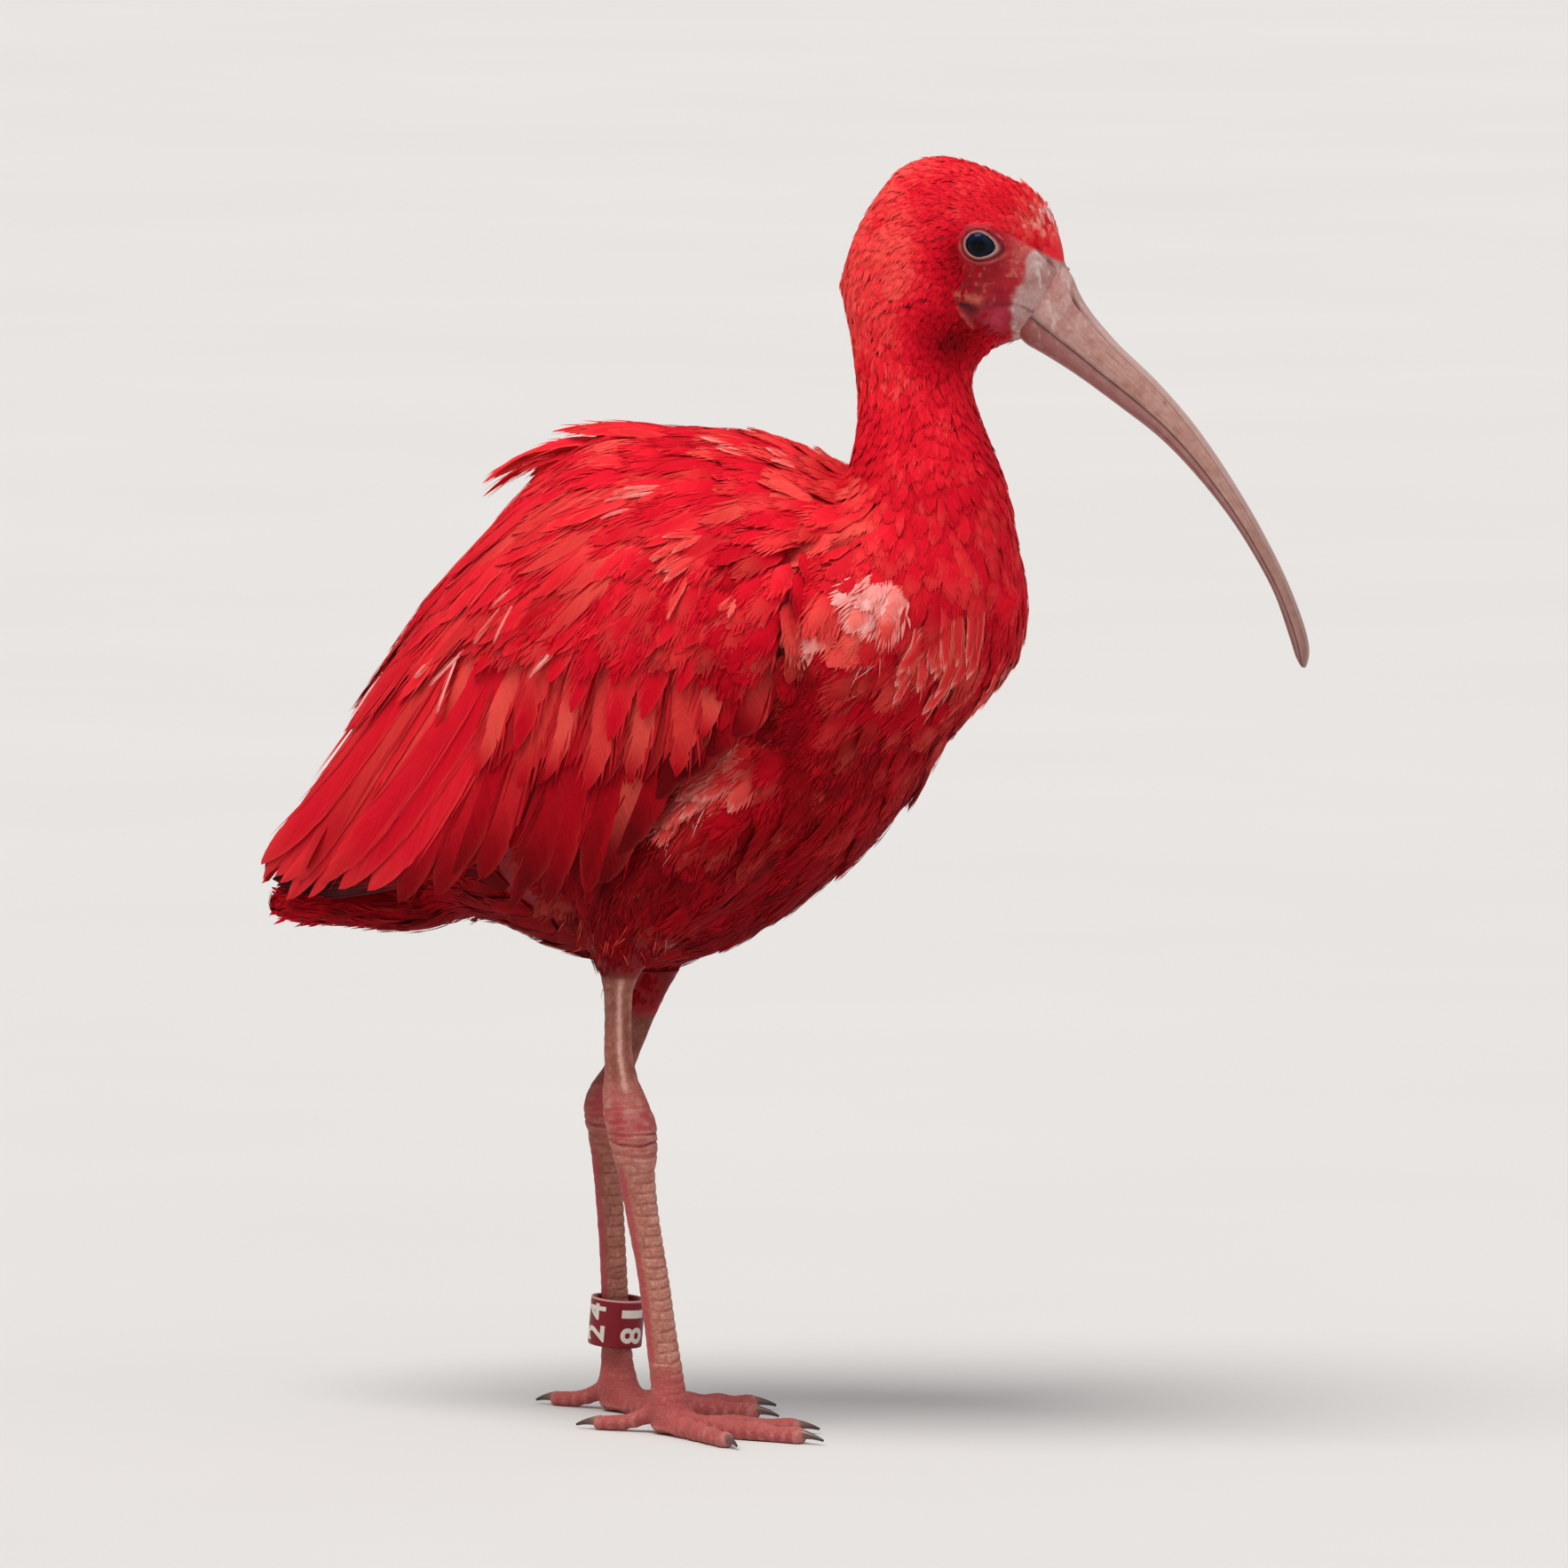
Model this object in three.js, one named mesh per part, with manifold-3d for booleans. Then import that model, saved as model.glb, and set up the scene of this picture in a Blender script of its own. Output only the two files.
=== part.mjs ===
// Scarlet ibis (Eudocimus ruber), adult, standing, life size.
// Millimetres, +Z up, +X forward (the way the body faces), +Y to the bird's left.
// The body stands hunched on two parted legs, the neck is drawn up and the head
// is turned a little to the bird's left. Every solid reaches to the feather tips.

import * as THREE from 'three';
import { mergeVertices } from 'three/addons/utils/BufferGeometryUtils.js';
import Module from 'manifold-3d';

const wasm = await Module();
wasm.setup();

// ---------------------------------------------------------------- sizes (mm)

const ORIGIN_X = 42.1;          // from the leg frame to the middle of the whole length
const GAP = 0.3;                // between pieces that touch

// body, by distance along X: top, bottom, height of greatest width, half width
const TRUNK = [
  // x,   top,  bottom, widest, half width
  [-92, 190, 162, 176, 19],
  [-78, 203, 159, 182, 24],
  [-64, 226, 158, 192, 30.5],
  [-49, 256, 156.5, 203, 38.5],
  [-32, 288, 151, 214, 46],
  [-17, 307, 147, 223, 50],
  [0, 312.5, 144, 231, 52.5],
  [22, 313.5, 148, 237, 54],
  [42, 312, 157.5, 243, 54.5],
  [59, 307, 169.5, 248, 54.5],
  [74, 300, 182, 253, 54],
  [85, 297, 195.5, 257, 52.5],
  [95, 296, 212, 260, 50.5],
  [105, 294, 220, 262, 48.5],
  [114, 292, 223, 264, 46.5],
  [127.6, 291, 227, 265, 45],
];
const TRUNK_REAR_CAP = 20;      // length of the rounded ends
const TRUNK_FRONT_CAP = 36;

// outer face of the folded wings, the same measures
const WINGS = [
  [-132, 174, 146, 165, 10],
  [-121, 191, 142, 173, 18.5],
  [-110, 204, 138, 179, 24.5],
  [-97, 220.5, 134, 186, 31.5],
  [-84, 237, 131, 193, 38],
  [-65, 261.5, 128, 204, 46],
  [-46, 281, 125, 214, 53],
  [-26, 300.5, 122, 224, 58.5],
  [0, 311.5, 120, 234, 62],
  [30, 311, 122, 243, 63.5],
  [58, 303, 140, 250, 62.5],
  [88, 291, 165, 256, 60],
];
const WING_TIP_CAP = 12;
const WING_FRONT_CAP = 14;
const COVERT_STEP = 1.7;        // the covert layers lie this much over the flight feathers

// side outline of the folded wing, from the wrist round under to the tip
const WING_LOWER = [[80, 262], [76, 241], [66, 221], [52, 206], [35, 193], [19, 175], [0, 171.5],
  [-28, 172.5], [-55, 171.5], [-76, 168.5], [-92, 165.5], [-112, 162], [-128, 161]];
const WING_UPPER = [[-134, 169], [-133, 200], [-60, 330], [60, 330], [78, 284]];
const COVERT_LOWER = [[81, 262], [77, 246], [68, 229], [52, 219], [30, 212], [8, 208], [-18, 214], [-40, 230], [-58, 250]];
const COVERT_UPPER = [[-60, 262], [-66, 330], [60, 330], [79, 284]];
const FEATHER_TIP = 2.6;        // depth of the scallops that the feather tips make
const FEATHER_TIPS = 15;        // along the lower edge of a wing
// top outline: how far the upper edge of each wing stays from the midline
const WING_INNER = [[100, 44], [62, 31], [30, 25], [4, 21], [-18, 12], [-34, 3], [-44, 0.15], [-140, 0.15]];

// neck, by height: centre along X and Y, reach to the front, back and side
const NECK = [
  [244, 90, 0, 33, 33, 40],
  [262, 97, 0, 29.5, 31, 36],
  [276, 100, 0, 28, 28, 32],
  [288, 100.9, 0.2, 25.6, 26.4, 28],
  [298, 100.4, 0.6, 24, 25, 25.4],
  [308, 98.8, 1.2, 22, 23, 22.8],
  [319, 96.6, 2, 19, 19.8, 19.8],
  [330, 94.6, 2.6, 17.6, 18.4, 18.2],
  [341, 93.9, 3, 19.2, 19.6, 18.4],
  [353, 93.6, 3, 20, 20.4, 18],
  [372, 96, 3, 17, 17, 14],
];

// head, in its own frame: forward distance, top, bottom, widest height, half width
const HEAD_AT = [97.6, 3];      // where the head's frame stands in X and Y
const HEAD_TURN = 14;           // degrees to the bird's left
const HEAD = [
  [-26, 386, 338, 361, 15.2],
  [-16, 393, 333, 363, 16.8],
  [-6, 399.4, 331, 365, 17.8],
  [5, 402, 331, 367, 18],
  [15, 400, 337, 369, 17],
  [24, 396.6, 342.5, 370, 15.2],
  [32, 393.2, 345, 368, 13],
  [39, 391, 346.4, 366, 11],
  [44.6, 390, 347, 366, 10],
];
const HEAD_BACK_CAP = 23;
const HEAD_FRONT_CAP = 14;

// bill, in the head's frame: ridge, lower edge, half width and the mouth line's share
const RIDGE = [[44.2, 372], [50, 358], [60, 345.4], [73.6, 332.6], [86, 318.6], [98.2, 301.2],
  [108.8, 283.4], [117.2, 266], [122, 251.5], [122.2, 243.5]];
const LOWER_EDGE = [[26.3, 346.8], [44.5, 336.6], [61, 325.2], [75.6, 314.2], [87.8, 301.8],
  [97.8, 289.4], [105.8, 277], [111.6, 266], [116, 253.6], [119, 244]];
const BILL_WIDE = [[0, 9.2], [0.12, 7.4], [0.3, 5.7], [0.6, 4.4], [0.85, 3.5], [1, 2.6]];
const MOUTH = [[0, 0.68], [0.12, 0.64], [0.35, 0.62], [0.7, 0.6], [1, 0.54]];
const BILL_LENGTH_RINGS = 13;
const BILL_TIP_ROUND = 3.4;

// eyes
const EYE_RADIUS = 7.0;
const EYE_AT = [21.2, 11.7, 376.6];   // forward, out, up, in the head's frame

// tail
const TAIL = [
  // x, top, bottom, widest, half width
  [-127.5, 166, 155.6, 159, 14.5],
  [-112, 169, 153.4, 160, 19],
  [-95, 173, 153, 161, 22],
  [-78, 177, 153.4, 163, 24],
  [-58, 182, 156, 166, 22.5],
];

// legs: right is nearer and set forward, left is set back
const LEGS = {
  right: {
    side: -1, heading: -8,
    // height, x, y, half length (X), half width (Y)
    path: [
      [216, 57, -34, 12, 13],
      [206, 52, -37, 19, 16.5],
      [190, 41, -37.5, 24, 17.5],
      [173, 27, -33, 23.5, 16.6],
      [159, 14.5, -29, 17, 12.8],
      [150, 8.6, -27.2, 10.6, 9],
      [144, 5.8, -26.4, 6, 5.6],
      [137, 5, -26.2, 4.3, 4],
      [130, 5, -26.2, 4.1, 3.8],
      [122, 5, -26.2, 4.2, 3.8],
      [112, 5.8, -26, 5, 4.4],
      [104, 7.4, -26, 7.2, 6.2],
      [96, 9.6, -26, 8.1, 6.9],
      [88, 10.6, -25.9, 7.4, 6.4],
      [80, 11.4, -25.8, 5.6, 5.2],
      [66, 13.6, -25.6, 4.9, 4.4],
      [48, 17, -25.4, 4.7, 4.1],
      [30, 19.6, -25.2, 4.8, 4.2],
      [16, 21.6, -25, 5.3, 4.8],
      [8, 22.4, -25, 6.2, 5.8],
      [2.5, 22.6, -25, 5.6, 5.2],
    ],
    featherEnd: 142,
  },
  left: {
    side: 1, heading: -3,
    path: [
      [214, 46, 34, 12, 13],
      [204, 41, 37, 19, 16.5],
      [188, 30, 37.5, 24, 17.5],
      [171, 16.5, 33, 22.5, 16.6],
      [157, 3, 28.6, 14.6, 12],
      [147, -4, 26.4, 9.2, 8.4],
      [138, -8, 25.4, 6.6, 6.2],
      [128, -11.6, 24.8, 5, 4.8],
      [118, -15.4, 24.6, 4.2, 4],
      [109, -19.8, 24.5, 4.8, 4.4],
      [102, -23.4, 24.5, 6.4, 5.8],
      [95, -24.8, 24.5, 6.8, 6],
      [87, -24.4, 24.5, 5.9, 5.3],
      [79, -24, 24.4, 4.7, 4.3],
      [64, -23, 24.4, 4.1, 3.8],
      [46, -21.8, 24.3, 4, 3.7],
      [30, -21, 24.2, 4.1, 3.8],
      [16, -20.4, 24, 5, 4.7],
      [8, -20, 24, 6.2, 5.8],
      [2.5, -20, 24, 5.6, 5.2],
    ],
    featherEnd: 125,
  },
};
const ANKLE_CUT = 86;           // height where shank and tarsus are parted
const FOOT_CUT = 14;            // height where tarsus and foot are parted

// toes: angle from the foot's heading (towards the outside), length, base and tip radius
const TOES = {
  inner: { angle: -33, length: 36, base: 3.9, tip: 2.6, joints: 2, claw: 8 },
  middle: { angle: 0, length: 46, base: 4.3, tip: 2.7, joints: 3, claw: 9 },
  outer: { angle: 31, length: 39, base: 4.0, tip: 2.6, joints: 4, claw: 8 },
  hind: { angle: 172, length: 21, base: 3.3, tip: 2.3, joints: 1, claw: 8 },
};
const SOLE = 0.3;               // share of a toe's radius that the flat sole takes away

// leg ring
const BAND = { inner: 6.9, outer: 8.9, height: 15.2, at: [-20.0, 22.9, 28.4], tilt: 5 };

// loose locks that stand out from the back
const PLUMES = [
  { from: [-4, -6, 306], over: [-27, -9, 313], to: [-51.5, -10, 292.5], wide: 5, thick: 2.2 },
  { from: [-6, 5, 306], over: [-25, 7, 312], to: [-45, 8, 294], wide: 4.5, thick: 2.0 },
];

// ------------------------------------------------------------------- helpers

const rad = THREE.MathUtils.degToRad;
const V = (x, y, z) => new THREE.Vector3(x, y, z);

// Values between the rows of a table, with no overshoot: rows are [t, a, b, ...].
function table(rows) {
  const n = rows.length, m = rows[0].length;
  const slope = [];
  for (let i = 0; i < n; i++) {
    const s = [0];
    for (let c = 1; c < m; c++) {
      const d = (k) => (rows[k + 1][c] - rows[k][c]) / (rows[k + 1][0] - rows[k][0]);
      if (i === 0) s.push(d(0));
      else if (i === n - 1) s.push(d(n - 2));
      else {
        const a = d(i - 1), b = d(i);
        s.push(a * b <= 0 ? 0 : (2 * a * b) / (a + b));
      }
    }
    slope.push(s);
  }
  return (t) => {
    let i = 0;
    while (i < n - 2 && t > rows[i + 1][0]) i++;
    const h = rows[i + 1][0] - rows[i][0];
    const k = THREE.MathUtils.clamp((t - rows[i][0]) / h, 0, 1);
    const out = [];
    for (let c = 1; c < m; c++) {
      const a = rows[i][c], b = rows[i + 1][c];
      out.push(a * (1 + 2 * k) * (1 - k) ** 2 + slope[i][c] * h * k * (1 - k) ** 2
        + b * k * k * (3 - 2 * k) - slope[i + 1][c] * h * k * k * (1 - k));
    }
    return out;
  };
}

// A closed surface through rings of points, with one point at each end.
function loft(rings, first, last) {
  const n = rings[0].length, p = [], idx = [];
  p.push(...first.toArray());
  for (const r of rings) for (const q of r) p.push(q.x, q.y, q.z);
  p.push(...last.toArray());
  const at = (i, j) => 1 + i * n + (j % n), end = 1 + rings.length * n;
  for (let j = 0; j < n; j++) {
    idx.push(0, at(0, j + 1), at(0, j));
    for (let i = 0; i < rings.length - 1; i++) {
      idx.push(at(i, j), at(i, j + 1), at(i + 1, j));
      idx.push(at(i, j + 1), at(i + 1, j + 1), at(i + 1, j));
    }
    idx.push(end, at(rings.length - 1, j), at(rings.length - 1, j + 1));
  }
  return outward(p, idx);
}

function outward(p, idx) {
  let v = 0;
  const a = V(), b = V(), c = V();
  for (let i = 0; i < idx.length; i += 3) {
    a.fromArray(p, 3 * idx[i]); b.fromArray(p, 3 * idx[i + 1]); c.fromArray(p, 3 * idx[i + 2]);
    v += a.dot(b.cross(c));
  }
  if (v < 0) for (let i = 0; i < idx.length; i += 3) [idx[i], idx[i + 1]] = [idx[i + 1], idx[i]];
  const g = new THREE.BufferGeometry();
  g.setAttribute('position', new THREE.Float32BufferAttribute(p, 3));
  g.setIndex(idx);
  return g;
}

// three.js geometry to a solid that can be joined and cut, and back
function solid(g) {
  const k = g.clone();
  k.deleteAttribute('normal'); k.deleteAttribute('uv');
  const m = mergeVertices(k, 1e-4);
  return new wasm.Manifold(new wasm.Mesh({
    numProp: 3,
    vertProperties: Float32Array.from(m.attributes.position.array),
    triVerts: Uint32Array.from(m.index.array),
  }));
}

function geometryOf(s) {
  const m = s.getMesh();
  const g = new THREE.BufferGeometry();
  g.setAttribute('position', new THREE.BufferAttribute(Float32Array.from(m.vertProperties), 3));
  g.setIndex(new THREE.BufferAttribute(Uint32Array.from(m.triVerts), 1));
  return g;
}

// signed power, which squares or sharpens a round section
const pow = (v, e) => Math.sign(v) * Math.abs(v) ** e;

// Body form from a table [x, top, bottom, widest, half width] with rounded ends.
function bodyForm(rows, { rear, front, rings, sides, grow = 0, upper = 1, lower = 1, flank = 1 }) {
  const at = table(rows);
  const x0 = rows[0][0] - grow, x1 = rows[rows.length - 1][0] + grow;
  const out = [];
  for (let i = 1; i < rings; i++) {
    const k = i / rings;
    // closer rings at the ends
    const x = x0 + (x1 - x0) * (k - 0.13 * Math.sin(2 * Math.PI * k));
    const [top, bottom, mid, half] = at(x);
    let cap = 1;
    if (x < x0 + rear) cap = Math.sqrt(Math.max(1 - ((x0 + rear - x) / rear) ** 2, 0));
    if (x > x1 - front) cap = Math.sqrt(Math.max(1 - ((x - x1 + front) / front) ** 2, 0));
    const ring = [];
    for (let j = 0; j < sides; j++) {
      const a = (2 * Math.PI * (j + 0.5)) / sides;
      const c = Math.cos(a), s = Math.sin(a);
      const e = s > 0 ? upper : lower;
      const h = s > 0 ? top + grow - mid : mid - bottom + grow;
      ring.push(V(x, cap * (half + grow) * pow(c, flank), mid + cap * h * pow(s, e)));
    }
    out.push(ring);
  }
  return loft(out, V(x0, 0, at(x0)[2]), V(x1, 0, at(x1)[2]));
}

// Upright form from a table [z, x, y, front, back, side].
function uprightForm(rows, { rings, sides, grow = 0 }) {
  const at = table(rows);
  const z0 = rows[0][0], z1 = rows[rows.length - 1][0];
  const out = [];
  for (let i = 0; i <= rings; i++) {
    const z = z0 + ((z1 - z0) * i) / rings;
    const [x, y, front, back, side] = at(z);
    const ring = [];
    for (let j = 0; j < sides; j++) {
      const a = (2 * Math.PI * (j + 0.5)) / sides;
      const c = Math.cos(a), s = Math.sin(a);
      ring.push(V(x + c * ((c > 0 ? front : back) + grow), y + s * (side + grow), z));
    }
    out.push(ring);
  }
  const [xa, ya] = at(z0), [xb, yb] = at(z1);
  return loft(out, V(xa, ya, z0 - 2), V(xb, yb, z1 + 2));
}

// A flat outline in X and Z, drawn out along Y between two distances.
function sidePlate(points, y0, y1) {
  const shape = new THREE.Shape(points.map(([x, z]) => new THREE.Vector2(x, z)));
  const g = new THREE.ExtrudeGeometry(shape, { depth: y1 - y0, bevelEnabled: false });
  // the shape's plane XY becomes XZ, and its depth runs along -Y
  g.rotateX(Math.PI / 2);
  g.translate(0, y1, 0);
  return solid(g);
}

// A flat outline in X and Y, drawn out along Z.
function topPlate(points, z0, z1) {
  const shape = new THREE.Shape(points.map(([x, y]) => new THREE.Vector2(x, y)));
  const g = new THREE.ExtrudeGeometry(shape, { depth: z1 - z0, bevelEnabled: false });
  g.translate(0, 0, z0);
  return solid(g);
}

// Everything on the far side of a plane: a big block behind the point, turned to the normal.
function beyond(point, normal, size = 400) {
  const g = new THREE.BoxGeometry(size, size, size);
  g.translate(0, 0, size / 2);
  g.applyQuaternion(new THREE.Quaternion().setFromUnitVectors(V(0, 0, 1), normal.clone().normalize()));
  g.translate(point.x, point.y, point.z);
  return solid(g);
}

// Outline points with scallops for the feather tips.
function scalloped(points, count, depth, steps = 3) {
  const curve = new THREE.CatmullRomCurve3(points.map(([x, z]) => V(x, 0, z)), false, 'centripetal');
  const out = [];
  const n = count * steps;
  for (let i = 0; i <= n; i++) {
    const p = curve.getPointAt(i / n), t = curve.getTangentAt(i / n);
    const d = depth * Math.abs(Math.sin((Math.PI * i) / steps)) ** 0.7 * Math.sin((Math.PI * i) / n) ** 0.3;
    // outwards is to the right of the way the line runs (wrist to tip)
    out.push([p.x + t.z * d, p.z - t.x * d]);
  }
  return out;
}

// The same rounding everywhere: a tube of elliptic rings along a line of stations.
function tube(stations, sides, { first, last } = {}) {
  const rings = [];
  stations.forEach((s, i) => {
    const a = stations[Math.max(i - 1, 0)].at, b = stations[Math.min(i + 1, stations.length - 1)].at;
    const t = b.clone().sub(a).normalize();
    const up = (s.up ?? V(0, 0, 1)).clone();
    const side = V().crossVectors(up, t).normalize();
    const top = V().crossVectors(t, side).normalize();
    const ring = [];
    for (let j = 0; j < sides; j++) {
      const k = (2 * Math.PI * (j + 0.5)) / sides;
      ring.push(s.at.clone().addScaledVector(side, s.wide * Math.cos(k)).addScaledVector(top, s.thick * Math.sin(k)));
    }
    rings.push(ring);
  });
  return loft(rings, first ?? stations[0].at, last ?? stations[stations.length - 1].at);
}

// ---------------------------------------------------------------- head frame

const headTurn = rad(HEAD_TURN);
const toBird = (g) => g.rotateZ(headTurn).translate(HEAD_AT[0], HEAD_AT[1], 0);

// ---------------------------------------------------------------------- bill

const ridge = new THREE.CatmullRomCurve3(RIDGE.map(([x, z]) => V(x, 0, z)), false, 'centripetal');
const lowerEdge = new THREE.CatmullRomCurve3(LOWER_EDGE.map(([x, z]) => V(x, 0, z)), false, 'centripetal');
const billWide = table(BILL_WIDE), mouth = table(MOUTH);
const ROOT_TOP = V(...[RIDGE[0][0], 0, RIDGE[0][1]]), ROOT_LOW = V(...[LOWER_EDGE[0][0], 0, LOWER_EDGE[0][1]]);
const rootNormal = V(ROOT_TOP.z - ROOT_LOW.z, 0, -(ROOT_TOP.x - ROOT_LOW.x)).normalize();

// part: +1 the upper half, -1 the lower half
function billHalf(part, sides = 8) {
  const rings = [];
  for (let i = 0; i <= BILL_LENGTH_RINGS; i++) {
    const k = i / BILL_LENGTH_RINGS;
    const top = ridge.getPointAt(k), low = lowerEdge.getPointAt(k);
    const lip = top.clone().lerp(low, mouth(k)[0]);
    const shrink = i === BILL_LENGTH_RINGS ? 0.8 : 1;
    const wide = billWide(k)[0] * shrink;
    const reach = (part > 0 ? top : low).clone().sub(lip);
    const h = reach.length() * shrink;
    reach.normalize();
    const ring = [];
    for (let j = 0; j < sides; j++) {
      const a = (Math.PI * j) / (sides - 1);
      const y = wide * Math.cos(a), r = GAP / 2 + (h - GAP / 2) * pow(Math.sin(a), 0.8);
      ring.push(lip.clone().addScaledVector(reach, j === 0 || j === sides - 1 ? GAP / 2 : r).add(V(0, y, 0)));
    }
    rings.push(ring);
  }
  const centre = (r) => r.reduce((a, b) => a.add(b), V()).divideScalar(r.length);
  const a = centre(rings[0]), b = centre(rings[rings.length - 1]);
  const t = ridge.getTangentAt(1).lerp(lowerEdge.getTangentAt(1), 0.5).normalize();
  b.addScaledVector(t, BILL_TIP_ROUND * 0.6);
  return toBird(loft(rings, a, b));
}
const billUpper = billHalf(1);
const billLower = billHalf(-1);

// ------------------------------------------------------- head, neck and trunk

const headWhole = solid(toBird(bodyForm(HEAD, {
  rear: HEAD_BACK_CAP, front: HEAD_FRONT_CAP, rings: 13, sides: 18, upper: 0.92, flank: 0.95,
})));
const neckWhole = solid(uprightForm(NECK, { rings: 12, sides: 18 }));
const trunkForm = (grow) => solid(bodyForm(TRUNK, {
  rear: TRUNK_REAR_CAP, front: TRUNK_FRONT_CAP, rings: 19, sides: 22, grow, upper: 1.12, lower: 0.96,
}));

function plume({ from, over, to, wide, thick }, grow = 0) {
  const path = new THREE.QuadraticBezierCurve3(V(...from), V(...over), V(...to));
  const stations = [];
  for (let i = 0; i <= 7; i++) {
    const k = i / 7, taper = Math.sin(Math.PI * (0.2 + 0.8 * k)) ** 0.7;
    stations.push({ at: path.getPoint(k), wide: wide * Math.max(taper, 0.18) + grow, thick: thick * Math.max(taper, 0.3) + grow });
  }
  const tip = path.getPoint(1).addScaledVector(path.getTangent(1), 1.2 + grow);
  return solid(tube(stations, 8, { last: tip }));
}

const plumes = (grow) => PLUMES.map((p) => plume(p, grow)).reduce((a, b) => a.add(b));

// the bill's root plane, with the gap in front of the head
const behindBill = beyond(
  V(ROOT_LOW.x, 0, ROOT_LOW.z).addScaledVector(rootNormal, -GAP).applyAxisAngle(V(0, 0, 1), headTurn).add(V(HEAD_AT[0], HEAD_AT[1], 0)),
  rootNormal.clone().negate().applyAxisAngle(V(0, 0, 1), headTurn),
);

const whole = trunkForm(0).add(plumes(0)).add(neckWhole).add(headWhole.intersect(behindBill));

// thin cuts: head from neck, neck in two lengths, neck from trunk
const CUTS = [
  { at: V(94, 3, 342.5), normal: V(-0.10, 0, 1) },
  { at: V(97.5, 1.5, 318), normal: V(0.02, 0, 1) },
  { at: V(102, 0, 293), normal: V(0.24, 0, 1) },
];
const above = (c) => beyond(c.at.clone().addScaledVector(c.normal.clone().normalize(), GAP / 2), c.normal);
const below = (c) => beyond(c.at.clone().addScaledVector(c.normal.clone().normalize(), -GAP / 2), c.normal.clone().negate());

const eyes = {};
for (const [name, side] of [['right', -1], ['left', 1]]) {
  const make = (r) => {
    const g = new THREE.SphereGeometry(r, 10, 8);
    g.rotateX(-side * Math.PI / 2);
    g.translate(EYE_AT[0], side * EYE_AT[1], EYE_AT[2]);
    return solid(toBird(g));
  };
  eyes[name] = { ball: make(EYE_RADIUS), socket: make(EYE_RADIUS + GAP) };
}

const head = whole.intersect(above(CUTS[0])).subtract(eyes.right.socket).subtract(eyes.left.socket);
const neckUpper = whole.intersect(below(CUTS[0])).intersect(above(CUTS[1]));
const neckLower = whole.intersect(below(CUTS[1])).intersect(above(CUTS[2]));
// the trunk keeps the back behind the neck, which the last cut passes over
const backBlock = topPlate([[-140, -90], [74, -90], [74, 90], [-140, 90]], 100, 330);
const neckBlock = topPlate([[74 + GAP, -90], [200, -90], [200, 90], [74 + GAP, 90]], 100, 420);
const trunk = whole.intersect(below(CUTS[2])).add(whole.intersect(backBlock));
const neckLow = neckLower.intersect(neckBlock);

// --------------------------------------------------------------------- wings

const wingForm = (grow) => solid(bodyForm(WINGS, {
  rear: WING_TIP_CAP, front: WING_FRONT_CAP, rings: 16, sides: 24, grow, upper: 0.95, lower: 0.92, flank: 0.94,
}));
const trunkGrown = trunkForm(GAP).add(plumes(GAP));

function wing(side) {
  const inner = WING_INNER.map(([x, y]) => [x, side * y]);
  const outer = [[-140, side * 100], [100, side * 100]];
  const plan = topPlate([...inner, ...outer], 120, 340);
  const outline = sidePlate([...scalloped(WING_LOWER, FEATHER_TIPS, FEATHER_TIP), ...WING_UPPER], -120, 120);
  const coverts = sidePlate([...scalloped(COVERT_LOWER, 10, FEATHER_TIP + 1), ...COVERT_UPPER], -120, 120);
  const flight = wingForm(0).intersect(outline);
  const layer = wingForm(COVERT_STEP).intersect(coverts);
  return flight.add(layer).intersect(plan).subtract(trunkGrown);
}

const wings = { right: wing(-1), left: wing(1) };

// ---------------------------------------------------------------------- tail

const wingsGrown = wingForm(GAP).intersect(sidePlate(
  [...scalloped(WING_LOWER, FEATHER_TIPS, FEATHER_TIP).map(([x, z]) => [x, z - 1.5 * GAP]), [-138, 161 - GAP],
    ...WING_UPPER.slice(1)], -120, 120));
const tail = solid(bodyForm(TAIL, { rear: 7, front: 8, rings: 7, sides: 12, upper: 0.8, lower: 0.8, flank: 0.8 }))
  .subtract(wingsGrown).subtract(trunkGrown);

// ---------------------------------------------------------------------- legs

function legForm(leg, grow = 0) {
  const rows = [...leg.path].reverse();
  const at = table(rows);
  const z0 = rows[0][0], z1 = rows[rows.length - 1][0];
  const rings = [], n = 24, sides = 9;
  for (let i = 0; i <= n; i++) {
    const z = z0 + (z1 - z0) * (i / n) ** 1.25;
    const [x, y, long, wide] = at(z);
    const ring = [];
    for (let j = 0; j < sides; j++) {
      const a = (2 * Math.PI * (j + 0.5)) / sides;
      ring.push(V(x + (long + grow) * Math.cos(a), y + (wide + grow) * Math.sin(a), z));
    }
    rings.push(ring);
  }
  const [xa, ya] = at(z0), [xb, yb] = at(z1);
  return solid(loft(rings, V(xa, ya, z0 - 1.5), V(xb, yb, z1 + 4)));
}

const slab = (z0, z1) => topPlate([[-200, -200], [300, -200], [300, 200], [-200, 200]], z0, z1);

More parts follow.
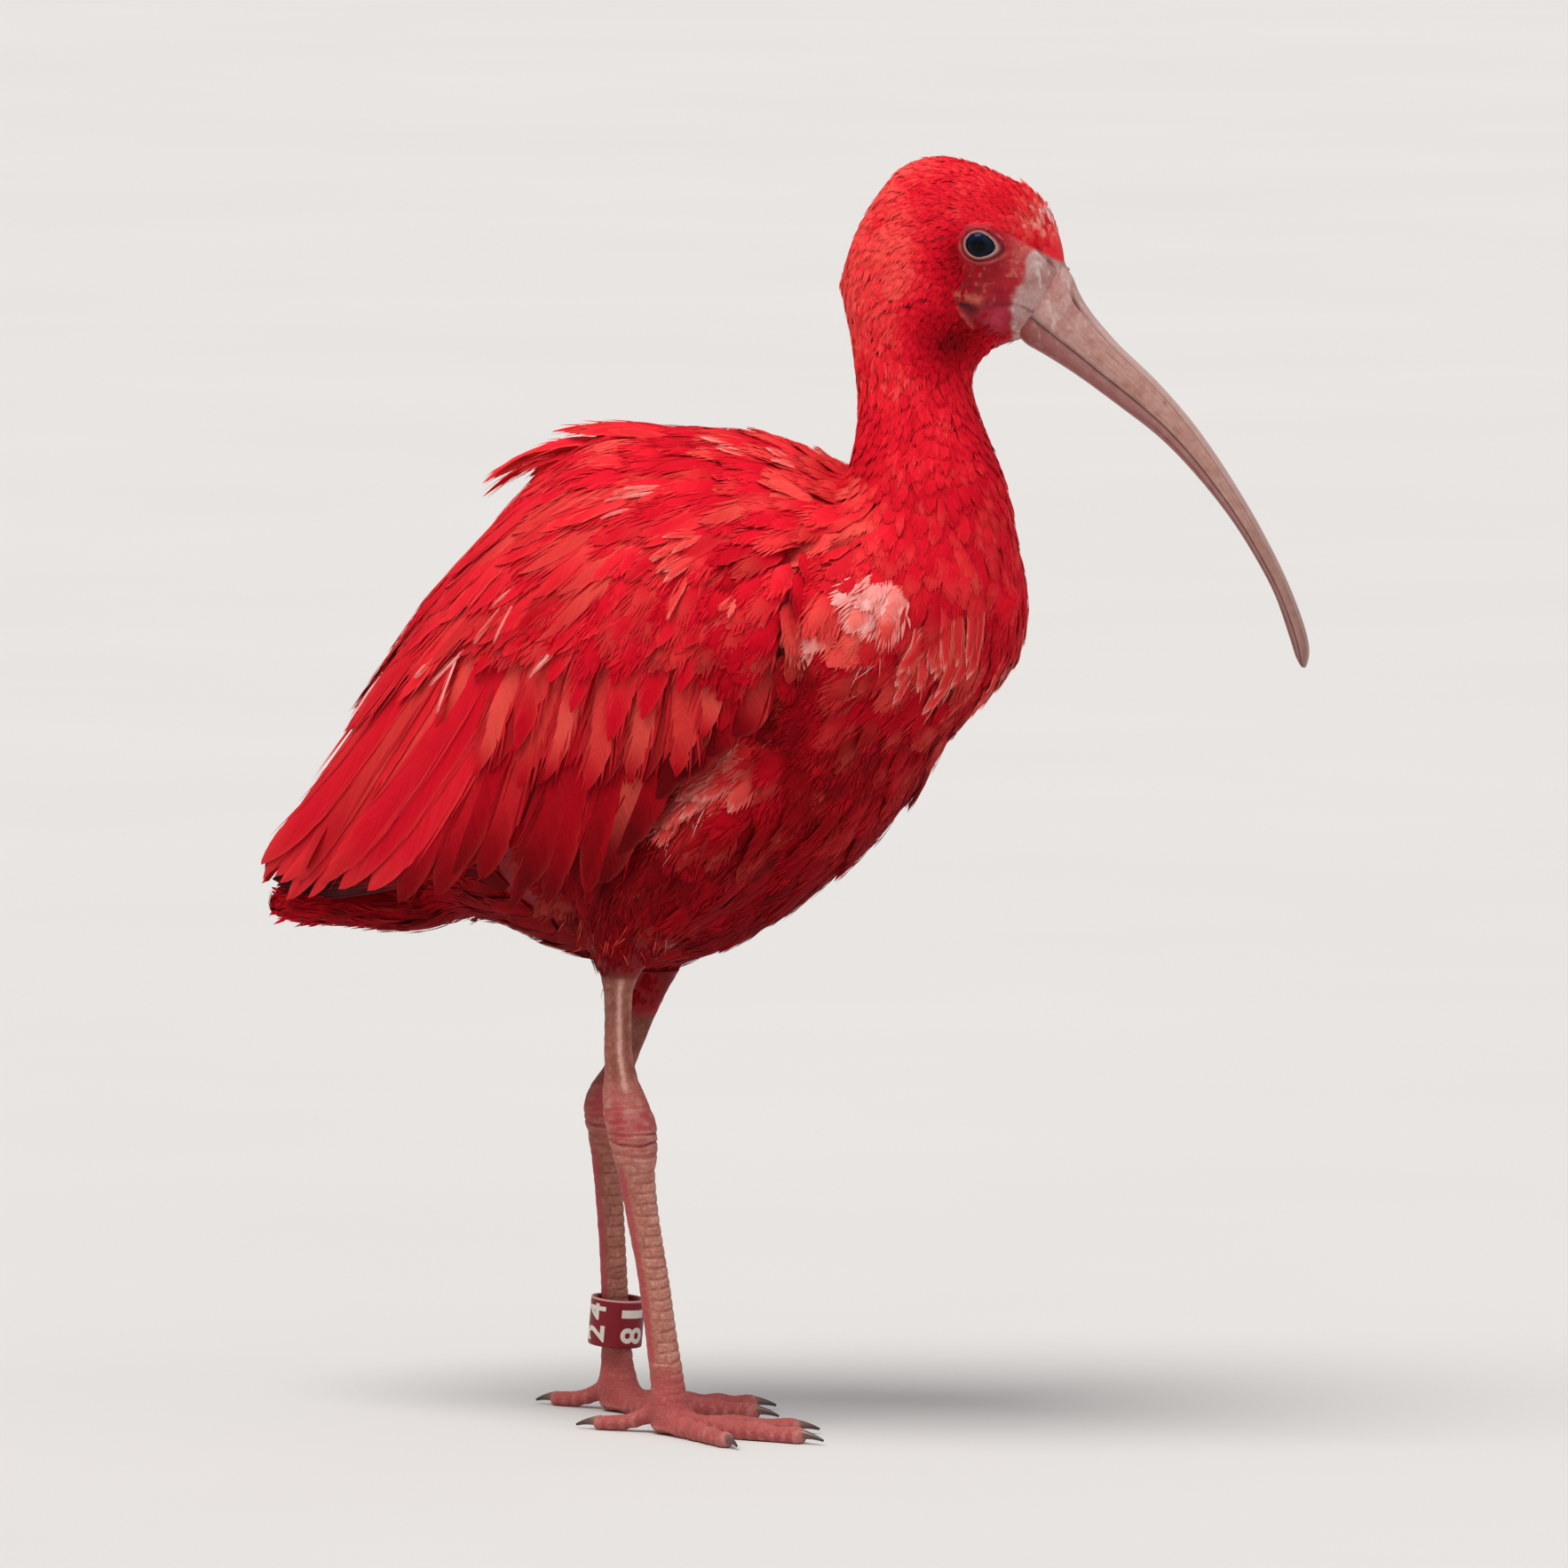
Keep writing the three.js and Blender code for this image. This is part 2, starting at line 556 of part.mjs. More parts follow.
function toe(leg, spec, grow = 0) {
  const foot = leg.path[leg.path.length - 2];
  // angles run from the foot's heading towards the bird's outside
  const dir = rad(leg.heading + (spec.angle) * leg.side);
  const out = V(Math.cos(dir), Math.sin(dir), 0);
  const hind = Math.abs(spec.angle) > 90;
  const start = V(foot[1], foot[2], 0).addScaledVector(out, hind ? 3.2 : 2.6);
  const stations = [], n = 5;
  for (let i = 0; i <= n; i++) {
    const k = i / n;
    const r = THREE.MathUtils.lerp(spec.base, spec.tip, k ** 0.8) * (1 + 0.07 * Math.cos(2 * Math.PI * k * spec.joints));
    const lift = hind ? 5.2 * (1 - k) ** 2 : 2.4 * Math.max(0, 1 - 4 * k) ** 2;
    const p = start.clone().addScaledVector(out, spec.length * k);
    p.z = r * (1 - SOLE) + lift;
    stations.push({ at: p, wide: r + grow, thick: r + grow });
  }
  const last = stations[n].at.clone().addScaledVector(out, spec.tip * 0.8 + grow);
  return { body: solid(tube(stations, 8, { last })), end: stations[n].at, out, radius: spec.tip };
}

function claw(t, spec) {
  const stations = [], n = 2;
  for (let i = 0; i <= n; i++) {
    const k = i / n;
    const p = t.end.clone().addScaledVector(t.out, t.radius * 0.2 + spec.claw * k);
    p.z = t.end.z + 0.75 - 1.55 * k * k;
    const r = THREE.MathUtils.lerp(1.55, 0.42, k);
    stations.push({ at: p, wide: r * 0.86, thick: r });
  }
  const last = stations[n].at.clone().addScaledVector(t.out, 0.5);
  return solid(tube(stations, 6, { last }));
}

const pieces = [];
const add = (name, shape, colour, roughness = 0.7, metalness = 0) => pieces.push({ name, shape, colour, roughness, metalness });

const RED = 0xd8202a, DEEP_RED = 0xb3101f, BRIGHT_RED = 0xe6332f, BARE_SKIN = 0xd4706a, HORN = 0x9d8478, EYE = 0x10131a, BAND_RED = 0x6e0d1c, CLAW = 0x4a3630;

add('head', head, BRIGHT_RED, 0.8);
add('eye_right', eyes.right.ball, EYE, 0.1);
add('eye_left', eyes.left.ball, EYE, 0.1);
add('bill_upper', solid(billUpper), HORN, 0.45);
add('bill_lower', solid(billLower), HORN, 0.45);
add('neck_upper', neckUpper, BRIGHT_RED, 0.8);
add('neck_lower', neckLow, RED, 0.8);
add('trunk', trunk, RED, 0.8);
add('wing_right', wings.right, RED, 0.7);
add('wing_left', wings.left, RED, 0.7);
add('tail', tail, DEEP_RED, 0.7);

for (const [name, leg] of Object.entries(LEGS)) {
  const form = legForm(leg), grown = legForm(leg, GAP);
  const thigh = form.intersect(slab(leg.featherEnd + GAP / 2, 300)).subtract(trunkGrown).subtract(wingsGrown);
  const shank = form.intersect(slab(ANKLE_CUT + GAP / 2, leg.featherEnd - GAP / 2)).subtract(trunkGrown);
  const tarsus = form.intersect(slab(FOOT_CUT + GAP / 2, ANKLE_CUT - GAP / 2));
  const footBase = form.intersect(slab(0, FOOT_CUT - GAP / 2));
  add(`thigh_${name}`, thigh, DEEP_RED, 0.8);
  add(`shank_${name}`, shank, BARE_SKIN, 0.6);
  add(`tarsus_${name}`, tarsus, BARE_SKIN, 0.6);
  add(`foot_${name}`, footBase, BARE_SKIN, 0.6);
  const floor = slab(0, 60);
  const made = {};
  for (const [toeName, spec] of Object.entries(TOES)) made[toeName] = toe(leg, spec);
  for (const [toeName, spec] of Object.entries(TOES)) {
    const t = made[toeName];
    let body = t.body.intersect(floor).subtract(grown);
    // neighbouring toes are parted where they crowd at the foot
    if (toeName === 'inner' || toeName === 'outer') body = body.subtract(toe(leg, TOES.middle, GAP).body);
    const nail = claw(t, spec).intersect(floor).subtract(toe(leg, spec, GAP).body);
    add(`toe_${toeName}_${name}`, body, BARE_SKIN, 0.6);
    add(`claw_${toeName}_${name}`, nail, CLAW, 0.4);
  }
}

// leg ring: a short turned sleeve with eased edges
{
  const { inner, outer, height, at, tilt } = BAND, e = 0.5, h = height / 2;
  const profile = [[inner, -h], [outer - e, -h], [outer, -h + e], [outer, h - e], [outer - e, h],
    [inner, h], [inner, -h]].map(([r, z]) => new THREE.Vector2(r, z));
  const g = new THREE.LatheGeometry(profile, 20);
  g.rotateX(Math.PI / 2);
  g.rotateY(rad(tilt));
  g.translate(...at);
  add('leg_band', solid(g), BAND_RED, 0.35);
}

// ------------------------------------------------------------------ assembly

const ibis = new THREE.Group();
ibis.position.x = -ORIGIN_X;
for (const p of pieces) {
  const mesh = new THREE.Mesh(geometryOf(p.shape), new THREE.MeshStandardMaterial({
    color: p.colour, roughness: p.roughness, metalness: p.metalness,
  }));
  mesh.name = p.name;
  ibis.add(mesh);
}

export default ibis;
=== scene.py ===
# Scarlet ibis (Eudocimus ruber), adult, standing, life size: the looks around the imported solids.
# Working units are millimetres in the leg frame; metres in the model's frame only where a mesh is made.
import json
import math

import bpy
import numpy as np
from mathutils import Matrix, Vector


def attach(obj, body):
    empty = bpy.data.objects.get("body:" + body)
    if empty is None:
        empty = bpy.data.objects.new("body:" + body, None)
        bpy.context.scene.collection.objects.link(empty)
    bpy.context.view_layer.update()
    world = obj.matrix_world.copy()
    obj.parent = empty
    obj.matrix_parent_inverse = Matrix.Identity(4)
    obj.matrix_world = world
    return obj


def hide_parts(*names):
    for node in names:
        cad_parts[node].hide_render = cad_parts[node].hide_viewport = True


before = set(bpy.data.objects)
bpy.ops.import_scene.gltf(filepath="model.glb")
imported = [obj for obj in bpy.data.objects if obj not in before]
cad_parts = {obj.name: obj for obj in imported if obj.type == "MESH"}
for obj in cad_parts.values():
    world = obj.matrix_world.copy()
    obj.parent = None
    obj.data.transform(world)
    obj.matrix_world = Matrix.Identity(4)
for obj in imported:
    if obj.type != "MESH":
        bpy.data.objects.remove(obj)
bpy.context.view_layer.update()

# ------------------------------------------------------------------ sizes (mm)

ORIGIN_X = 42.1                 # from the leg frame to the middle of the whole length

# body, by distance along X: top, bottom, height of greatest width, half width
TRUNK = [
    [-92, 190, 162, 176, 19], [-78, 203, 159, 182, 24], [-64, 226, 158, 192, 30.5], [-49, 256, 156.5, 203, 38.5],
    [-32, 288, 151, 214, 46], [-17, 307, 147, 223, 50], [0, 312.5, 144, 231, 52.5], [22, 313.5, 148, 237, 54],
    [42, 312, 157.5, 243, 54.5], [59, 307, 169.5, 248, 54.5], [74, 300, 182, 253, 54], [85, 297, 195.5, 257, 52.5],
    [95, 296, 212, 260, 50.5], [105, 294, 220, 262, 48.5], [114, 292, 223, 264, 46.5], [127.6, 291, 227, 265, 45],
]
WINGS = [
    [-132, 174, 146, 165, 10], [-121, 191, 142, 173, 18.5], [-110, 204, 138, 179, 24.5], [-97, 220.5, 134, 186, 31.5],
    [-84, 237, 131, 193, 38], [-65, 261.5, 128, 204, 46], [-46, 281, 125, 214, 53], [-26, 300.5, 122, 224, 58.5],
    [0, 311.5, 120, 234, 62], [30, 311, 122, 243, 63.5], [58, 303, 140, 250, 62.5], [88, 291, 165, 256, 60],
]
NECK = [  # height: centre X and Y, reach to front, back and side
    [244, 90, 0, 33, 33, 40], [262, 97, 0, 29.5, 31, 36], [276, 100, 0, 28, 28, 32], [288, 100.9, 0.2, 25.6, 26.4, 28],
    [298, 100.4, 0.6, 24, 25, 25.4], [308, 98.8, 1.2, 22, 23, 22.8], [319, 96.6, 2, 19, 19.8, 19.8],
    [330, 94.6, 2.6, 17.6, 18.4, 18.2], [341, 93.9, 3, 19.2, 19.6, 18.4], [353, 93.6, 3, 20, 20.4, 18],
    [372, 96, 3, 17, 17, 14],
]
HEAD_AT, HEAD_TURN = (97.6, 3.0), math.radians(14)
HEAD = [
    [-26, 386, 338, 361, 15.2], [-16, 393, 333, 363, 16.8], [-6, 399.4, 331, 365, 17.8], [5, 402, 331, 367, 18],
    [15, 400, 337, 369, 17], [24, 396.6, 342.5, 370, 15.2], [32, 393.2, 345, 368, 13], [39, 391, 346.4, 366, 11],
    [44.6, 390, 347, 366, 10],
]
RIDGE = [[44.2, 372], [50, 358], [60, 345.4], [73.6, 332.6], [86, 318.6], [98.2, 301.2], [108.8, 283.4], [117.2, 266],
         [122, 251.5], [122.2, 243.5]]
LOWER_EDGE = [[26.3, 346.8], [44.5, 336.6], [61, 325.2], [75.6, 314.2], [87.8, 301.8], [97.8, 289.4], [105.8, 277],
              [111.6, 266], [116, 253.6], [119, 244]]
BILL_WIDE = [[0, 9.2], [0.12, 7.4], [0.3, 5.7], [0.6, 4.4], [0.85, 3.5], [1, 2.6]]
MOUTH = [[0, 0.68], [0.12, 0.64], [0.35, 0.62], [0.7, 0.6], [1, 0.54]]
EYE = np.array([20.7, 11.7, 375.3])     # forward, out, up, in the head's frame
EYE_BALL = 6.75
LEGS = {
    "right": dict(side=-1, heading=-8, feather_end=142, path=[
        [216, 57, -34, 12, 13], [206, 52, -37, 19, 16.5], [190, 41, -37.5, 24, 17.5], [173, 27, -33, 23.5, 16.6],
        [159, 14.5, -29, 17, 12.8], [150, 8.6, -27.2, 10.6, 9], [144, 5.8, -26.4, 6, 5.6], [137, 5, -26.2, 4.3, 4],
        [130, 5, -26.2, 4.1, 3.8], [122, 5, -26.2, 4.2, 3.8], [112, 5.8, -26, 5, 4.4], [104, 7.4, -26, 7.2, 6.2],
        [96, 9.6, -26, 8.1, 6.9], [88, 10.6, -25.9, 7.4, 6.4], [80, 11.4, -25.8, 5.6, 5.2], [66, 13.6, -25.6, 4.9, 4.4],
        [48, 17, -25.4, 4.7, 4.1], [30, 19.6, -25.2, 4.8, 4.2], [16, 21.6, -25, 5.3, 4.8], [8, 22.4, -25, 6.2, 5.8],
        [2.5, 22.6, -25, 5.6, 5.2]]),
    "left": dict(side=1, heading=-3, feather_end=125, path=[
        [214, 46, 34, 12, 13], [204, 41, 37, 19, 16.5], [188, 30, 37.5, 24, 17.5], [171, 16.5, 33, 22.5, 16.6],
        [157, 3, 28.6, 14.6, 12], [147, -4, 26.4, 9.2, 8.4], [138, -8, 25.4, 6.6, 6.2], [128, -11.6, 24.8, 5, 4.8],
        [118, -15.4, 24.6, 4.2, 4], [109, -19.8, 24.5, 4.8, 4.4], [102, -23.4, 24.5, 6.4, 5.8], [95, -24.8, 24.5, 6.8, 6],
        [87, -24.4, 24.5, 5.9, 5.3], [79, -24, 24.4, 4.7, 4.3], [64, -23, 24.4, 4.1, 3.8], [46, -21.8, 24.3, 4, 3.7],
        [30, -21, 24.2, 4.1, 3.8], [16, -20.4, 24, 5, 4.7], [8, -20, 24, 6.2, 5.8], [2.5, -20, 24, 5.6, 5.2]]),
}
TOES = {
    "inner": dict(angle=-33, length=36, base=3.9, tip=2.6, joints=2, claw=8),
    "middle": dict(angle=0, length=46, base=4.3, tip=2.7, joints=3, claw=9),
    "outer": dict(angle=31, length=39, base=4.0, tip=2.6, joints=4, claw=8),
    "hind": dict(angle=172, length=21, base=3.3, tip=2.3, joints=1, claw=8),
}
SOLE = 0.3
BAND = dict(inner=6.9, outer=8.9, height=15.2, at=(-20.0, 22.9, 28.4), tilt=math.radians(5))
PLUMES = [
    dict(start=(-4, -6, 306), over=(-27, -9, 313), end=(-51.5, -10, 292.5), wide=5),
    dict(start=(-6, 5, 306), over=(-25, 7, 312), end=(-45, 8, 294), wide=4.5),
    dict(start=(20, -9, 310), over=(0, -10, 316.5), end=(-23, -10, 312), wide=4),
]

# --------------------------------------------------------------- small helpers


def table(rows):
    """Values between the rows of a table, with no overshoot."""
    r = np.array(rows, float)
    t, v = r[:, 0], r[:, 1:]
    if t[0] > t[-1]:
        t, v = t[::-1], v[::-1]
    d = np.diff(v, axis=0) / np.diff(t)[:, None]
    s = np.zeros_like(v)
    s[0], s[-1] = d[0], d[-1]
    a, b = d[:-1], d[1:]
    s[1:-1] = np.where(a * b <= 0, 0, 2 * a * b / np.where(np.abs(a + b) < 1e-12, 1, a + b))

    def at(x):
        x = np.clip(np.asarray(x, float), t[0], t[-1])
        i = np.clip(np.searchsorted(t, x, side="right") - 1, 0, len(t) - 2)
        h = (t[i + 1] - t[i])[..., None]
        k = ((x - t[i]) / (t[i + 1] - t[i]))[..., None]
        return (v[i] * (1 + 2 * k) * (1 - k) ** 2 + s[i] * h * k * (1 - k) ** 2
                + v[i + 1] * k * k * (3 - 2 * k) - s[i + 1] * h * k * k * (1 - k))
    return at


def unit(v):
    return v / np.maximum(np.linalg.norm(v, axis=-1, keepdims=True), 1e-9)


def lerp(a, b, t):
    return a + (b - a) * t


def step(lo, hi, x):
    t = np.clip((x - lo) / (hi - lo), 0, 1)
    return t * t * (3 - 2 * t)


def smin(a, b, k):
    h = np.clip(0.5 + 0.5 * (b - a) / k, 0, 1)
    return b * (1 - h) + a * h - k * h * (1 - h)


_lattice = np.random.default_rng(3).random((32, 32, 32)).astype(np.float32)


def noise(p, size, shift=0.0):
    """Smooth value noise from 0 to 1, with cells of the given size."""
    q = np.asarray(p, float) / size + shift
    i = np.floor(q).astype(int)
    f = q - i
    f = f * f * (3 - 2 * f)
    out = 0.0
    for dx in (0, 1):
        for dy in (0, 1):
            for dz in (0, 1):
                w = ((f[..., 0] if dx else 1 - f[..., 0]) * (f[..., 1] if dy else 1 - f[..., 1])
                     * (f[..., 2] if dz else 1 - f[..., 2]))
                out = out + w * _lattice[(i[..., 0] + dx) % 32, (i[..., 1] + dy) % 32, (i[..., 2] + dz) % 32]
    return out


_hc, _hs = math.cos(HEAD_TURN), math.sin(HEAD_TURN)


def to_head(p):
    x, y = p[..., 0] - HEAD_AT[0], p[..., 1] - HEAD_AT[1]
    return np.stack([x * _hc + y * _hs, -x * _hs + y * _hc, p[..., 2]], -1)


def from_head(q):
    q = np.asarray(q, float)
    return np.stack([q[..., 0] * _hc - q[..., 1] * _hs + HEAD_AT[0], q[..., 0] * _hs + q[..., 1] * _hc + HEAD_AT[1],
                     q[..., 2]], -1)


def metres(p):
    return (np.asarray(p, float) - (ORIGIN_X, 0, 0)) * 0.001


# ---------------------------------------------------------------------- forms


def body_field(rows, rear, front, upper, lower, flank, grow=0.0):
    at = table(rows)
    x0, x1 = rows[0][0] - grow, rows[-1][0] + grow

    def f(p):
        x, y, z = p[..., 0], p[..., 1], p[..., 2]
        top, bottom, mid, half = np.moveaxis(at(x), -1, 0)
        xc = np.clip(x, x0, x1)
        a, b = np.clip((x0 + rear - xc) / rear, 0, 1), np.clip((xc - x1 + front) / front, 0, 1)
        cap = np.maximum(np.sqrt(np.maximum(1 - a * a, 0)) * np.sqrt(np.maximum(1 - b * b, 0)), 0.12)
        dz = z - mid
        h = np.where(dz > 0, top - mid, mid - bottom) + grow
        e = np.where(dz > 0, upper, lower)
        rho = np.sqrt((np.abs(y) / (cap * (half + grow))) ** (2 / flank) + (np.abs(dz) / (cap * h)) ** (2 / e)) + 1e-6
        r = np.sqrt(y * y + dz * dz) + 1e-6
        d = np.where(rho < 0.25, -0.75 * cap * np.minimum(half, h), r * (1 - 1 / rho))
        return d + np.maximum(x - x1, 0) + np.maximum(x0 - x, 0)
    return f


_neck = table(NECK)


def neck_field(p):
    x, y, z = p[..., 0], p[..., 1], p[..., 2]
    cx, cy, fr, ba, si = np.moveaxis(_neck(z), -1, 0)
    dx, dy = x - cx, y - cy
    rho = np.sqrt((dx / np.where(dx > 0, fr, ba)) ** 2 + (dy / si) ** 2) + 1e-6
    r = np.sqrt(dx * dx + dy * dy) + 1e-6
    d = np.where(rho < 0.25, -0.75 * si, r * (1 - 1 / rho))
    return d + np.maximum(z - 372, 0) + np.maximum(244 - z, 0)


_head = body_field(HEAD, 23, 14, 0.92, 1, 0.95)
trunk_field = body_field(TRUNK, 20, 36, 1.12, 0.96, 1)
wing_field = body_field(WINGS, 12, 14, 0.95, 0.92, 0.94, 0.9)
LEG_AT = {n: table(l["path"]) for n, l in LEGS.items()}


def leg_field(p, name, low=120.0):
    at = LEG_AT[name]
    x, y, z = p[..., 0], p[..., 1], p[..., 2]
    cx, cy, lo, wi = np.moveaxis(at(z), -1, 0)
    rho = np.sqrt(((x - cx) / lo) ** 2 + ((y - cy) / wi) ** 2) + 1e-6
    r = np.sqrt((x - cx) ** 2 + (y - cy) ** 2) + 1e-6
    d = np.where(rho < 0.2, -0.7 * wi, r * (1 - 1 / rho))
    return d + np.maximum(z - 214, 0) + np.maximum(low - z, 0)


def flesh(p):
    """Neck, trunk, head and thighs out to the feather tips, run together softly."""
    d = smin(trunk_field(p), neck_field(p), 9.0)
    d = smin(d, _head(to_head(p)), 6.0)
    for n in LEGS:
        d = smin(d, leg_field(p, n), 7.0)
    return d


class Field:
    """A signed distance on a grid, with its slope, read between grid points."""

    def __init__(self, fn, lo, hi, pitch, tidy=True):
        self.lo, self.pitch = np.array(lo, float), pitch
        axes = [np.arange(a, b + pitch, pitch) for a, b in zip(lo, hi)]
        f = np.empty([len(a) for a in axes], np.float32)
        for i in range(0, len(axes[0]), 24):
            f[i:i + 24] = fn(np.stack(np.meshgrid(axes[0][i:i + 24], axes[1], axes[2], indexing="ij"), -1))
        if tidy:
            g = np.gradient(f, pitch)
            f = f / np.clip(np.sqrt(g[0] ** 2 + g[1] ** 2 + g[2] ** 2), 0.5, 3.0)
        self.f = f
        self.a = np.stack([f, *np.gradient(f, pitch)], -1).astype(np.float32)

    def sample(self, p):
        q = (p - self.lo) / self.pitch
        i = np.clip(np.floor(q).astype(int), 0, np.array(self.f.shape) - 2)
        w = np.clip(q - i, 0, 1)
        out = 0.0
        for dx in (0, 1):
            for dy in (0, 1):
                for dz in (0, 1):
                    k = ((w[..., 0] if dx else 1 - w[..., 0]) * (w[..., 1] if dy else 1 - w[..., 1])
                         * (w[..., 2] if dz else 1 - w[..., 2]))
                    out = out + k[..., None] * self.a[i[..., 0] + dx, i[..., 1] + dy, i[..., 2] + dz]
        return out[..., 0], unit(out[..., 1:])

    def settle(self, p, level=0.0, times=2):
        for _ in range(times):
            v, n = self.sample(p)
            p = p - n * (v - level)[..., None]
        return p


def surface_nets(f, lo, pitch):
    """A closed mesh of quads where the grid changes sign; the border counts as outside."""
    f = f.copy()
    for ax in range(3):
        for end in (0, -1):
            s = [slice(None)] * 3
            s[ax] = end
            f[tuple(s)] = np.maximum(f[tuple(s)], 0.5 * pitch)
    inside = f < 0
    n = np.array(f.shape) - 1
    pos = np.zeros((*n, 3), np.float32)
    hits = np.zeros(n, np.float32)
    sl = lambda o: tuple(slice(o[k], o[k] + n[k]) for k in range(3))
    for ax in range(3):
        o1, o2 = [k for k in range(3) if k != ax]
        for u in (0, 1):
            for v in (0, 1):
                a = [0, 0, 0]
                a[o1], a[o2] = u, v
                b = list(a)
                b[ax] = 1
                fa, fb = f[sl(a)], f[sl(b)]
                cross = (fa < 0) != (fb < 0)
                t = np.where(cross, fa / np.where(fa == fb, 1, fa - fb), 0)
                pos[..., ax] += np.where(cross, t, 0)
                pos[..., o1] += np.where(cross, u, 0)
                pos[..., o2] += np.where(cross, v, 0)
                hits += cross
    active = hits > 0
    index = np.full(n, -1, np.int64)
    index[active] = np.arange(active.sum())
    cell = np.argwhere(active)
    verts = np.asarray(lo) + pitch * (cell + pos[active] / hits[active][:, None])
    quads = []
    for ax in range(3):
        o1, o2 = (ax + 1) % 3, (ax + 2) % 3
        a = [slice(None)] * 3
        b = [slice(None)] * 3
        a[ax], b[ax] = slice(0, -1), slice(1, None)
        cross = inside[tuple(a)] != inside[tuple(b)]
        e = np.argwhere(cross)
        e = e[(e[:, o1] > 0) & (e[:, o2] > 0) & (e[:, o1] < n[o1]) & (e[:, o2] < n[o2])]
        first = inside[tuple(a)][tuple(e.T)]
        c = []
        for u, v in ((1, 1), (0, 1), (0, 0), (1, 0)):
            k = e.copy()
            k[:, o1] -= u
            k[:, o2] -= v
            c.append(index[tuple(k.T)])
        q = np.stack(c, 1)
        quads.append(np.where(first[:, None], q, q[:, ::-1]))
    return verts, np.concatenate(quads)


# ---------------------------------------------------------------- mesh making


def build(name, verts, quads=None, tris=None, uv=None, point=None, smooth=True):
    """A mesh object from arrays in the leg frame, mm."""
    quads = np.zeros((0, 4), int) if quads is None else np.asarray(quads)
    tris = np.zeros((0, 3), int) if tris is None else np.asarray(tris)
    me = bpy.data.meshes.new(name)
    me.vertices.add(len(verts))
    me.vertices.foreach_set("co", metres(verts).astype(np.float32).ravel())
    loops = np.concatenate([quads.ravel(), tris.ravel()]).astype(np.int32)
    me.loops.add(len(loops))
    me.loops.foreach_set("vertex_index", loops)
    me.polygons.add(len(quads) + len(tris))
    starts = np.concatenate([np.arange(len(quads)) * 4, len(quads) * 4 + np.arange(len(tris)) * 3]).astype(np.int32)
    me.polygons.foreach_set("loop_start", starts)
    me.update(calc_edges=True)
    me.polygons.foreach_set("use_smooth", np.full(len(starts), smooth))
    if uv is not None:
        layer = me.uv_layers.new(name="OFBake")
        layer.data.foreach_set("uv", uv[loops].astype(np.float32).ravel())
    for key, values in (point or {}).items():
        at = me.attributes.new(key, "FLOAT_VECTOR", "POINT")
        at.data.foreach_set("vector", np.asarray(values, np.float32).ravel())
    me.validate()
    ob = bpy.data.objects.new(name, me)
    bpy.context.scene.collection.objects.link(ob)
    return ob


def read(ob):
    """Vertices (leg frame, mm) of an object with its modifiers applied, and the mesh."""
    deps = bpy.context.evaluated_depsgraph_get()
    me = bpy.data.meshes.new_from_object(ob.evaluated_get(deps))
    co = np.empty(len(me.vertices) * 3, np.float32)
    me.vertices.foreach_get("co", co)
    return co.reshape(-1, 3).astype(float) * 1000 + (ORIGIN_X, 0, 0), me


def fuse(name, parts):
    """One closed mesh from several that overlap."""
    base = parts[0]
    for other in parts[1:]:
        m = base.modifiers.new("join", "BOOLEAN")
        m.operation, m.solver, m.object = "UNION", "MANIFOLD", other
    deps = bpy.context.evaluated_depsgraph_get()
    me = bpy.data.meshes.new_from_object(base.evaluated_get(deps))
    for o in parts:
        bpy.data.objects.remove(o)
    me.name = name
    ob = bpy.data.objects.new(name, me)
    bpy.context.scene.collection.objects.link(ob)
    return ob


def set_points(me, key, values):
    at = me.attributes.get(key) or me.attributes.new(key, "FLOAT_VECTOR", "POINT")
    at.data.foreach_set("vector", np.asarray(values, np.float32).ravel())


def tube(points, radii, sides=12, flat=1.0, up=(0, 0, 1)):
    """A closed round tube along points; flat shortens it along up. Returns verts, quads, tris."""
    p = np.asarray(points, float)
    r = np.asarray(radii, float)
    t = unit(np.gradient(p, axis=0))
    side = unit(np.cross(np.broadcast_to(np.array(up, float), t.shape), t))
    top = np.cross(t, side)
    a = 2 * np.pi * (np.arange(sides) + 0.5) / sides
    ring = (p[:, None] + side[:, None] * (r[:, None] * np.cos(a))[..., None]
            + top[:, None] * (flat * r[:, None] * np.sin(a))[..., None])
    n = len(p)
    verts = np.concatenate([ring.reshape(-1, 3), p[:1], p[-1:]])
    i, j = np.meshgrid(np.arange(n - 1), np.arange(sides), indexing="ij")
    k = (j + 1) % sides
    quads = np.stack([i * sides + j, i * sides + k, (i + 1) * sides + k, (i + 1) * sides + j], -1).reshape(-1, 4)
    j = np.arange(sides)
    k = (j + 1) % sides
    tris = np.concatenate([np.stack([np.full(sides, n * sides), k, j], 1),
                           np.stack([np.full(sides, n * sides + 1), (n - 1) * sides + j, (n - 1) * sides + k], 1)])
    return verts, quads, tris


# ------------------------------------------------------------------ markings

# pale places: x, distance out, z, reach, strength
PALE = [
    (106, 45, 263, 6, 1.0), (99, 48, 268, 4.5, 0.9), (101, 48, 255, 4, 0.7), (81, 54, 254, 4.5, 0.95), (88, 52, 262, 3.5, 0.5),
    (119, 24, 250, 4.5, 0.25), (117, 33, 243, 5.5, 0.3), (122, 14, 238, 4.5, 0.3), (112, 40, 240, 4.5, 0.4), (123, 2, 232, 4, 0.3),
    (18.5, 45, 292.5, 3.0, 0.7), (90, 31, 289, 5, 0.75), (84, 20, 298, 5, 0.6), (60, 12, 309, 5, 0.6), (48, 16, 309, 4, 0.5), (34, 12, 312, 4, 0.4),
    (64, 56, 218, 4.5, 0.7), (54, 58, 210, 5.5, 1.0), (44, 57, 203, 5, 0.9), (35, 56, 196, 4.5, 0.6),
    (4, 22, 150, 7, 0.2),
]
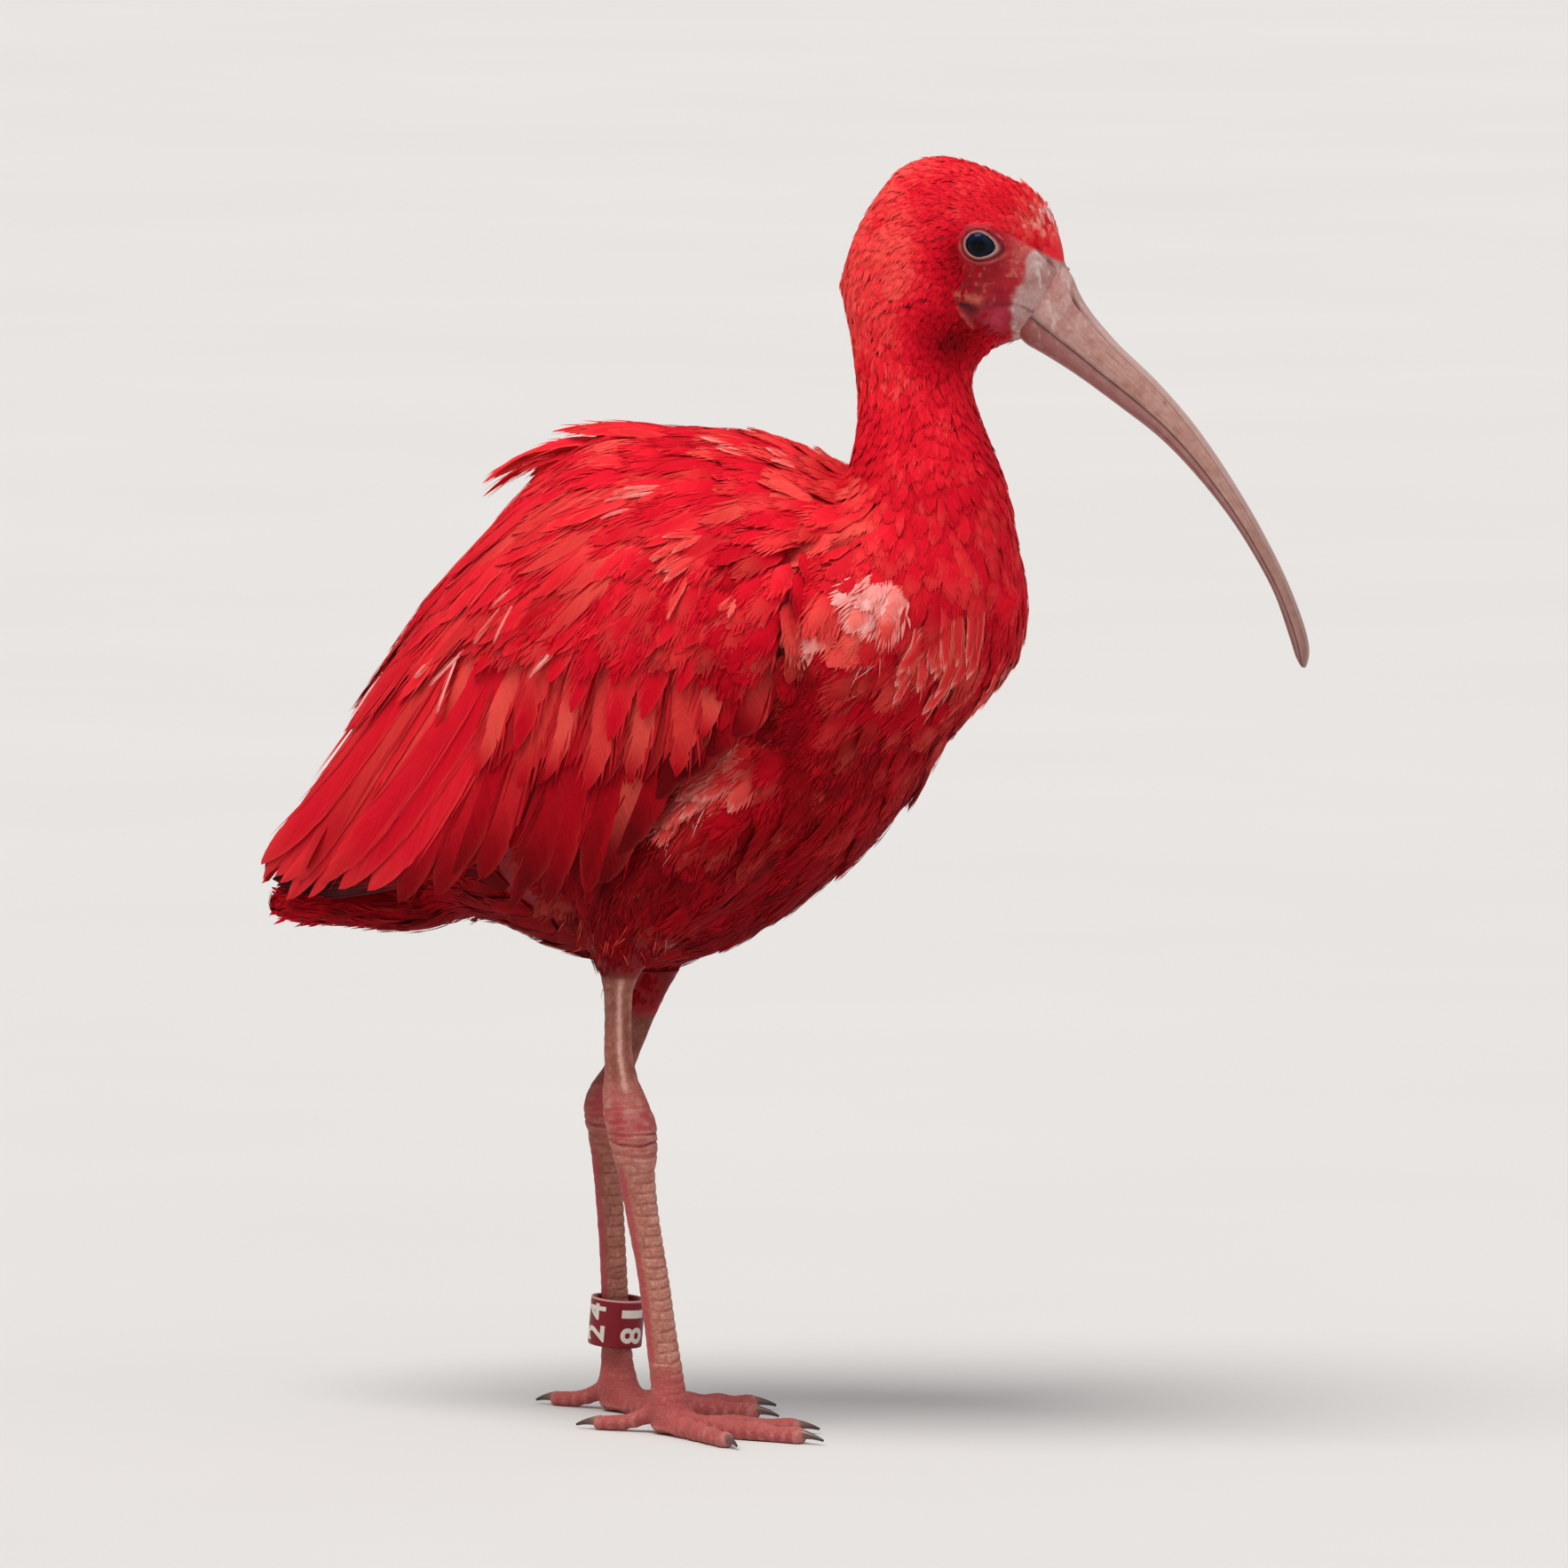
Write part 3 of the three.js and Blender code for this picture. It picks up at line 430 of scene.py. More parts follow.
# shade on the wing's front lower corner, where the flank's feathers lie against it
CORNER = [(40, 56, 212, 15, 1.0), (25, 54, 198, 14, 1.0)]
# places darkened with painted shade, in pockets under the shoulder, between wing and breast and under the tail: x,
# distance out, z, reach, strength
SHADE_SPOTS = [
    (100, 52, 233, 12, 0.22), (119, 30, 246, 7, 0.16), (62, 57, 279, 5, 0.4), (71, 57, 240, 5, 0.6), (66, 58, 230, 7, 0.6), (60, 58, 222, 5, 0.5), (74, 56, 233, 6, 0.5), (79, 54, 244, 6, 0.45), (70, 56, 221, 5, 0.5), (86, 38, 284, 5, 0.5), (101, 42, 214, 14, 0.36), (76, 54, 228, 8, 0.35), (90, 48, 204, 14, 0.34), (74, 50, 192, 12, 0.22), (102, 38, 277, 7, 0.20),
    (84, 52, 264, 3.5, 0.5), (79, 55, 250, 4, 0.5), (88, 49, 273, 3.5, 0.4), (92, 50, 276, 6, 0.15), (-60, 20, 158, 30, 0.25), (112, 40, 232, 8, 0.2), (45, 50, 180, 14, 0.15), (10, 46, 280, 8, 0.25), (24, 50, 278, 7, 0.2),
]


def spots(p, places):
    q = np.stack([p[..., 0], np.abs(p[..., 1]), p[..., 2]], -1)
    out = np.zeros(p.shape[:-1])
    for x, y, z, r, k in places:
        d2 = ((q - (x, y, z)) ** 2).sum(-1) / (r * r)
        out = np.maximum(out, k * np.exp(-d2))
    return out


def markings(p):
    """Tone from deep (0) to bright orange red (1), and paleness, by place on the bird."""
    x, y, z = p[..., 0], p[..., 1], p[..., 2]
    # brighter on top and darker underneath: partly the bird's own deeper red below, partly painted light on top and
    # painted shade under the body
    tone = 0.47 + 0.21 * step(225, 285, z) - 0.20 * step(222, 180, z) * step(-60, 10, x) - 0.14 * step(200, 165, z)
    h = to_head(p)
    on_head = step(318, 345, z)
    crown = step(372, 388, h[..., 2])
    hind = step(8, -12, h[..., 0])
    # painted shade: darker on the cheek, under the chin and under the front edge of the forehead's feathers
    cheek = np.exp(-(((h[..., 0] - 14) / 8) ** 2 + ((h[..., 2] - 367) / 11) ** 2))
    under = np.exp(-(((h[..., 0] - 13) / 11) ** 2 + ((h[..., 2] - 345) / 9) ** 2))
    front = np.exp(-(((h[..., 0] - 45.5) / 2.6) ** 2 + ((h[..., 2] - 382) / 2.6) ** 2))
    tone_head = 0.76 + 0.07 * crown + 0.22 * hind - 0.40 * cheek - 0.50 * under - 0.45 * front
    tone = lerp(tone, tone_head, on_head)
    tone = tone + 0.06 * step(84, 70, x) * step(290, 320, z) + 0.02 * step(250, 262, z) * step(304, 290, z) * step(78, 92, x)
    tone = tone + 0.26 * (noise(p, 11.0) - 0.5) + 0.12 * (noise(p, 3.6, 7.3) - 0.5)
    # painted shade in the listed pockets, and a broad painted shade on the lower flank below the breast
    tone = tone - spots(p, SHADE_SPOTS) - 0.16 * np.exp(-(((x - 88) / 19) ** 2 + ((z - 205) / 18) ** 2))
    # painted shade in streaky clefts between the belly's feather clumps
    cleft_shade = step(0.60, 0.82, noise(p * (1, 1, 0.24), 6.0, 3.0)) * step(256, 240, z) * step(176, 190, z) * step(44, 58, x)
    tone = tone - 0.22 * cleft_shade
    brow = np.exp(-(((h[..., 0] - 40.5) / 7.5) ** 2 + ((h[..., 2] - 383.5) / 6.5) ** 2))
    pale = 0.62 * spots(p, PALE) * (0.3 + 1.2 * noise(p, 4.2, 2.1))
    tone = tone + 0.16 * spots(p, [(104, 46, 256, 16, 1.0), (52, 57, 210, 14, 0.9), (84, 54, 262, 12, 0.8)])
    pale = pale + 1.25 * brow * np.clip(1.5 * noise(p, 1.4, 5.0) - 0.3, 0, 1)
    pale = pale + 0.14 * step(0.66, 0.92, noise(p * (1, 1, 0.6), 4.2, 11.0)) * step(325, 275, z) * step(60, 100, x)
    return np.clip(tone, 0, 1), np.clip(pale, 0, 1)


# ------------------------------------------------------------- lie of the coat

# place (x, distance out, z) and lie (x, out, z)
LIE = np.array([
    (142, 0, 380, -0.6, 0.1, 0.8), (138, 6, 388, -0.8, 0.1, 0.6), (125, 8, 398, -1, 0.1, 0.2), (105, 5, 402, -1, 0.1, -0.15),
    (80, 5, 388, -0.7, 0, -0.75), (74, 5, 362, -0.1, 0, -1), (108, 16, 378, -0.85, 0, -0.35), (125, 12, 384, -0.8, 0, 0.3),
    (100, 17, 365, -0.65, 0, -0.75), (112, 14, 356, -0.6, 0, -0.8), (116, 8, 348, -0.7, 0, -0.7), (110, 0, 335, -0.1, 0, -1),
    (76, 0, 330, -0.05, 0, -1), (94, 18, 330, 0, 0, -1), (118, 0, 300, 0.1, 0, -1), (100, 26, 292, 0, 0.1, -1),
    (76, 0, 308, -0.7, 0, -0.7), (68, 14, 307, -1, 0.15, -0.1), (35, 18, 312, -1, 0.22, 0), (0, 18, 310, -1, 0.2, -0.25),
    (-30, 10, 296, -0.75, 0.1, -0.66), (126, 0, 265, 0.05, 0, -1), (120, 30, 260, -0.2, 0.1, -1), (110, 45, 262, -0.5, 0.1, -0.85),
    (116, 0, 232, -0.5, 0, -0.87), (104, 40, 232, -0.6, 0, -0.8), (95, 0, 198, -0.85, 0, -0.53), (80, 48, 225, -0.7, 0, -0.7),
    (60, 52, 200, -0.75, 0, -0.65), (60, 0, 170, -1, 0, -0.25), (20, 0, 148, -1, 0, 0), (20, 46, 180, -0.75, 0, -0.65),
    (-40, 0, 153, -1, 0, 0.05), (-85, 0, 160, -1, 0, 0), (-40, 30, 170, -0.95, 0, -0.2), (40, 50, 190, -0.6, 0, -0.8),
    (22, 44, 166, -0.5, 0, -0.86), (8, 32, 150, -0.2, 0, -1), (-6, 28, 148, -0.35, 0, -0.93), (5, 20, 150, -0.3, 0, -0.95),
    (88, 46, 277, -0.5, 0, -0.85), (80, 52, 255, -0.5, 0, -0.85), (60, 60, 262, -0.55, 0, -0.83), (25, 60, 262, -0.5, 0, -0.86),
    (64, 40, 298, -0.85, 0.3, -0.35), (32, 42, 296, -0.88, 0.15, -0.4), (0, 48, 284, -0.75, 0, -0.65), (-27, 46, 272, -0.6, 0, -0.8),
    (-50, 40, 255, -0.62, 0, -0.78), (-80, 20, 232, -0.75, 0, -0.65),
], float)


def lie(p):
    s = np.where(p[..., 1] < 0, -1.0, 1.0)
    q = np.stack([p[..., 0], np.abs(p[..., 1]), p[..., 2]], -1)
    d2 = ((q[..., None, :] - LIE[:, :3]) ** 2).sum(-1)
    w = 1 / (d2 + 25) ** 2
    d = (w[..., None] * LIE[:, 3:]).sum(-2) / w.sum(-1)[..., None]
    d[..., 1] *= s
    return unit(d)


def scatter(field, near, reach, gap, tries, seed):
    """Points spread evenly over a surface. near: points on it; reach(p): where; gap(p): spacing."""
    g = np.random.default_rng(seed)
    p = near[g.integers(0, len(near), tries)] + g.normal(0, 1.2, (tries, 3))
    p = field.settle(p, 0.0, 3)
    p = p[reach(p)]
    r = gap(p)
    cell = float(r.max())
    kept, grid = [], {}
    keys = np.floor(p / cell).astype(int)
    for i in range(len(p)):
        kx, ky, kz = keys[i]
        ok = True
        for a in (-1, 0, 1):
            for b in (-1, 0, 1):
                for c in (-1, 0, 1):
                    for j in grid.get((kx + a, ky + b, kz + c), ()):
                        d = p[i] - p[j]
                        if d[0] * d[0] + d[1] * d[1] + d[2] * d[2] < r[i] * r[i]:
                            ok = False
                            break
                    if not ok:
                        break
                if not ok:
                    break
            if not ok:
                break
        if ok:
            grid.setdefault((kx, ky, kz), []).append(i)
            kept.append(i)
    return p[kept]


def march(field, root, length, root_level, tip_level, turn=0.0, steps=7, rise=0.75, way=None):
    """Spines that follow the lie of the coat over a surface, from under it at the root to its top."""
    n = len(root)
    length = np.broadcast_to(length, (n,))
    turn = np.broadcast_to(turn, (n,))
    root_level, tip_level = np.broadcast_to(root_level, (n,)), np.broadcast_to(tip_level, (n,))
    p = root.copy()
    P, Nn = [], []
    for k in range(steps + 1):
        s = k / steps
        v, nn = field.sample(p)
        level = root_level + (tip_level - root_level) * s ** rise
        p = p - nn * (v - level)[:, None]
        P.append(p)
        Nn.append(nn)
        d = lie(p) if way is None else way(p)
        d = unit(d - nn * (d * nn).sum(-1, keepdims=True))
        d = d * np.cos(turn)[:, None] + np.cross(nn, d) * np.sin(turn)[:, None]
        p = p + d * (length / steps)[:, None]
    P, Nn = np.stack(P, 1), np.stack(Nn, 1)
    T = unit(np.gradient(P, axis=1))
    S = unit(np.cross(Nn, T))
    return P, S, unit(np.cross(T, S))


class Coat:
    """Gathers tufts and vanes into one mesh, with a patch on the map for each."""

    def __init__(self, name):
        self.name = name
        self.v, self.q, self.t, self.root, self.local, self.coat, self.vane, self.rail = [], [], [], [], [], [], [], []
        self.n = 0

    def add(self, v, q, t, root, local, coat, vane, rail):
        self.rail.append(rail)
        self.v.append(v.reshape(-1, 3))
        self.q.append(q + self.n)
        self.t.append(t + self.n)
        self.root.append(root.reshape(-1, 2))
        self.local.append(local.reshape(-1, 2))
        self.coat.append(coat.reshape(-1, 3))
        self.vane.append(vane.reshape(-1, 3))
        self.n += len(self.v[-1])

    def tufts(self, spine, uv, blades, half, thick, tone, pale, dark, rings=3, fray=0.12, seed=1, tips=0.0, sink=0.0):
        """blades: rows of (start s, end s, start side, end side, half width), as shares of the feather."""
        P, S, N = spine
        n, m = P.shape[0], P.shape[1] - 1
        g = np.random.default_rng(seed)
        b = np.array(blades, float)
        nb = len(b)
        half = np.broadcast_to(half, (n,))
        tau = np.arange(rings + 2) / (rings + 1)
        s0 = np.clip(b[None, :, 0] + g.normal(0, 0.02, (n, nb)), 0, 0.9)
        s1 = np.clip(b[None, :, 1] * (1 + g.normal(0, fray * 0.5, (n, nb))), s0 + 0.12, 1.0)
        l0 = np.broadcast_to(b[None, :, 2], (n, nb))
        l1 = b[None, :, 3] + g.normal(0, fray, (n, nb))
        s = s0[..., None] + (s1 - s0)[..., None] * tau
        l = (l0[..., None] + (l1 - l0)[..., None] * tau ** 0.75) * half[:, None, None]
        f = np.clip(s * m, 0, m - 1e-6)
        i = f.astype(int)
        w = (f - i)[..., None]
        row = np.arange(n)[:, None, None]
        p = P[row, i] * (1 - w) + P[row, i + 1] * w
        sd = unit(S[row, i] * (1 - w) + S[row, i + 1] * w)
        nm = unit(N[row, i] * (1 - w) + N[row, i + 1] * w)
        lift = g.normal(0, 1, (n, nb, 1)) * thick * 0.9 * tau - sink * (0.6 * (l / half[:, None, None]) ** 2 + step(0.7, 1.0, s))
        c = p + sd * l[..., None] + nm * lift[..., None]
        bw = b[None, :, 4, None] * half[:, None, None] * (1 + g.normal(0, 0.12, (n, nb, 1)))
        prof = np.sin(np.pi * np.clip(tau, 1e-3, 1 - 1e-3) ** 0.62) ** 0.8
        bw = bw * prof
        left = c - sd * bw[..., None] - nm * (0.35 * thick)
        right = c + sd * bw[..., None] - nm * (0.35 * thick)
        top = c + nm * (0.65 * thick)
        nv = 3 * rings + 2
        v = np.empty((n, nb, nv, 3))
        v[:, :, 0] = c[:, :, 0]
        v[:, :, 1:-1] = np.stack([left[:, :, 1:-1], top[:, :, 1:-1], right[:, :, 1:-1]], 3).reshape(n, nb, 3 * rings, 3)
        v[:, :, -1] = c[:, :, -1]
        # patch on the map
        wmax = 2.6 * half[:, None, None]
        lu = np.stack([l - bw, l, l + bw], -1) / wmax[..., None] + 0.5
        lv = np.repeat(s[..., None], 3, -1)
        loc = np.empty((n, nb, nv, 2))
        loc[:, :, 0, 0], loc[:, :, 0, 1] = lu[:, :, 0, 1], s[:, :, 0]
        loc[:, :, -1, 0], loc[:, :, -1, 1] = lu[:, :, -1, 1], s[:, :, -1]
        loc[:, :, 1:-1, 0] = lu[:, :, 1:-1].reshape(n, nb, -1)
        loc[:, :, 1:-1, 1] = lv[:, :, 1:-1].reshape(n, nb, -1)
        # colour attributes
        sv = np.empty((n, nb, nv))
        sv[:, :, 0], sv[:, :, -1] = s[:, :, 0], s[:, :, -1]
        sv[:, :, 1:-1] = lv[:, :, 1:-1].reshape(n, nb, -1)
        av = np.empty((n, nb, nv))
        av[:, :, 0] = av[:, :, -1] = 0
        av[:, :, 1:-1] = np.tile([-1.0, 0.0, 1.0], rings)
        rb = g.random((n, nb, 1)) + np.zeros((1, 1, nv))
        tn = np.broadcast_to(tone, (n,))[:, None, None] + 0.16 * (rb - 0.5) + 0.10 * (sv - 0.6)
        pl = np.broadcast_to(pale, (n,))[:, None, None] + tips * np.clip(sv - 0.7, 0, 1) / 0.3 * (g.random((n, nb, 1)) > 0.6)
        dk = np.broadcast_to(dark, (n,))[:, None, None] + 0 * sv
        coat = np.stack([tn, pl, dk], -1)
        vane = np.stack([sv, av, rb], -1)
        # faces
        q, t = [], []
        for k in range(3):
            j = (k + 1) % 3
            t.append([0, 1 + j, 1 + k])
            e = 1 + 3 * (rings - 1)
            t.append([nv - 1, e + k, e + j])
            for r in range(rings - 1):
                a = 1 + 3 * r
                q.append([a + k, a + j, a + 3 + j, a + 3 + k])
        base = (np.arange(n * nb) * nv)[:, None, None]
        rail = np.tile(np.array([3] + [1, 0, 2] * rings + [3], np.int8), n * nb)
        self.add(v, (base + np.array(q)).reshape(-1, 4), (base + np.array(t)).reshape(-1, 3),
                 np.repeat(uv, nb * nv, 0), loc, coat, vane, rail)

    def vanes(self, P, field, level, half, uv, tone, pale, dark, columns=6, thick=0.2, tilt=0.0, outline=None, chevron=0.05,
              splits=2, depth=0.3, waver=0.012, camber=0.0, seed=1, settle=True, normals=None, base_pale=(0.0, 0.6, 0.3), tip_pale=0.0,
              tip_dark=0.0, shaft=0.08, slope=0.0, rim=0.0, shade=0.12, edge_pale=0.0):
        """Flat feathers: P are spines (n, rings + 2, 3)."""
        g = np.random.default_rng(seed)
        n, m = P.shape[0], P.shape[1] - 1
        half = np.broadcast_to(half, (n,)).astype(float)
        level = np.broadcast_to(level, (n, m + 1)) if np.ndim(level) < 2 else level
        a = np.linspace(-1, 1, columns + 1)
        s = np.linspace(0, 1, m + 1)
        shape = outline(s) if outline else np.clip(s / 0.12, 0, 1) ** 0.6 * np.sqrt(np.clip(1 - ((s - 0.78) / 0.22).clip(0) ** 2, 0, 1))
        wj = g.normal(0, 1, (n, m + 1, 2))
        for _ in range(2):
            wj[:, 1:-1] = (wj[:, :-2] + wj[:, 1:-1] + wj[:, 2:]) / 3
        wj = 1 + waver * wj
        # a few splits in each edge
        for _ in range(splits):
            at = g.uniform(0.4, 0.97, (n, 1, 2))
            cut = depth * g.random((n, 1, 2)) ** 2
            wj = wj * (1 - cut * np.exp(-(((s[None, :, None] - at) / (0.7 / m)) ** 2)))
        wl = half[:, None] * shape * wj[..., 0]
        wr = half[:, None] * shape * wj[..., 1]
        # points with the barbs' slant
        sa = np.clip(s[None, :, None] + chevron * np.abs(a)[None, None] ** 1.3 * np.sin(np.pi * np.clip(s, 0, 1))[None, :, None], 0, 1)
        f = np.clip(sa * m, 0, m - 1e-6)
        i = np.broadcast_to(f.astype(int), (n, m + 1, columns + 1))
        w = np.broadcast_to(f - f.astype(int), (n, m + 1, columns + 1))[..., None]
        row = np.arange(n)[:, None, None]
        if normals is None:
            _, N = field.sample(P)
        else:
            N = normals
        T = unit(np.gradient(P, axis=1))
        S = unit(np.cross(N, T))
        N = unit(np.cross(T, S))
        p = P[row, i] * (1 - w) + P[row, i + 1] * w
        sd = S[row, i] * (1 - w) + S[row, i + 1] * w
        nm = N[row, i] * (1 - w) + N[row, i + 1] * w
        off = np.where(a[None, None] < 0, wl[..., None], wr[..., None]) * a
        pt = p + sd * off[..., None]
        lev = level[..., None] + np.broadcast_to(tilt, (n,))[:, None, None] * a - camber * a * a
        if settle:
            v, n2 = field.sample(pt)
            pt = pt - n2 * (v - lev)[..., None]
        else:
            n2 = nm
            pt = pt + nm * (lev)[..., None]
        body = thick * (1 - np.abs(a) ** 2.2) * np.clip(1 - 0.6 * s, 0.3, 1)[:, None]
        rach = shaft * np.exp(-(a / 0.07) ** 2)[None] * np.clip(1 - s, 0, 1)[:, None] ** 0.5
        up = pt + n2 * (0.5 * body + rach)[None, ..., None]
        dn = pt - n2 * (0.5 * body)[None, ..., None]
        rings = m - 1
        nr = 2 * columns
        nv = rings * nr + 2
        v = np.empty((n, nv, 3))
        v[:, 0] = P[:, 0]
        mid = pt[:, -1, columns // 2]
        v[:, -1] = mid
        ringv = np.concatenate([up[:, 1:-1], dn[:, 1:-1, 1:-1][:, :, ::-1]], 2)
        v[:, 1:-1] = ringv.reshape(n, -1, 3)
        v[:, 0] = pt[:, 0, columns // 2]
        order = list(range(columns + 1)) + list(range(columns - 1, 0, -1))
        lu = ((off / (2.4 * half[:, None, None])) + 0.5)[:, 1:-1][:, :, order]
        lv = np.broadcast_to(s[None, 1:-1, None], (n, rings, nr))
        loc = np.empty((n, nv, 2))
        loc[:, 0] = (0.5, 0.0)
        loc[:, -1] = (0.5, 1.0)
        loc[:, 1:-1, 0] = lu.reshape(n, -1)
        loc[:, 1:-1, 1] = lv.reshape(n, -1) * 0.94 + 0.03
        av = np.zeros((n, nv))
        av[:, 1:-1] = np.tile(a[order], rings)
        sv = np.zeros((n, nv))
        sv[:, -1] = 1
        sv[:, 1:-1] = lv.reshape(n, -1)
        rb = g.random((n, 1)) + np.zeros((1, nv))
        along = np.zeros((n, nv), int) + np.round(sv * m).astype(int)
        if np.ndim(tone) == 2:
            base_tone, base_pink = np.take_along_axis(tone, along, 1), np.take_along_axis(pale, along, 1)
        else:
            base_tone, base_pink = np.broadcast_to(tone, (n,))[:, None], np.broadcast_to(pale, (n,))[:, None]
        tn = base_tone + shade * (rb - 0.5) + np.broadcast_to(slope, (n,))[:, None] * (sv - 0.6) + rim * av ** 4
        b0, b1, b2 = base_pale
        pl = base_pink + np.broadcast_to(b0, (n,))[:, None] * step(b1, b2, sv) + tip_pale * step(0.8, 0.97, sv) + edge_pale * np.maximum(av ** 4, step(0.78, 0.95, sv))
        dk = np.broadcast_to(dark, (n,))[:, None] + tip_dark * step(0.72, 0.86, sv)
        coat = np.stack([tn + 0 * sv, pl, dk], -1)
        vane = np.stack([sv + 10, av, rb], -1)
        q, t = [], []
        for k in range(nr):
            j = (k + 1) % nr
            t.append([0, 1 + j, 1 + k])
            e = 1 + nr * (rings - 1)
            t.append([nv - 1, e + k, e + j])
            for r in range(rings - 1):
                c = 1 + nr * r
                q.append([c + k, c + j, c + nr + j, c + nr + k])
        base = (np.arange(n) * nv)[:, None, None]
        rail = np.tile(np.array([3] + ([1] + [0] * (columns - 1) + [2] + [0] * (columns - 1)) * rings + [3], np.int8), n)
        self.add(v, (base + np.array(q)).reshape(-1, 4), (base + np.array(t)).reshape(-1, 3),
                 np.repeat(uv, nv, 0), loc, coat, vane, rail)

    def piece(self, material, slot):
        v, q, t = np.concatenate(self.v), np.concatenate(self.q), np.concatenate(self.t)
        root, local = np.concatenate(self.root), np.concatenate(self.local)
        lo, hi = root.min(0), root.max(0)
        uv = 0.004 + 0.988 * (root - lo) / np.maximum(hi - lo, 1e-6) + 0.003 * np.clip(local, 0, 1)
        # quads and tris wind outwards on the lit side
        ob = build(self.name, v, q[:, ::-1], t[:, ::-1], uv=uv, point={"coat": np.concatenate(self.coat), "vane": np.concatenate(self.vane)})
        # the thin edges are kept crisp, so that each face is shaded as flat as it lies
        rail = np.concatenate(self.rail)
        ends = np.empty(len(ob.data.edges) * 2, np.int32)
        ob.data.edges.foreach_get("vertices", ends)
        a, b = rail[ends[0::2]], rail[ends[1::2]]
        crisp = (a > 0) & (b > 0) & ((a == b) | (a == 3) | (b == 3))
        ob.data.attributes.new("sharp_edge", "BOOLEAN", "EDGE").data.foreach_set("value", crisp)
        ob.data.materials.append(material)
        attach(ob, "root")
        PIECES[self.name] = 2 * len(q) + len(t)
        return ob


PIECES = {}

# ------------------------------------------------------------------ materials


class Nodes:
    def __init__(self, name):
        self.mat = bpy.data.materials.new(name)
        self.mat.use_nodes = True
        self.tree = self.mat.node_tree
        self.tree.nodes.clear()
        self.out = self.tree.nodes.new("ShaderNodeOutputMaterial")
        self.bsdf = self.tree.nodes.new("ShaderNodeBsdfPrincipled")
        self.link(self.bsdf.outputs[0], self.out.inputs["Surface"])

    def link(self, a, b):
        self.tree.links.new(a, b)

    def put(self, socket, value):
        if isinstance(value, bpy.types.NodeSocket):
            self.link(value, socket)
        elif value is not None:
            if hasattr(socket.default_value, "__len__") and not hasattr(value, "__len__"):
                value = (value,) * len(socket.default_value)
            if hasattr(value, "__len__") and len(value) == 3 and len(socket.default_value) == 4:
                value = (*value, 1)
            socket.default_value = value

    def attr(self, name):
        n = self.tree.nodes.new("ShaderNodeAttribute")
        n.attribute_name = name
        x = self.tree.nodes.new("ShaderNodeSeparateXYZ")
        self.link(n.outputs["Vector"], x.inputs[0])
        return x.outputs[0], x.outputs[1], x.outputs[2]

    def place(self):
        n = self.tree.nodes.new("ShaderNodeTexCoord")
        return n.outputs["Object"]

    def vec(self, x, y, z):
        n = self.tree.nodes.new("ShaderNodeCombineXYZ")
        for s, v in zip(n.inputs, (x, y, z)):
            self.put(s, v)
        return n.outputs[0]

    def math(self, op, a, b=None, c=None, clamp=False):
        n = self.tree.nodes.new("ShaderNodeMath")
        n.operation, n.use_clamp = op, clamp
        for s, v in zip(n.inputs, (a, b, c)):
            if v is not None:
                self.put(s, v)
        return n.outputs[0]

    def scale(self, v, k):
        n = self.tree.nodes.new("ShaderNodeVectorMath")
        n.operation = "MULTIPLY"
        self.put(n.inputs[0], v)
        n.inputs[1].default_value = k if hasattr(k, "__len__") else (k, k, k)
        return n.outputs[0]

    def noise(self, v, scale, detail=3, rough=0.55, distort=0.0):
        n = self.tree.nodes.new("ShaderNodeTexNoise")
        self.put(n.inputs["Vector"], v)
        n.inputs["Scale"].default_value = scale
        n.inputs["Detail"].default_value = detail
        n.inputs["Roughness"].default_value = rough
        n.inputs["Distortion"].default_value = distort
        return n.outputs[0]

    def voronoi(self, v, scale, feature="DISTANCE_TO_EDGE", rand=1.0):
        n = self.tree.nodes.new("ShaderNodeTexVoronoi")
        n.feature = feature
        self.put(n.inputs["Vector"], v)
        n.inputs["Scale"].default_value = scale
        n.inputs["Randomness"].default_value = rand
        return n.outputs[0]

    def ramp(self, fac, stops, smooth=False):
        n = self.tree.nodes.new("ShaderNodeValToRGB")
        if smooth:
            n.color_ramp.interpolation = "EASE"
        e = n.color_ramp.elements
        while len(e) < len(stops):
            e.new(0.5)
        for i, (x, c) in enumerate(stops):
            e[i].position = x
            e[i].color = (*c, 1) if hasattr(c, "__len__") else (c, c, c, 1)
        self.put(n.inputs[0], fac)
        return n.outputs[0]

    def mix(self, fac, a, b, blend="MIX"):
        n = self.tree.nodes.new("ShaderNodeMix")
        n.data_type, n.blend_type = "RGBA", blend
        self.put(n.inputs[0], fac)
        self.put(n.inputs[6], a)
        self.put(n.inputs[7], b)
        return n.outputs[2]

    def bump(self, height, strength, distance, normal=None):
        n = self.tree.nodes.new("ShaderNodeBump")
        self.put(n.inputs["Height"], height)
        n.inputs["Strength"].default_value = strength
        n.inputs["Distance"].default_value = distance
        if normal is not None:
            self.put(n.inputs["Normal"], normal)
        return n.outputs[0]

    def set(self, **kw):
        for k, v in kw.items():
            self.put(self.bsdf.inputs[k.replace("_", " ")], v)
        return self.mat


SCARLET = [(0.0, (0.11, 0.0003, 0.0018)), (0.25, (0.27, 0.0005, 0.0045)), (0.5, (0.49, 0.0010, 0.0105)), (0.7, (0.65, 0.0045, 0.0185)),
           (0.85, (0.77, 0.014, 0.027)), (1.0, (0.86, 0.070, 0.062))]
CORAL = (0.83, 0.118, 0.082)
PINK = (0.90, 0.50, 0.48)
MAROON = (0.030, 0.003, 0.007)


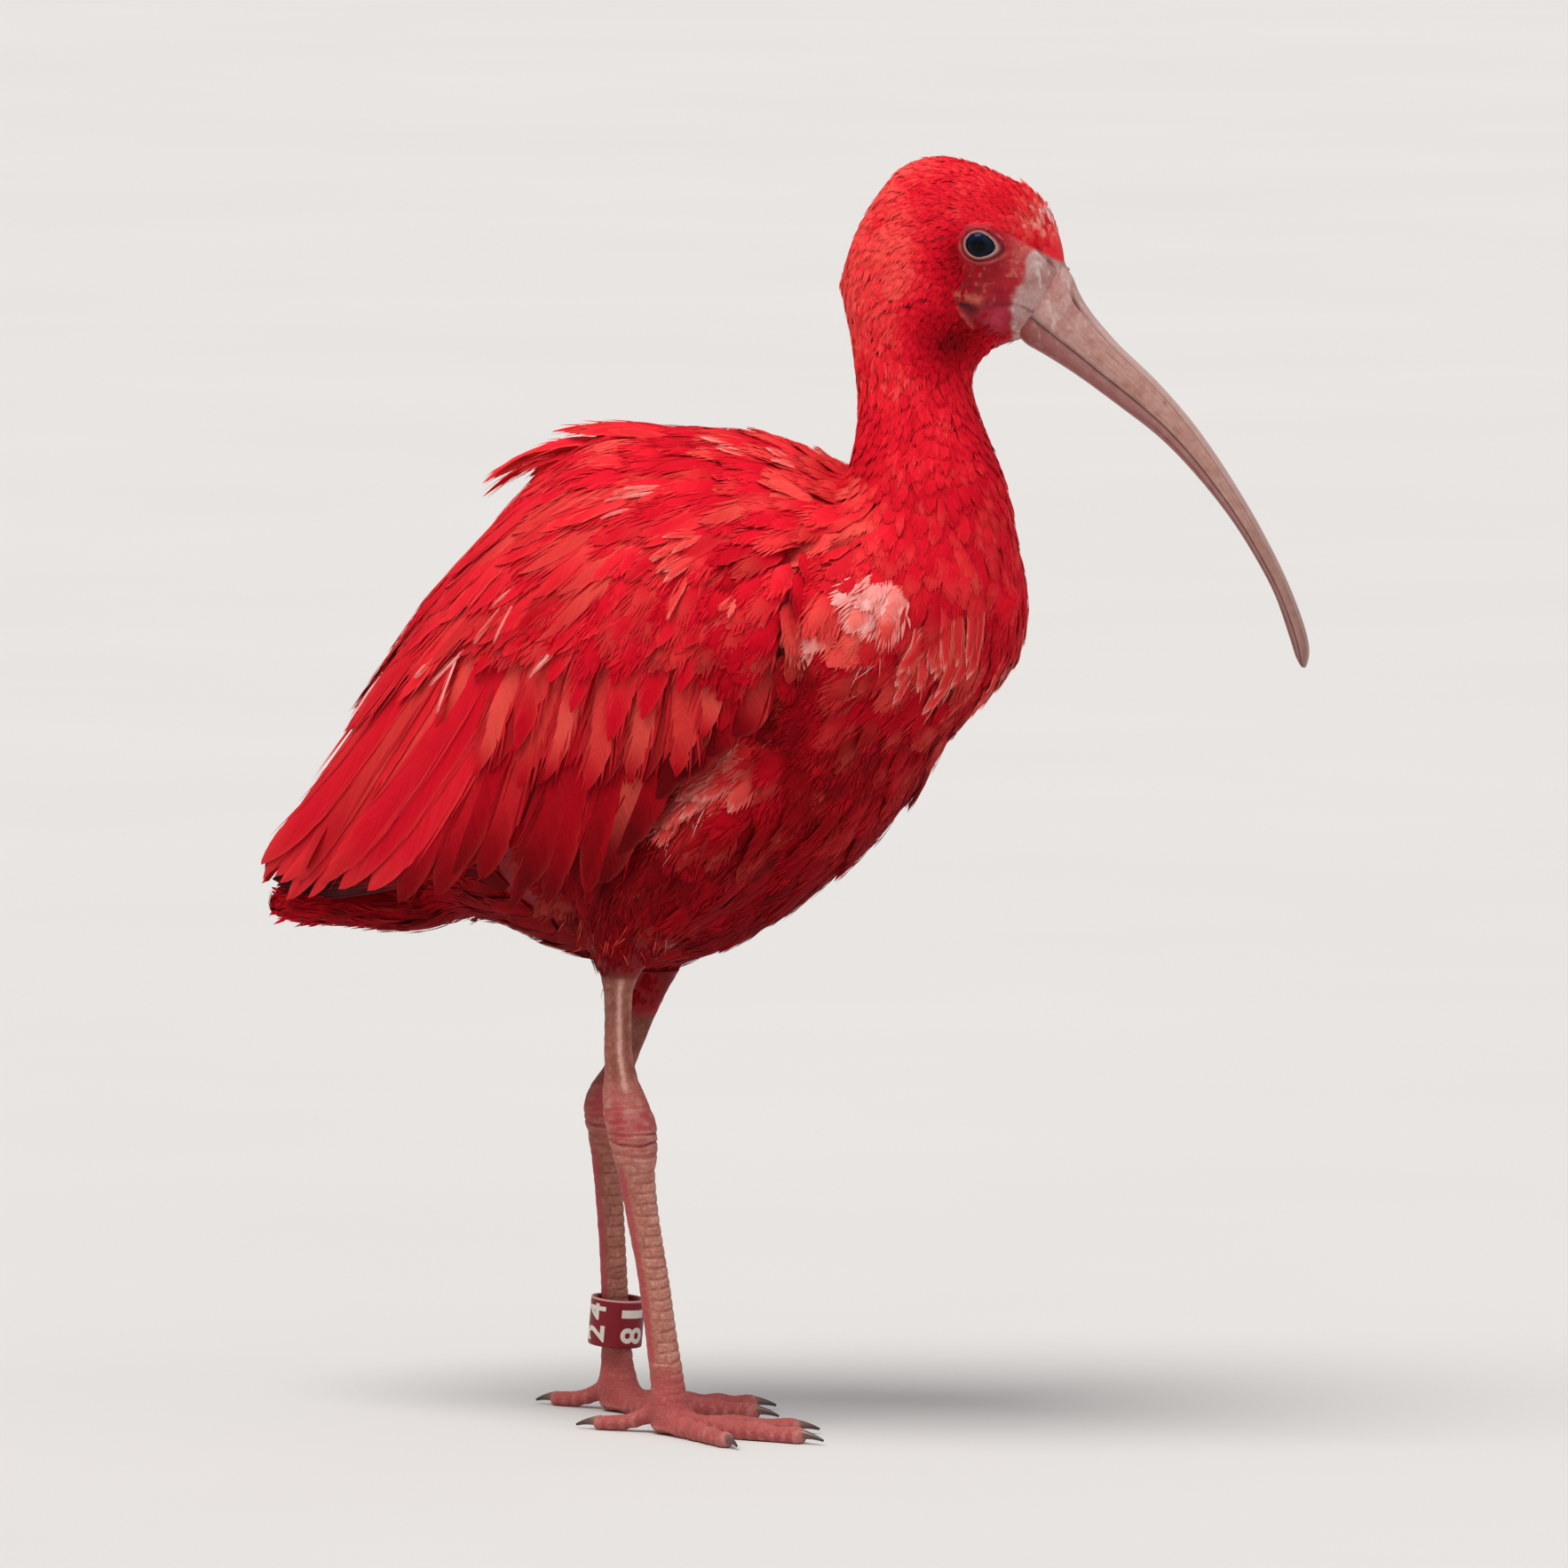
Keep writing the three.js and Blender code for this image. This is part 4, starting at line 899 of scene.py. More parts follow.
def feather_colour(m, tone, pale, dark, streak, grain):
    """Shared by coat and skin, so that both carry the same markings."""
    t = m.math("ADD", tone, m.math("MULTIPLY", m.math("SUBTRACT", streak, 0.5), 0.30))
    t = m.math("ADD", t, m.math("MULTIPLY", m.math("SUBTRACT", grain, 0.5), 0.10), clamp=True)
    c = m.ramp(t, SCARLET)
    pk = m.math("MULTIPLY", pale, m.math("ADD", m.math("MULTIPLY", streak, 0.8), 0.6), clamp=True)
    c = m.mix(m.math("MULTIPLY", pk, 1.6, clamp=True), c, CORAL)
    c = m.mix(m.math("MULTIPLY_ADD", pk, 1.65, -0.6, clamp=True), c, PINK)
    # dark: the primaries' own dark tips, and painted shade on some flank feathers
    return m.mix(m.math("MINIMUM", dark, 1.0, clamp=True), c, MAROON)


def feather_material(name, stretch=1.0, rough=0.72):
    m = Nodes(name)
    tone, pale, dark = m.attr("coat")
    s, a, r = m.attr("vane")
    # barbs run from the shaft towards the tip: streaks along them
    bar = m.math("SUBTRACT", m.math("MULTIPLY", s, 26.0 * stretch), m.math("MULTIPLY", m.math("ABSOLUTE", a), 5.0))
    v = m.vec(bar, m.math("MULTIPLY", a, 0.9), m.math("MULTIPLY", r, 91.0))
    streak = m.noise(v, 0.8, 3, 0.55)
    fine = m.noise(v, 4.5, 2, 0.5)
    grain = m.noise(m.place(), 900.0, 2, 0.6)
    c = feather_colour(m, tone, pale, dark, streak, grain)
    # thin edges let light through and look lighter
    edge = m.math("POWER", m.math("ABSOLUTE", a), 6.0)
    c = m.mix(m.math("MULTIPLY", edge, 0.10), c, (0.93, 0.13, 0.09))
    b = m.bump(m.math("ADD", streak, m.math("MULTIPLY", fine, 0.8)), 0.3, 0.0002)
    m.bsdf.inputs["Specular IOR Level"].default_value = 0.05
    rr = m.math("ADD", m.math("MULTIPLY", fine, 0.2), rough - 0.1)
    return m.set(Base_Color=c, Roughness=rr, Normal=b)


COAT_MAT = feather_material("soft_feathers")
VANE_MAT = feather_material("flight_feathers", 2.2, 0.66)


def skin_material():
    m = Nodes("skin")
    tone, pale, dark = m.attr("coat")
    bare, horn, leg = m.attr("region")
    crease, shade, spot = m.attr("detail")
    rim, malar, back = m.attr("lids")
    at = m.place()
    n1, n2, n3 = m.noise(at, 260.0, 4, 0.6), m.noise(at, 900.0, 3, 0.6), m.noise(at, 90.0, 3, 0.5)
    plume = feather_colour(m, tone, pale, dark, n1, n2)
    plume = m.mix(0.10, plume, (0.30, 0.002, 0.008))
    face = m.ramp(m.math("ADD", m.math("MULTIPLY", n1, 0.55), m.math("MULTIPLY", shade, 0.6)),
                  [(0.2, (0.17, 0.0008, 0.004)), (0.42, (0.30, 0.0015, 0.009)), (0.60, (0.38, 0.012, 0.022)), (0.9, (0.56, 0.14, 0.12))])
    face = m.mix(m.math("MULTIPLY", malar, 0.8), face, m.ramp(n1, [(0.35, (0.32, 0.008, 0.036)), (0.62, (0.48, 0.035, 0.072))]))
    face = m.mix(m.math("MULTIPLY", back, 0.55), face, (0.19, 0.001, 0.006))
    face = m.mix(spot, face, (0.66, 0.16, 0.10))
    # painted shade in creases and grooves of the face
    face = m.mix(crease, face, (0.07, 0.003, 0.007))
    face = m.mix(m.math("MULTIPLY", rim, m.math("ADD", m.math("MULTIPLY", n2, 0.6), 0.6), clamp=True), face, (0.33, 0.265, 0.24))
    hornc = m.ramp(m.math("ADD", m.math("MULTIPLY", n1, 0.75), m.math("MULTIPLY_ADD", n3, 0.7, -0.22)),
                   [(0.25, (0.34, 0.15, 0.135)), (0.45, (0.43, 0.235, 0.215)), (0.6, (0.50, 0.30, 0.28)), (0.8, (0.62, 0.44, 0.42))])
    blot = m.math("MULTIPLY", m.ramp(m.noise(at, 170.0, 3, 0.6), [(0.50, 0.0), (0.66, 1.0)]), 0.5)
    hornc = m.mix(blot, hornc, (0.34, 0.085, 0.08))
    # painted highlight: whitish streaks on the horn plate
    glint_streaks = m.math("MULTIPLY", m.ramp(m.noise(m.scale(at, (1, 1, 0.5)), 420.0, 3, 0.6), [(0.56, 0.0), (0.68, 1.0)]), 0.55)
    hornc = m.mix(glint_streaks, hornc, (0.70, 0.55, 0.52))
    # painted shade in creases of the horn plate
    hornc = m.mix(crease, hornc, (0.10, 0.028, 0.022))
    vor = m.voronoi(m.scale(at, (1, 1, 0.8)), 620.0)
    legc = m.ramp(m.math("ADD", m.math("MULTIPLY", n1, 0.45), m.math("MULTIPLY", shade, 0.6)),
                  [(0.12, (0.10, 0.026, 0.016)), (0.35, (0.24, 0.075, 0.05)), (0.6, (0.43, 0.16, 0.115)), (0.9, (0.66, 0.37, 0.31))])
    legc = m.mix(m.math("MULTIPLY", m.ramp(vor, [(0.0, 1.0), (0.12, 0.0)]), 0.25), legc, (0.13, 0.03, 0.02))
    legc = m.mix(spot, legc, (0.37, 0.042, 0.052))
    # painted highlight, whitish on the raised parts of the legs
    legc = m.mix(m.math("MULTIPLY", m.ramp(shade, [(0.72, 0.0), (1.0, 1.0)]), 0.40), legc, (0.56, 0.31, 0.27))
    # painted shade in creases of the legs
    legc = m.mix(crease, legc, (0.12, 0.02, 0.014))
    c = m.mix(bare, plume, face)
    c = m.mix(horn, c, hornc)
    c = m.mix(leg, c, legc)
    h = m.math("ADD", m.math("MULTIPLY", n2, 0.5), m.math("MULTIPLY", n1, 0.7))
    hv = m.math("MULTIPLY", m.ramp(vor, [(0.0, 0.0), (0.25, 1.0)]), m.math("MULTIPLY", leg, 0.8))
    b = m.bump(m.math("ADD", h, hv), 0.45, 0.0004)
    m.bsdf.inputs["Specular IOR Level"].default_value = 0.20
    rr = m.math("ADD", m.math("MULTIPLY", n2, 0.25), 0.44)
    return m.set(Base_Color=c, Roughness=rr, Normal=b)


SKIN_MAT = skin_material()


def bill_material():
    m = Nodes("bill_horn")
    k, around, low = m.attr("bill")
    groove, edge, fleck = m.attr("mark")
    at = m.place()
    long = m.vec(m.math("MULTIPLY", k, 9.0), m.math("MULTIPLY", around, 16.0), m.math("MULTIPLY", low, 5.0))
    n1, n2, n3 = m.noise(long, 1.6, 4, 0.6, 0.3), m.noise(at, 300.0, 4, 0.6), m.noise(at, 1100.0, 2, 0.5)
    t = m.math("ADD", m.math("MULTIPLY", n1, 0.6), m.math("MULTIPLY", n2, 0.4))
    up = m.ramp(t, [(0.28, (0.22, 0.085, 0.06)), (0.45, (0.345, 0.165, 0.125)), (0.6, (0.45, 0.25, 0.215)), (0.8, (0.57, 0.37, 0.325))])
    dn = m.ramp(t, [(0.28, (0.20, 0.065, 0.062)), (0.45, (0.32, 0.13, 0.12)), (0.6, (0.385, 0.18, 0.165)), (0.8, (0.47, 0.27, 0.25))])
    c = m.mix(low, up, dn)
    c = m.mix(m.math("MULTIPLY", low, m.ramp(k, [(0.0, 0.85), (0.16, 0.0)])), c, (0.25, 0.036, 0.032))
    # painted highlight, paler along the ridge on top; browner towards the tip
    c = m.mix(m.math("MULTIPLY", m.ramp(around, [(0.72, 0.0), (0.95, 1.0)]), m.math("MULTIPLY", m.math("SUBTRACT", 1.0, low), 0.55)),
              c, (0.60, 0.42, 0.385))
    c = m.mix(m.math("MULTIPLY", m.ramp(k, [(0.55, 0.0), (1.0, 1.0)]), 0.45), c, (0.17, 0.085, 0.072))
    c = m.mix(m.math("MULTIPLY", m.ramp(k, [(0.0, 0.8), (0.22, 0.0)]), m.math("SUBTRACT", 1.0, low)), c, m.ramp(n2, [(0.3, (0.36, 0.165, 0.15)), (0.6, (0.53, 0.32, 0.29))]))
    near = m.math("MULTIPLY", m.ramp(k, [(0.03, 1.0), (0.26, 0.0)]), m.math("SUBTRACT", 1.0, m.math("MULTIPLY", low, 0.5)))
    blot = m.math("MULTIPLY", m.ramp(m.noise(at, 170.0, 3, 0.6), [(0.50, 0.0), (0.66, 1.0)]), m.math("MULTIPLY", near, 0.5))
    c = m.mix(blot, c, (0.34, 0.085, 0.08))
    # painted highlight: whitish streaks near the bill's base
    glint_streaks = m.math("MULTIPLY", m.ramp(m.noise(m.scale(at, (1, 1, 0.5)), 420.0, 3, 0.6), [(0.56, 0.0), (0.68, 1.0)]), m.math("MULTIPLY", near, 0.55))
    c = m.mix(glint_streaks, c, (0.70, 0.55, 0.52))
    c = m.mix(groove, c, (0.085, 0.036, 0.024))
    # painted shade along the lips
    c = m.mix(edge, c, (0.06, 0.024, 0.016))
    flecks = m.math("MULTIPLY", m.ramp(m.noise(m.scale(at, (1, 1, 0.6)), 420.0, 2, 0.5), [(0.68, 0.0), (0.76, 1.0)]), 0.35)
    c = m.mix(m.math("MAXIMUM", fleck, flecks), c, (0.12, 0.014, 0.011))
    m.bsdf.inputs["Specular IOR Level"].default_value = 0.32
    m.bsdf.inputs["Coat Weight"].default_value = 0.05
    m.bsdf.inputs["Coat Roughness"].default_value = 0.3
    b = m.bump(m.math("ADD", n1, m.math("MULTIPLY", n3, 0.3)), 0.3, 0.0003)
    return m.set(Base_Color=c, Roughness=m.math("ADD", m.math("MULTIPLY", n2, 0.22), 0.32), Normal=b)


def eye_material():
    m = Nodes("eye")
    r, rim, x = m.attr("iris")
    n = m.noise(m.place(), 1400.0, 3, 0.6)
    c = m.ramp(r, [(0.0, (0.0015, 0.0015, 0.002)), (0.42, (0.0015, 0.0015, 0.002)), (0.5, (0.003, 0.005, 0.011)),
                   (0.86, (0.005, 0.009, 0.022)), (0.94, (0.02, 0.018, 0.02)), (0.975, (0.20, 0.155, 0.14)), (1.0, (0.26, 0.20, 0.18))])
    # painted reflection: a soft blue of the sky on the top of the eye
    sky_reflection = m.math("MULTIPLY", m.ramp(rim, [(0.10, 0.0), (0.55, 1.0)]), m.ramp(r, [(0.84, 0.9), (0.92, 0.0)]))
    c = m.mix(sky_reflection, c, (0.005, 0.012, 0.060))
    c = m.mix(m.math("MULTIPLY", n, 0.25), c, (0.0, 0.0, 0.0))
    m.bsdf.inputs["Coat Weight"].default_value = 0.12
    m.bsdf.inputs["Coat Roughness"].default_value = 0.03
    m.bsdf.inputs["Specular IOR Level"].default_value = 0.04
    return m.set(Base_Color=c, Roughness=m.math("ADD", m.math("MULTIPLY", n, 0.06), 0.12))


def claw_material():
    m = Nodes("claw_horn")
    k, y, z = m.attr("claw")
    n = m.noise(m.place(), 700.0, 3, 0.6)
    c = m.ramp(m.math("ADD", k, m.math("MULTIPLY", n, 0.3)),
               [(0.1, (0.30, 0.13, 0.09)), (0.5, (0.13, 0.065, 0.05)), (1.0, (0.035, 0.022, 0.02))])
    return m.set(Base_Color=c, Roughness=m.math("ADD", m.math("MULTIPLY", n, 0.2), 0.28), Normal=m.bump(n, 0.25, 0.0002))


def ring_material(name, dark, light):
    m = Nodes(name)
    at = m.place()
    n, f = m.noise(at, 160.0, 4, 0.6), m.noise(m.scale(at, (1, 1, 0.25)), 1500.0, 2, 0.6)
    c = m.mix(m.math("ADD", m.math("MULTIPLY", n, 0.7), m.math("MULTIPLY", f, 0.3)), dark, light)
    m.bsdf.inputs["Specular IOR Level"].default_value = 0.28
    return m.set(Base_Color=c, Roughness=m.math("ADD", m.math("MULTIPLY", f, 0.22), 0.3), Normal=m.bump(f, 0.12, 0.0002))


# -------------------------------------------------------------------- camera

azimuth, elevation = math.radians(26), math.radians(5)
RIGHT = np.array([math.cos(azimuth), math.sin(azimuth), 0])
BACK = np.array([math.sin(azimuth) * math.cos(elevation), -math.cos(azimuth) * math.cos(elevation), math.sin(elevation)])
UP = np.cross(BACK, RIGHT)
CENTRE = 45.08 * RIGHT + 200.8 * UP
cam_data = bpy.data.cameras.new("camera")
cam_data.lens, cam_data.sensor_width, cam_data.sensor_fit = 509.6, 36, "HORIZONTAL"
cam_data.clip_start, cam_data.clip_end = 0.1, 300
camera = bpy.data.objects.new("camera", cam_data)
eye_point = metres(CENTRE + 7000 * BACK)
m4 = Matrix.Identity(4)
for i in range(3):
    m4[i][0], m4[i][1], m4[i][2], m4[i][3] = RIGHT[i], UP[i], BACK[i], eye_point[i]
camera.matrix_world = m4
bpy.context.scene.collection.objects.link(camera)
bpy.context.scene.camera = camera

# ---------------------------------------------------------------------- skin

BODY = Field(flesh, (-128, -72, 112), (150, 72, 408), 2.0)
body_points, _ = surface_nets(BODY.f, BODY.lo, BODY.pitch)

# folded wings over the back: the top of the bird is both together
BACKS = Field(lambda p: smin(trunk_field(p), wing_field(p), 5.0), (-146, -72, 130), (112, 72, 326), 2.0)
back_points, _ = surface_nets(BACKS.f, BACKS.lo, BACKS.pitch)
WING = Field(wing_field, (-146, -72, 130), (112, 72, 326), 2.0)

WING_LOWER = table([[-128, 161], [-112, 162], [-92, 165.5], [-76, 168.5], [-55, 171.5], [-28, 172.5], [0, 171.5],
                    [19, 175], [35, 193], [52, 206], [66, 221], [76, 241], [80, 262]])


def bulk(p):
    """Flesh under the coat: the same forms, drawn in by the coat's depth."""
    z = p[..., 2]
    depth = 1.5 + 1.7 * step(322, 280, z)
    d = smin(trunk_field(p) + 3.6, neck_field(p) + depth, 8.0)
    d = smin(d, _head(to_head(p)) + 1.5, 6.0)
    low = WING_LOWER(np.clip(p[..., 0], -128, 80))[..., 0]
    arm = np.maximum.reduce([wing_field(p) + 5.2, low + 14 - z, -40 - p[..., 0], p[..., 0] - 84])
    d = smin(d, arm, 5.0)
    for n in LEGS:
        d = smin(d, leg_field(p, n) + 2.4, 6.0)
    return d


trunk_skin = Field(bulk, (-112, -70, 112), (140, 70, 392), 2.4, tidy=False)
bv, bq = surface_nets(trunk_skin.f, trunk_skin.lo, trunk_skin.pitch)

# head: folds, lids and the bare face, in the head's frame
HORN_EDGE = table([[340, 28.6], [347.3, 29.4], [354.5, 29.6], [359.6, 30.8], [364, 33.4], [372.6, 35.8], [375, 38.5], [378, 46]])
# edge of the feathers round the bare face: height and how far back bare skin reaches
FACE_EDGE = table([[343, 22.0], [346.5, 20.5], [349, 17.6], [352, 15.4], [354.6, 13.6], [358.8, 11.4], [362, 12.6], [365.8, 14.4],
                   [370, 14.0], [374, 13.2], [378, 13.4], [381, 15.5], [382.6, 20], [383.2, 26], [383.6, 60]])


def bareness(h):
    """1 on the bare face, 0 under feathers."""
    x, z = h[..., 0], h[..., 2]
    edge = FACE_EDGE(np.clip(z, 343, 383.6))[..., 0] + 2.2 * (noise(h, 2.4, 4.0) - 0.5)
    fore = step(0, 1.6, x - edge)
    # the feathers of the forehead come forward over the top
    brow = 381.5 - 0.62 * np.clip(x - 24, 0, 20)
    return fore * step(0.8, -0.8, z - brow)


def segment(h, a, b, r):
    """Distance to a rod between two points, for both sides at once."""
    q = np.stack([h[..., 0], np.abs(h[..., 1]), h[..., 2]], -1)
    a, b = np.array(a, float), np.array(b, float)
    ab = b - a
    t = np.clip(((q - a) @ ab) / (ab @ ab), 0, 1)
    return np.linalg.norm(q - a - t[..., None] * ab, axis=-1) - r


def lid_shape(h):
    u, w, v = h[..., 0] - EYE[0], np.abs(h[..., 1]) - EYE[1], h[..., 2] - EYE[2]
    # the front corner is drawn to a point, a little lower
    c, s = math.cos(math.radians(-12)), math.sin(math.radians(-12))
    u, v = u * c + v * s, -u * s + v * c
    a = np.where(u > 0, 5.3, 4.15)
    b = 3.75
    k = np.where(u > 0, 1.55, 2.0)
    rho = (np.clip(np.abs(u) / a, 0, None) ** k + np.clip(np.abs(v) / b, 0, None) ** np.where(u > 0, 1.75, 2.0)) ** 0.5
    rho = np.where(u > 0, rho ** 1.06, rho)
    return rho, w, u, v


def head_skin(h):
    bare = bareness(h)
    x, y, z = h[..., 0], np.abs(h[..., 1]), h[..., 2]
    d = _head(h) + lerp(1.0, 0.35, bare)
    # eyeball under the lids
    ball = np.sqrt((x - EYE[0]) ** 2 + (y - EYE[1]) ** 2 + (z - EYE[2]) ** 2)
    d = smin(d, ball - 7.35, 2.2)
    rho, w, u, v = lid_shape(h)
    ring = np.sqrt(((rho - 1.08) * 4.2) ** 2 + (w - 5.35) ** 2) - 0.48
    d = smin(d, ring, 0.7)
    fold = np.sqrt(((rho - 1.50) * 4.2) ** 2 + (w - 4.0) ** 2) - 0.25
    d = smin(d, fold, 1.0)
    d = np.maximum(d, -(np.sqrt(((rho - 1.27) * 4.2) ** 2 + (w - 4.95) ** 2) - 0.22))
    # opening
    d = np.maximum(d, -np.maximum((rho - 1.0) * 4.0, 1.5 - w))
    # folds behind and under the gape
    d = smin(d, segment(h, (12, 15.6, 359.8), (20, 14.1, 357.6), 0.8), 2.4)
    d = smin(d, segment(h, (13.5, 15.4, 355.2), (17.6, 12.4, 349.2), 0.9), 1.4)
    d = np.maximum(d, -segment(h, (14.8, 16.0, 356.5), (18.2, 15.2, 355.2), 0.9))
    d = np.maximum(d, -segment(h, (22, 14.4, 357.2), (32.4, 12.5, 356.2), 0.32))
    # wrinkles between eye and bill, radiating from the lids
    r1 = noise(np.stack([x * 0.6 + z * 0.35, y, z * 1.5 - x * 0.5], -1), 1.5, 1.0)
    r2 = noise(h, 0.9, 8.0)
    d = d - bare * (0.42 * (r1 - 0.5) + 0.22 * (r2 - 0.5)) * step(1.45, 1.9, rho)
    r3 = noise(np.stack([x * 0.9 + z * 0.6, y, z * 0.8 - x * 1.1], -1), 1.4, 13.0)
    d = d - 0.35 * (r3 - 0.5) * step(27, 31, x) * step(346, 352, z) * bare
    # horn: smooth plate, with a crease where the forehead ends
    crease = segment(h, (36.9, 9.4, 374.6), (43.4, 4.4, 366.6), 0.55)
    d = np.maximum(d, -crease)
    # feathers' own edge: a soft step
    return d


HEAD_LO, HEAD_HI, HEAD_PITCH = (-26, -21, 336), (47.6, 21, 403), 0.55
head_grid = Field(head_skin, HEAD_LO, HEAD_HI, HEAD_PITCH, tidy=False)
hv, hq = surface_nets(head_grid.f, head_grid.lo, head_grid.pitch)
head_part = build("head_part", from_head(hv), hq)

# feet: toes and pads run together, with flat soles
def foot_frame(leg, spec):
    foot = leg["path"][-2]
    d = math.radians(leg["heading"] + spec["angle"] * leg["side"])
    out = np.array([math.cos(d), math.sin(d), 0])
    hind = abs(spec["angle"]) > 90
    return np.array([foot[1], foot[2], 0.0]) + out * (3.2 if hind else 2.6), out, hind


def toe_line(leg, spec, k):
    """Centre line and radius along a toe, k from 0 at the foot to 1 at the last joint."""
    start, out, hind = foot_frame(leg, spec)
    k = np.asarray(k, float)
    r = lerp(spec["base"], spec["tip"], k ** 0.8) * (1 + 0.07 * np.cos(2 * np.pi * k * spec["joints"]))
    rise = 5.2 * (1 - k) ** 2 if hind else 2.4 * np.maximum(0, 1 - 4 * k) ** 2
    p = start + out * (spec["length"] * k)[..., None]
    p[..., 2] = r * (1 - SOLE) + rise
    return p, r


def foot_field(name):
    leg = LEGS[name]

    def f(p):
        d = leg_field(p, name, 2.0)
        d = np.maximum(d, p[..., 2] - 22.0)
        toes = None
        for spec in TOES.values():
            start, out, hind = foot_frame(leg, spec)
            rel = p - start
            along = rel[..., 0] * out[0] + rel[..., 1] * out[1]
            k = np.clip(along / spec["length"], 0, 1)
            c, r = toe_line(leg, spec, k)
            # cross plates on the toe's upper side
            topside = step(0.1, 0.9, (p[..., 2] - c[..., 2]) / r)
            plate = np.abs(np.mod(along / 2.3, 1.0) - 0.5) * 2
            groove = 0.22 * step(0.78, 1.0, plate) * topside * step(3.0, 7.0, along)
            pads = 0.16 * np.cos(2 * np.pi * along / 4.2) * (1 - topside)
            t = np.linalg.norm(p - c, axis=-1) - r + groove - pads * step(3, 8, along)
            toes = t if toes is None else smin(toes, t, 1.3)
        # small webs between the front toes
        s, o, _ = foot_frame(leg, TOES["middle"])
        w = p - (s + o * 5.0 + np.array([0, 0, 1.6]))
        web = np.sqrt((w[..., 0] / 9.0) ** 2 + (w[..., 1] / 8.0) ** 2 + (w[..., 2] / 1.7) ** 2)
        toes = smin(toes, (web - 1) * 1.7, 1.2)
        d = smin(d, toes, 2.6)
        return np.maximum(d, 0.02 - p[..., 2])
    return f


foot_parts = []
for name, leg in LEGS.items():
    fx, fy = leg["path"][-2][1], leg["path"][-2][2]
    lo = (fx - 32, fy - 33, -1.2)
    hi = (fx + 56, fy + 33, 23.4)
    g = Field(foot_field(name), lo, hi, 0.62, tidy=False)
    v, q = surface_nets(g.f, g.lo, g.pitch)
    v[:, 2] = np.where(v[:, 2] < 0.25, np.maximum(v[:, 2], 0.02), v[:, 2])
    foot_parts.append(build("foot_part_" + name, v, q))


def leg_tube(name, z0, z1, pitch=0.55, sides=52):
    """The bare leg, with plates, folds and the tendon's ridge."""
    leg = LEGS[name]
    at = LEG_AT[name]
    z = np.arange(z0, z1, pitch)
    cx, cy, lo, wi = np.moveaxis(at(z), -1, 0)
    a = 2 * np.pi * np.arange(sides) / sides
    ca, sa = np.cos(a), np.sin(a)
    ank = 97 if name == "right" else 96
    # transverse plates in front on the tarsus
    ring = np.stack([3.1 * ca[None] + 0 * z[:, None], 3.1 * sa[None] + 0 * z[:, None], z[:, None] + 0 * a[None]], -1)
    front = step(-0.25, 0.25, ca)[None] * step(ank - 10, ank - 16, z)[:, None]
    zz = z[:, None] + 1.1 * (noise(ring, 3.0, 2.0) - 0.5) + 0.9 * np.abs(sa)[None]
    band = np.mod(zz / 3.3, 1.0)
    groove = np.exp(-((np.minimum(band, 1 - band) * 3.3) / 0.42) ** 2)
    row = np.floor(zz / 3.3)
    split = np.abs(np.mod(a[None] / (2 * np.pi) * 7 + 0.5 * np.mod(row, 2) + 0.3 * np.mod(row * 0.618, 1), 1.0) - 0.5)
    vsplit = np.exp(-((split * 2.6) / 0.26) ** 2) * step(0.75, 0.35, ca)[None]
    dr = -0.30 * np.maximum(groove, 0.8 * vsplit) * front + 0.10 * front
    # small round scales behind
    scale = noise(ring * (1, 1, 1.0), 1.3, 5.0)
    dr = dr + 0.22 * (scale - 0.5) * (1 - front)
    # folds round the ankle joint
    fold = np.exp(-((z - ank + 4) / 8) ** 2)[:, None]
    wave = np.sin(2 * np.pi * (z[:, None] / 4.3 + 1.7 * noise(ring, 6.0, 9.0) + 0.5 * noise(ring, 2.4, 4.0)))
    dr = dr - 0.75 * fold * np.clip(wave - 0.45, 0, 1) * (0.3 + 1.2 * noise(ring, 3.5, 3.0)) + 0.7 * fold * (noise(ring, 3.4, 1.5) - 0.5)
    out = leg["side"] * math.radians(58)
    off = np.arctan2(np.sin(a - out), np.cos(a - out))
    knob = np.exp(-((z - ank - 2) / 5.5) ** 2)[:, None]
    dr = dr + 0.7 * knob * np.clip(np.abs(sa) - 0.3, 0, 1)[None]
    # tendon ridge in front and behind above the ankle, hollow sides
    high = step(ank + 6, ank + 14, z)[:, None]
    dr = dr + high * (0.30 * np.cos(2 * a)[None] + 0.2 * (noise(ring, 2.2, 6.0) - 0.5) + 0.45 * np.exp(-(off / 0.24) ** 2)[None]
                      - 0.25 * np.exp(-((np.abs(off) - 0.62) / 0.2) ** 2)[None])
    low = step(ank - 12, ank - 20, z)[:, None] * step(12, 22, z)[:, None]
    dr = dr + low * 0.32 * np.cos(2 * a)[None]
    x = cx[:, None] + (lo[:, None] + dr) * ca
    y = cy[:, None] + (wi[:, None] + dr) * sa
    ringv = np.stack([x, y, z[:, None] + 0 * x], -1)
    n = len(z)
    v = np.concatenate([ringv.reshape(-1, 3), [[cx[0], cy[0], z[0]]], [[cx[-1], cy[-1], z[-1]]]])
    i, j = np.meshgrid(np.arange(n - 1), np.arange(sides), indexing="ij")
    k = (j + 1) % sides
    q = np.stack([i * sides + j, i * sides + k, (i + 1) * sides + k, (i + 1) * sides + j], -1).reshape(-1, 4)
    j = np.arange(sides)
    k = (j + 1) % sides
    t = np.concatenate([np.stack([np.full(sides, n * sides), k, j], 1),
                        np.stack([np.full(sides, n * sides + 1), (n - 1) * sides + j, (n - 1) * sides + k], 1)])
    return v, q, t


leg_parts = [build("leg_part_" + n, *leg_tube(n, 9.0, l["feather_end"] + 16)) for n, l in LEGS.items()]
skin = fuse("skin", [build("trunk_part", bv, bq), head_part, *leg_parts, *foot_parts])
sv, _tmp = read(skin)
bpy.data.meshes.remove(_tmp)

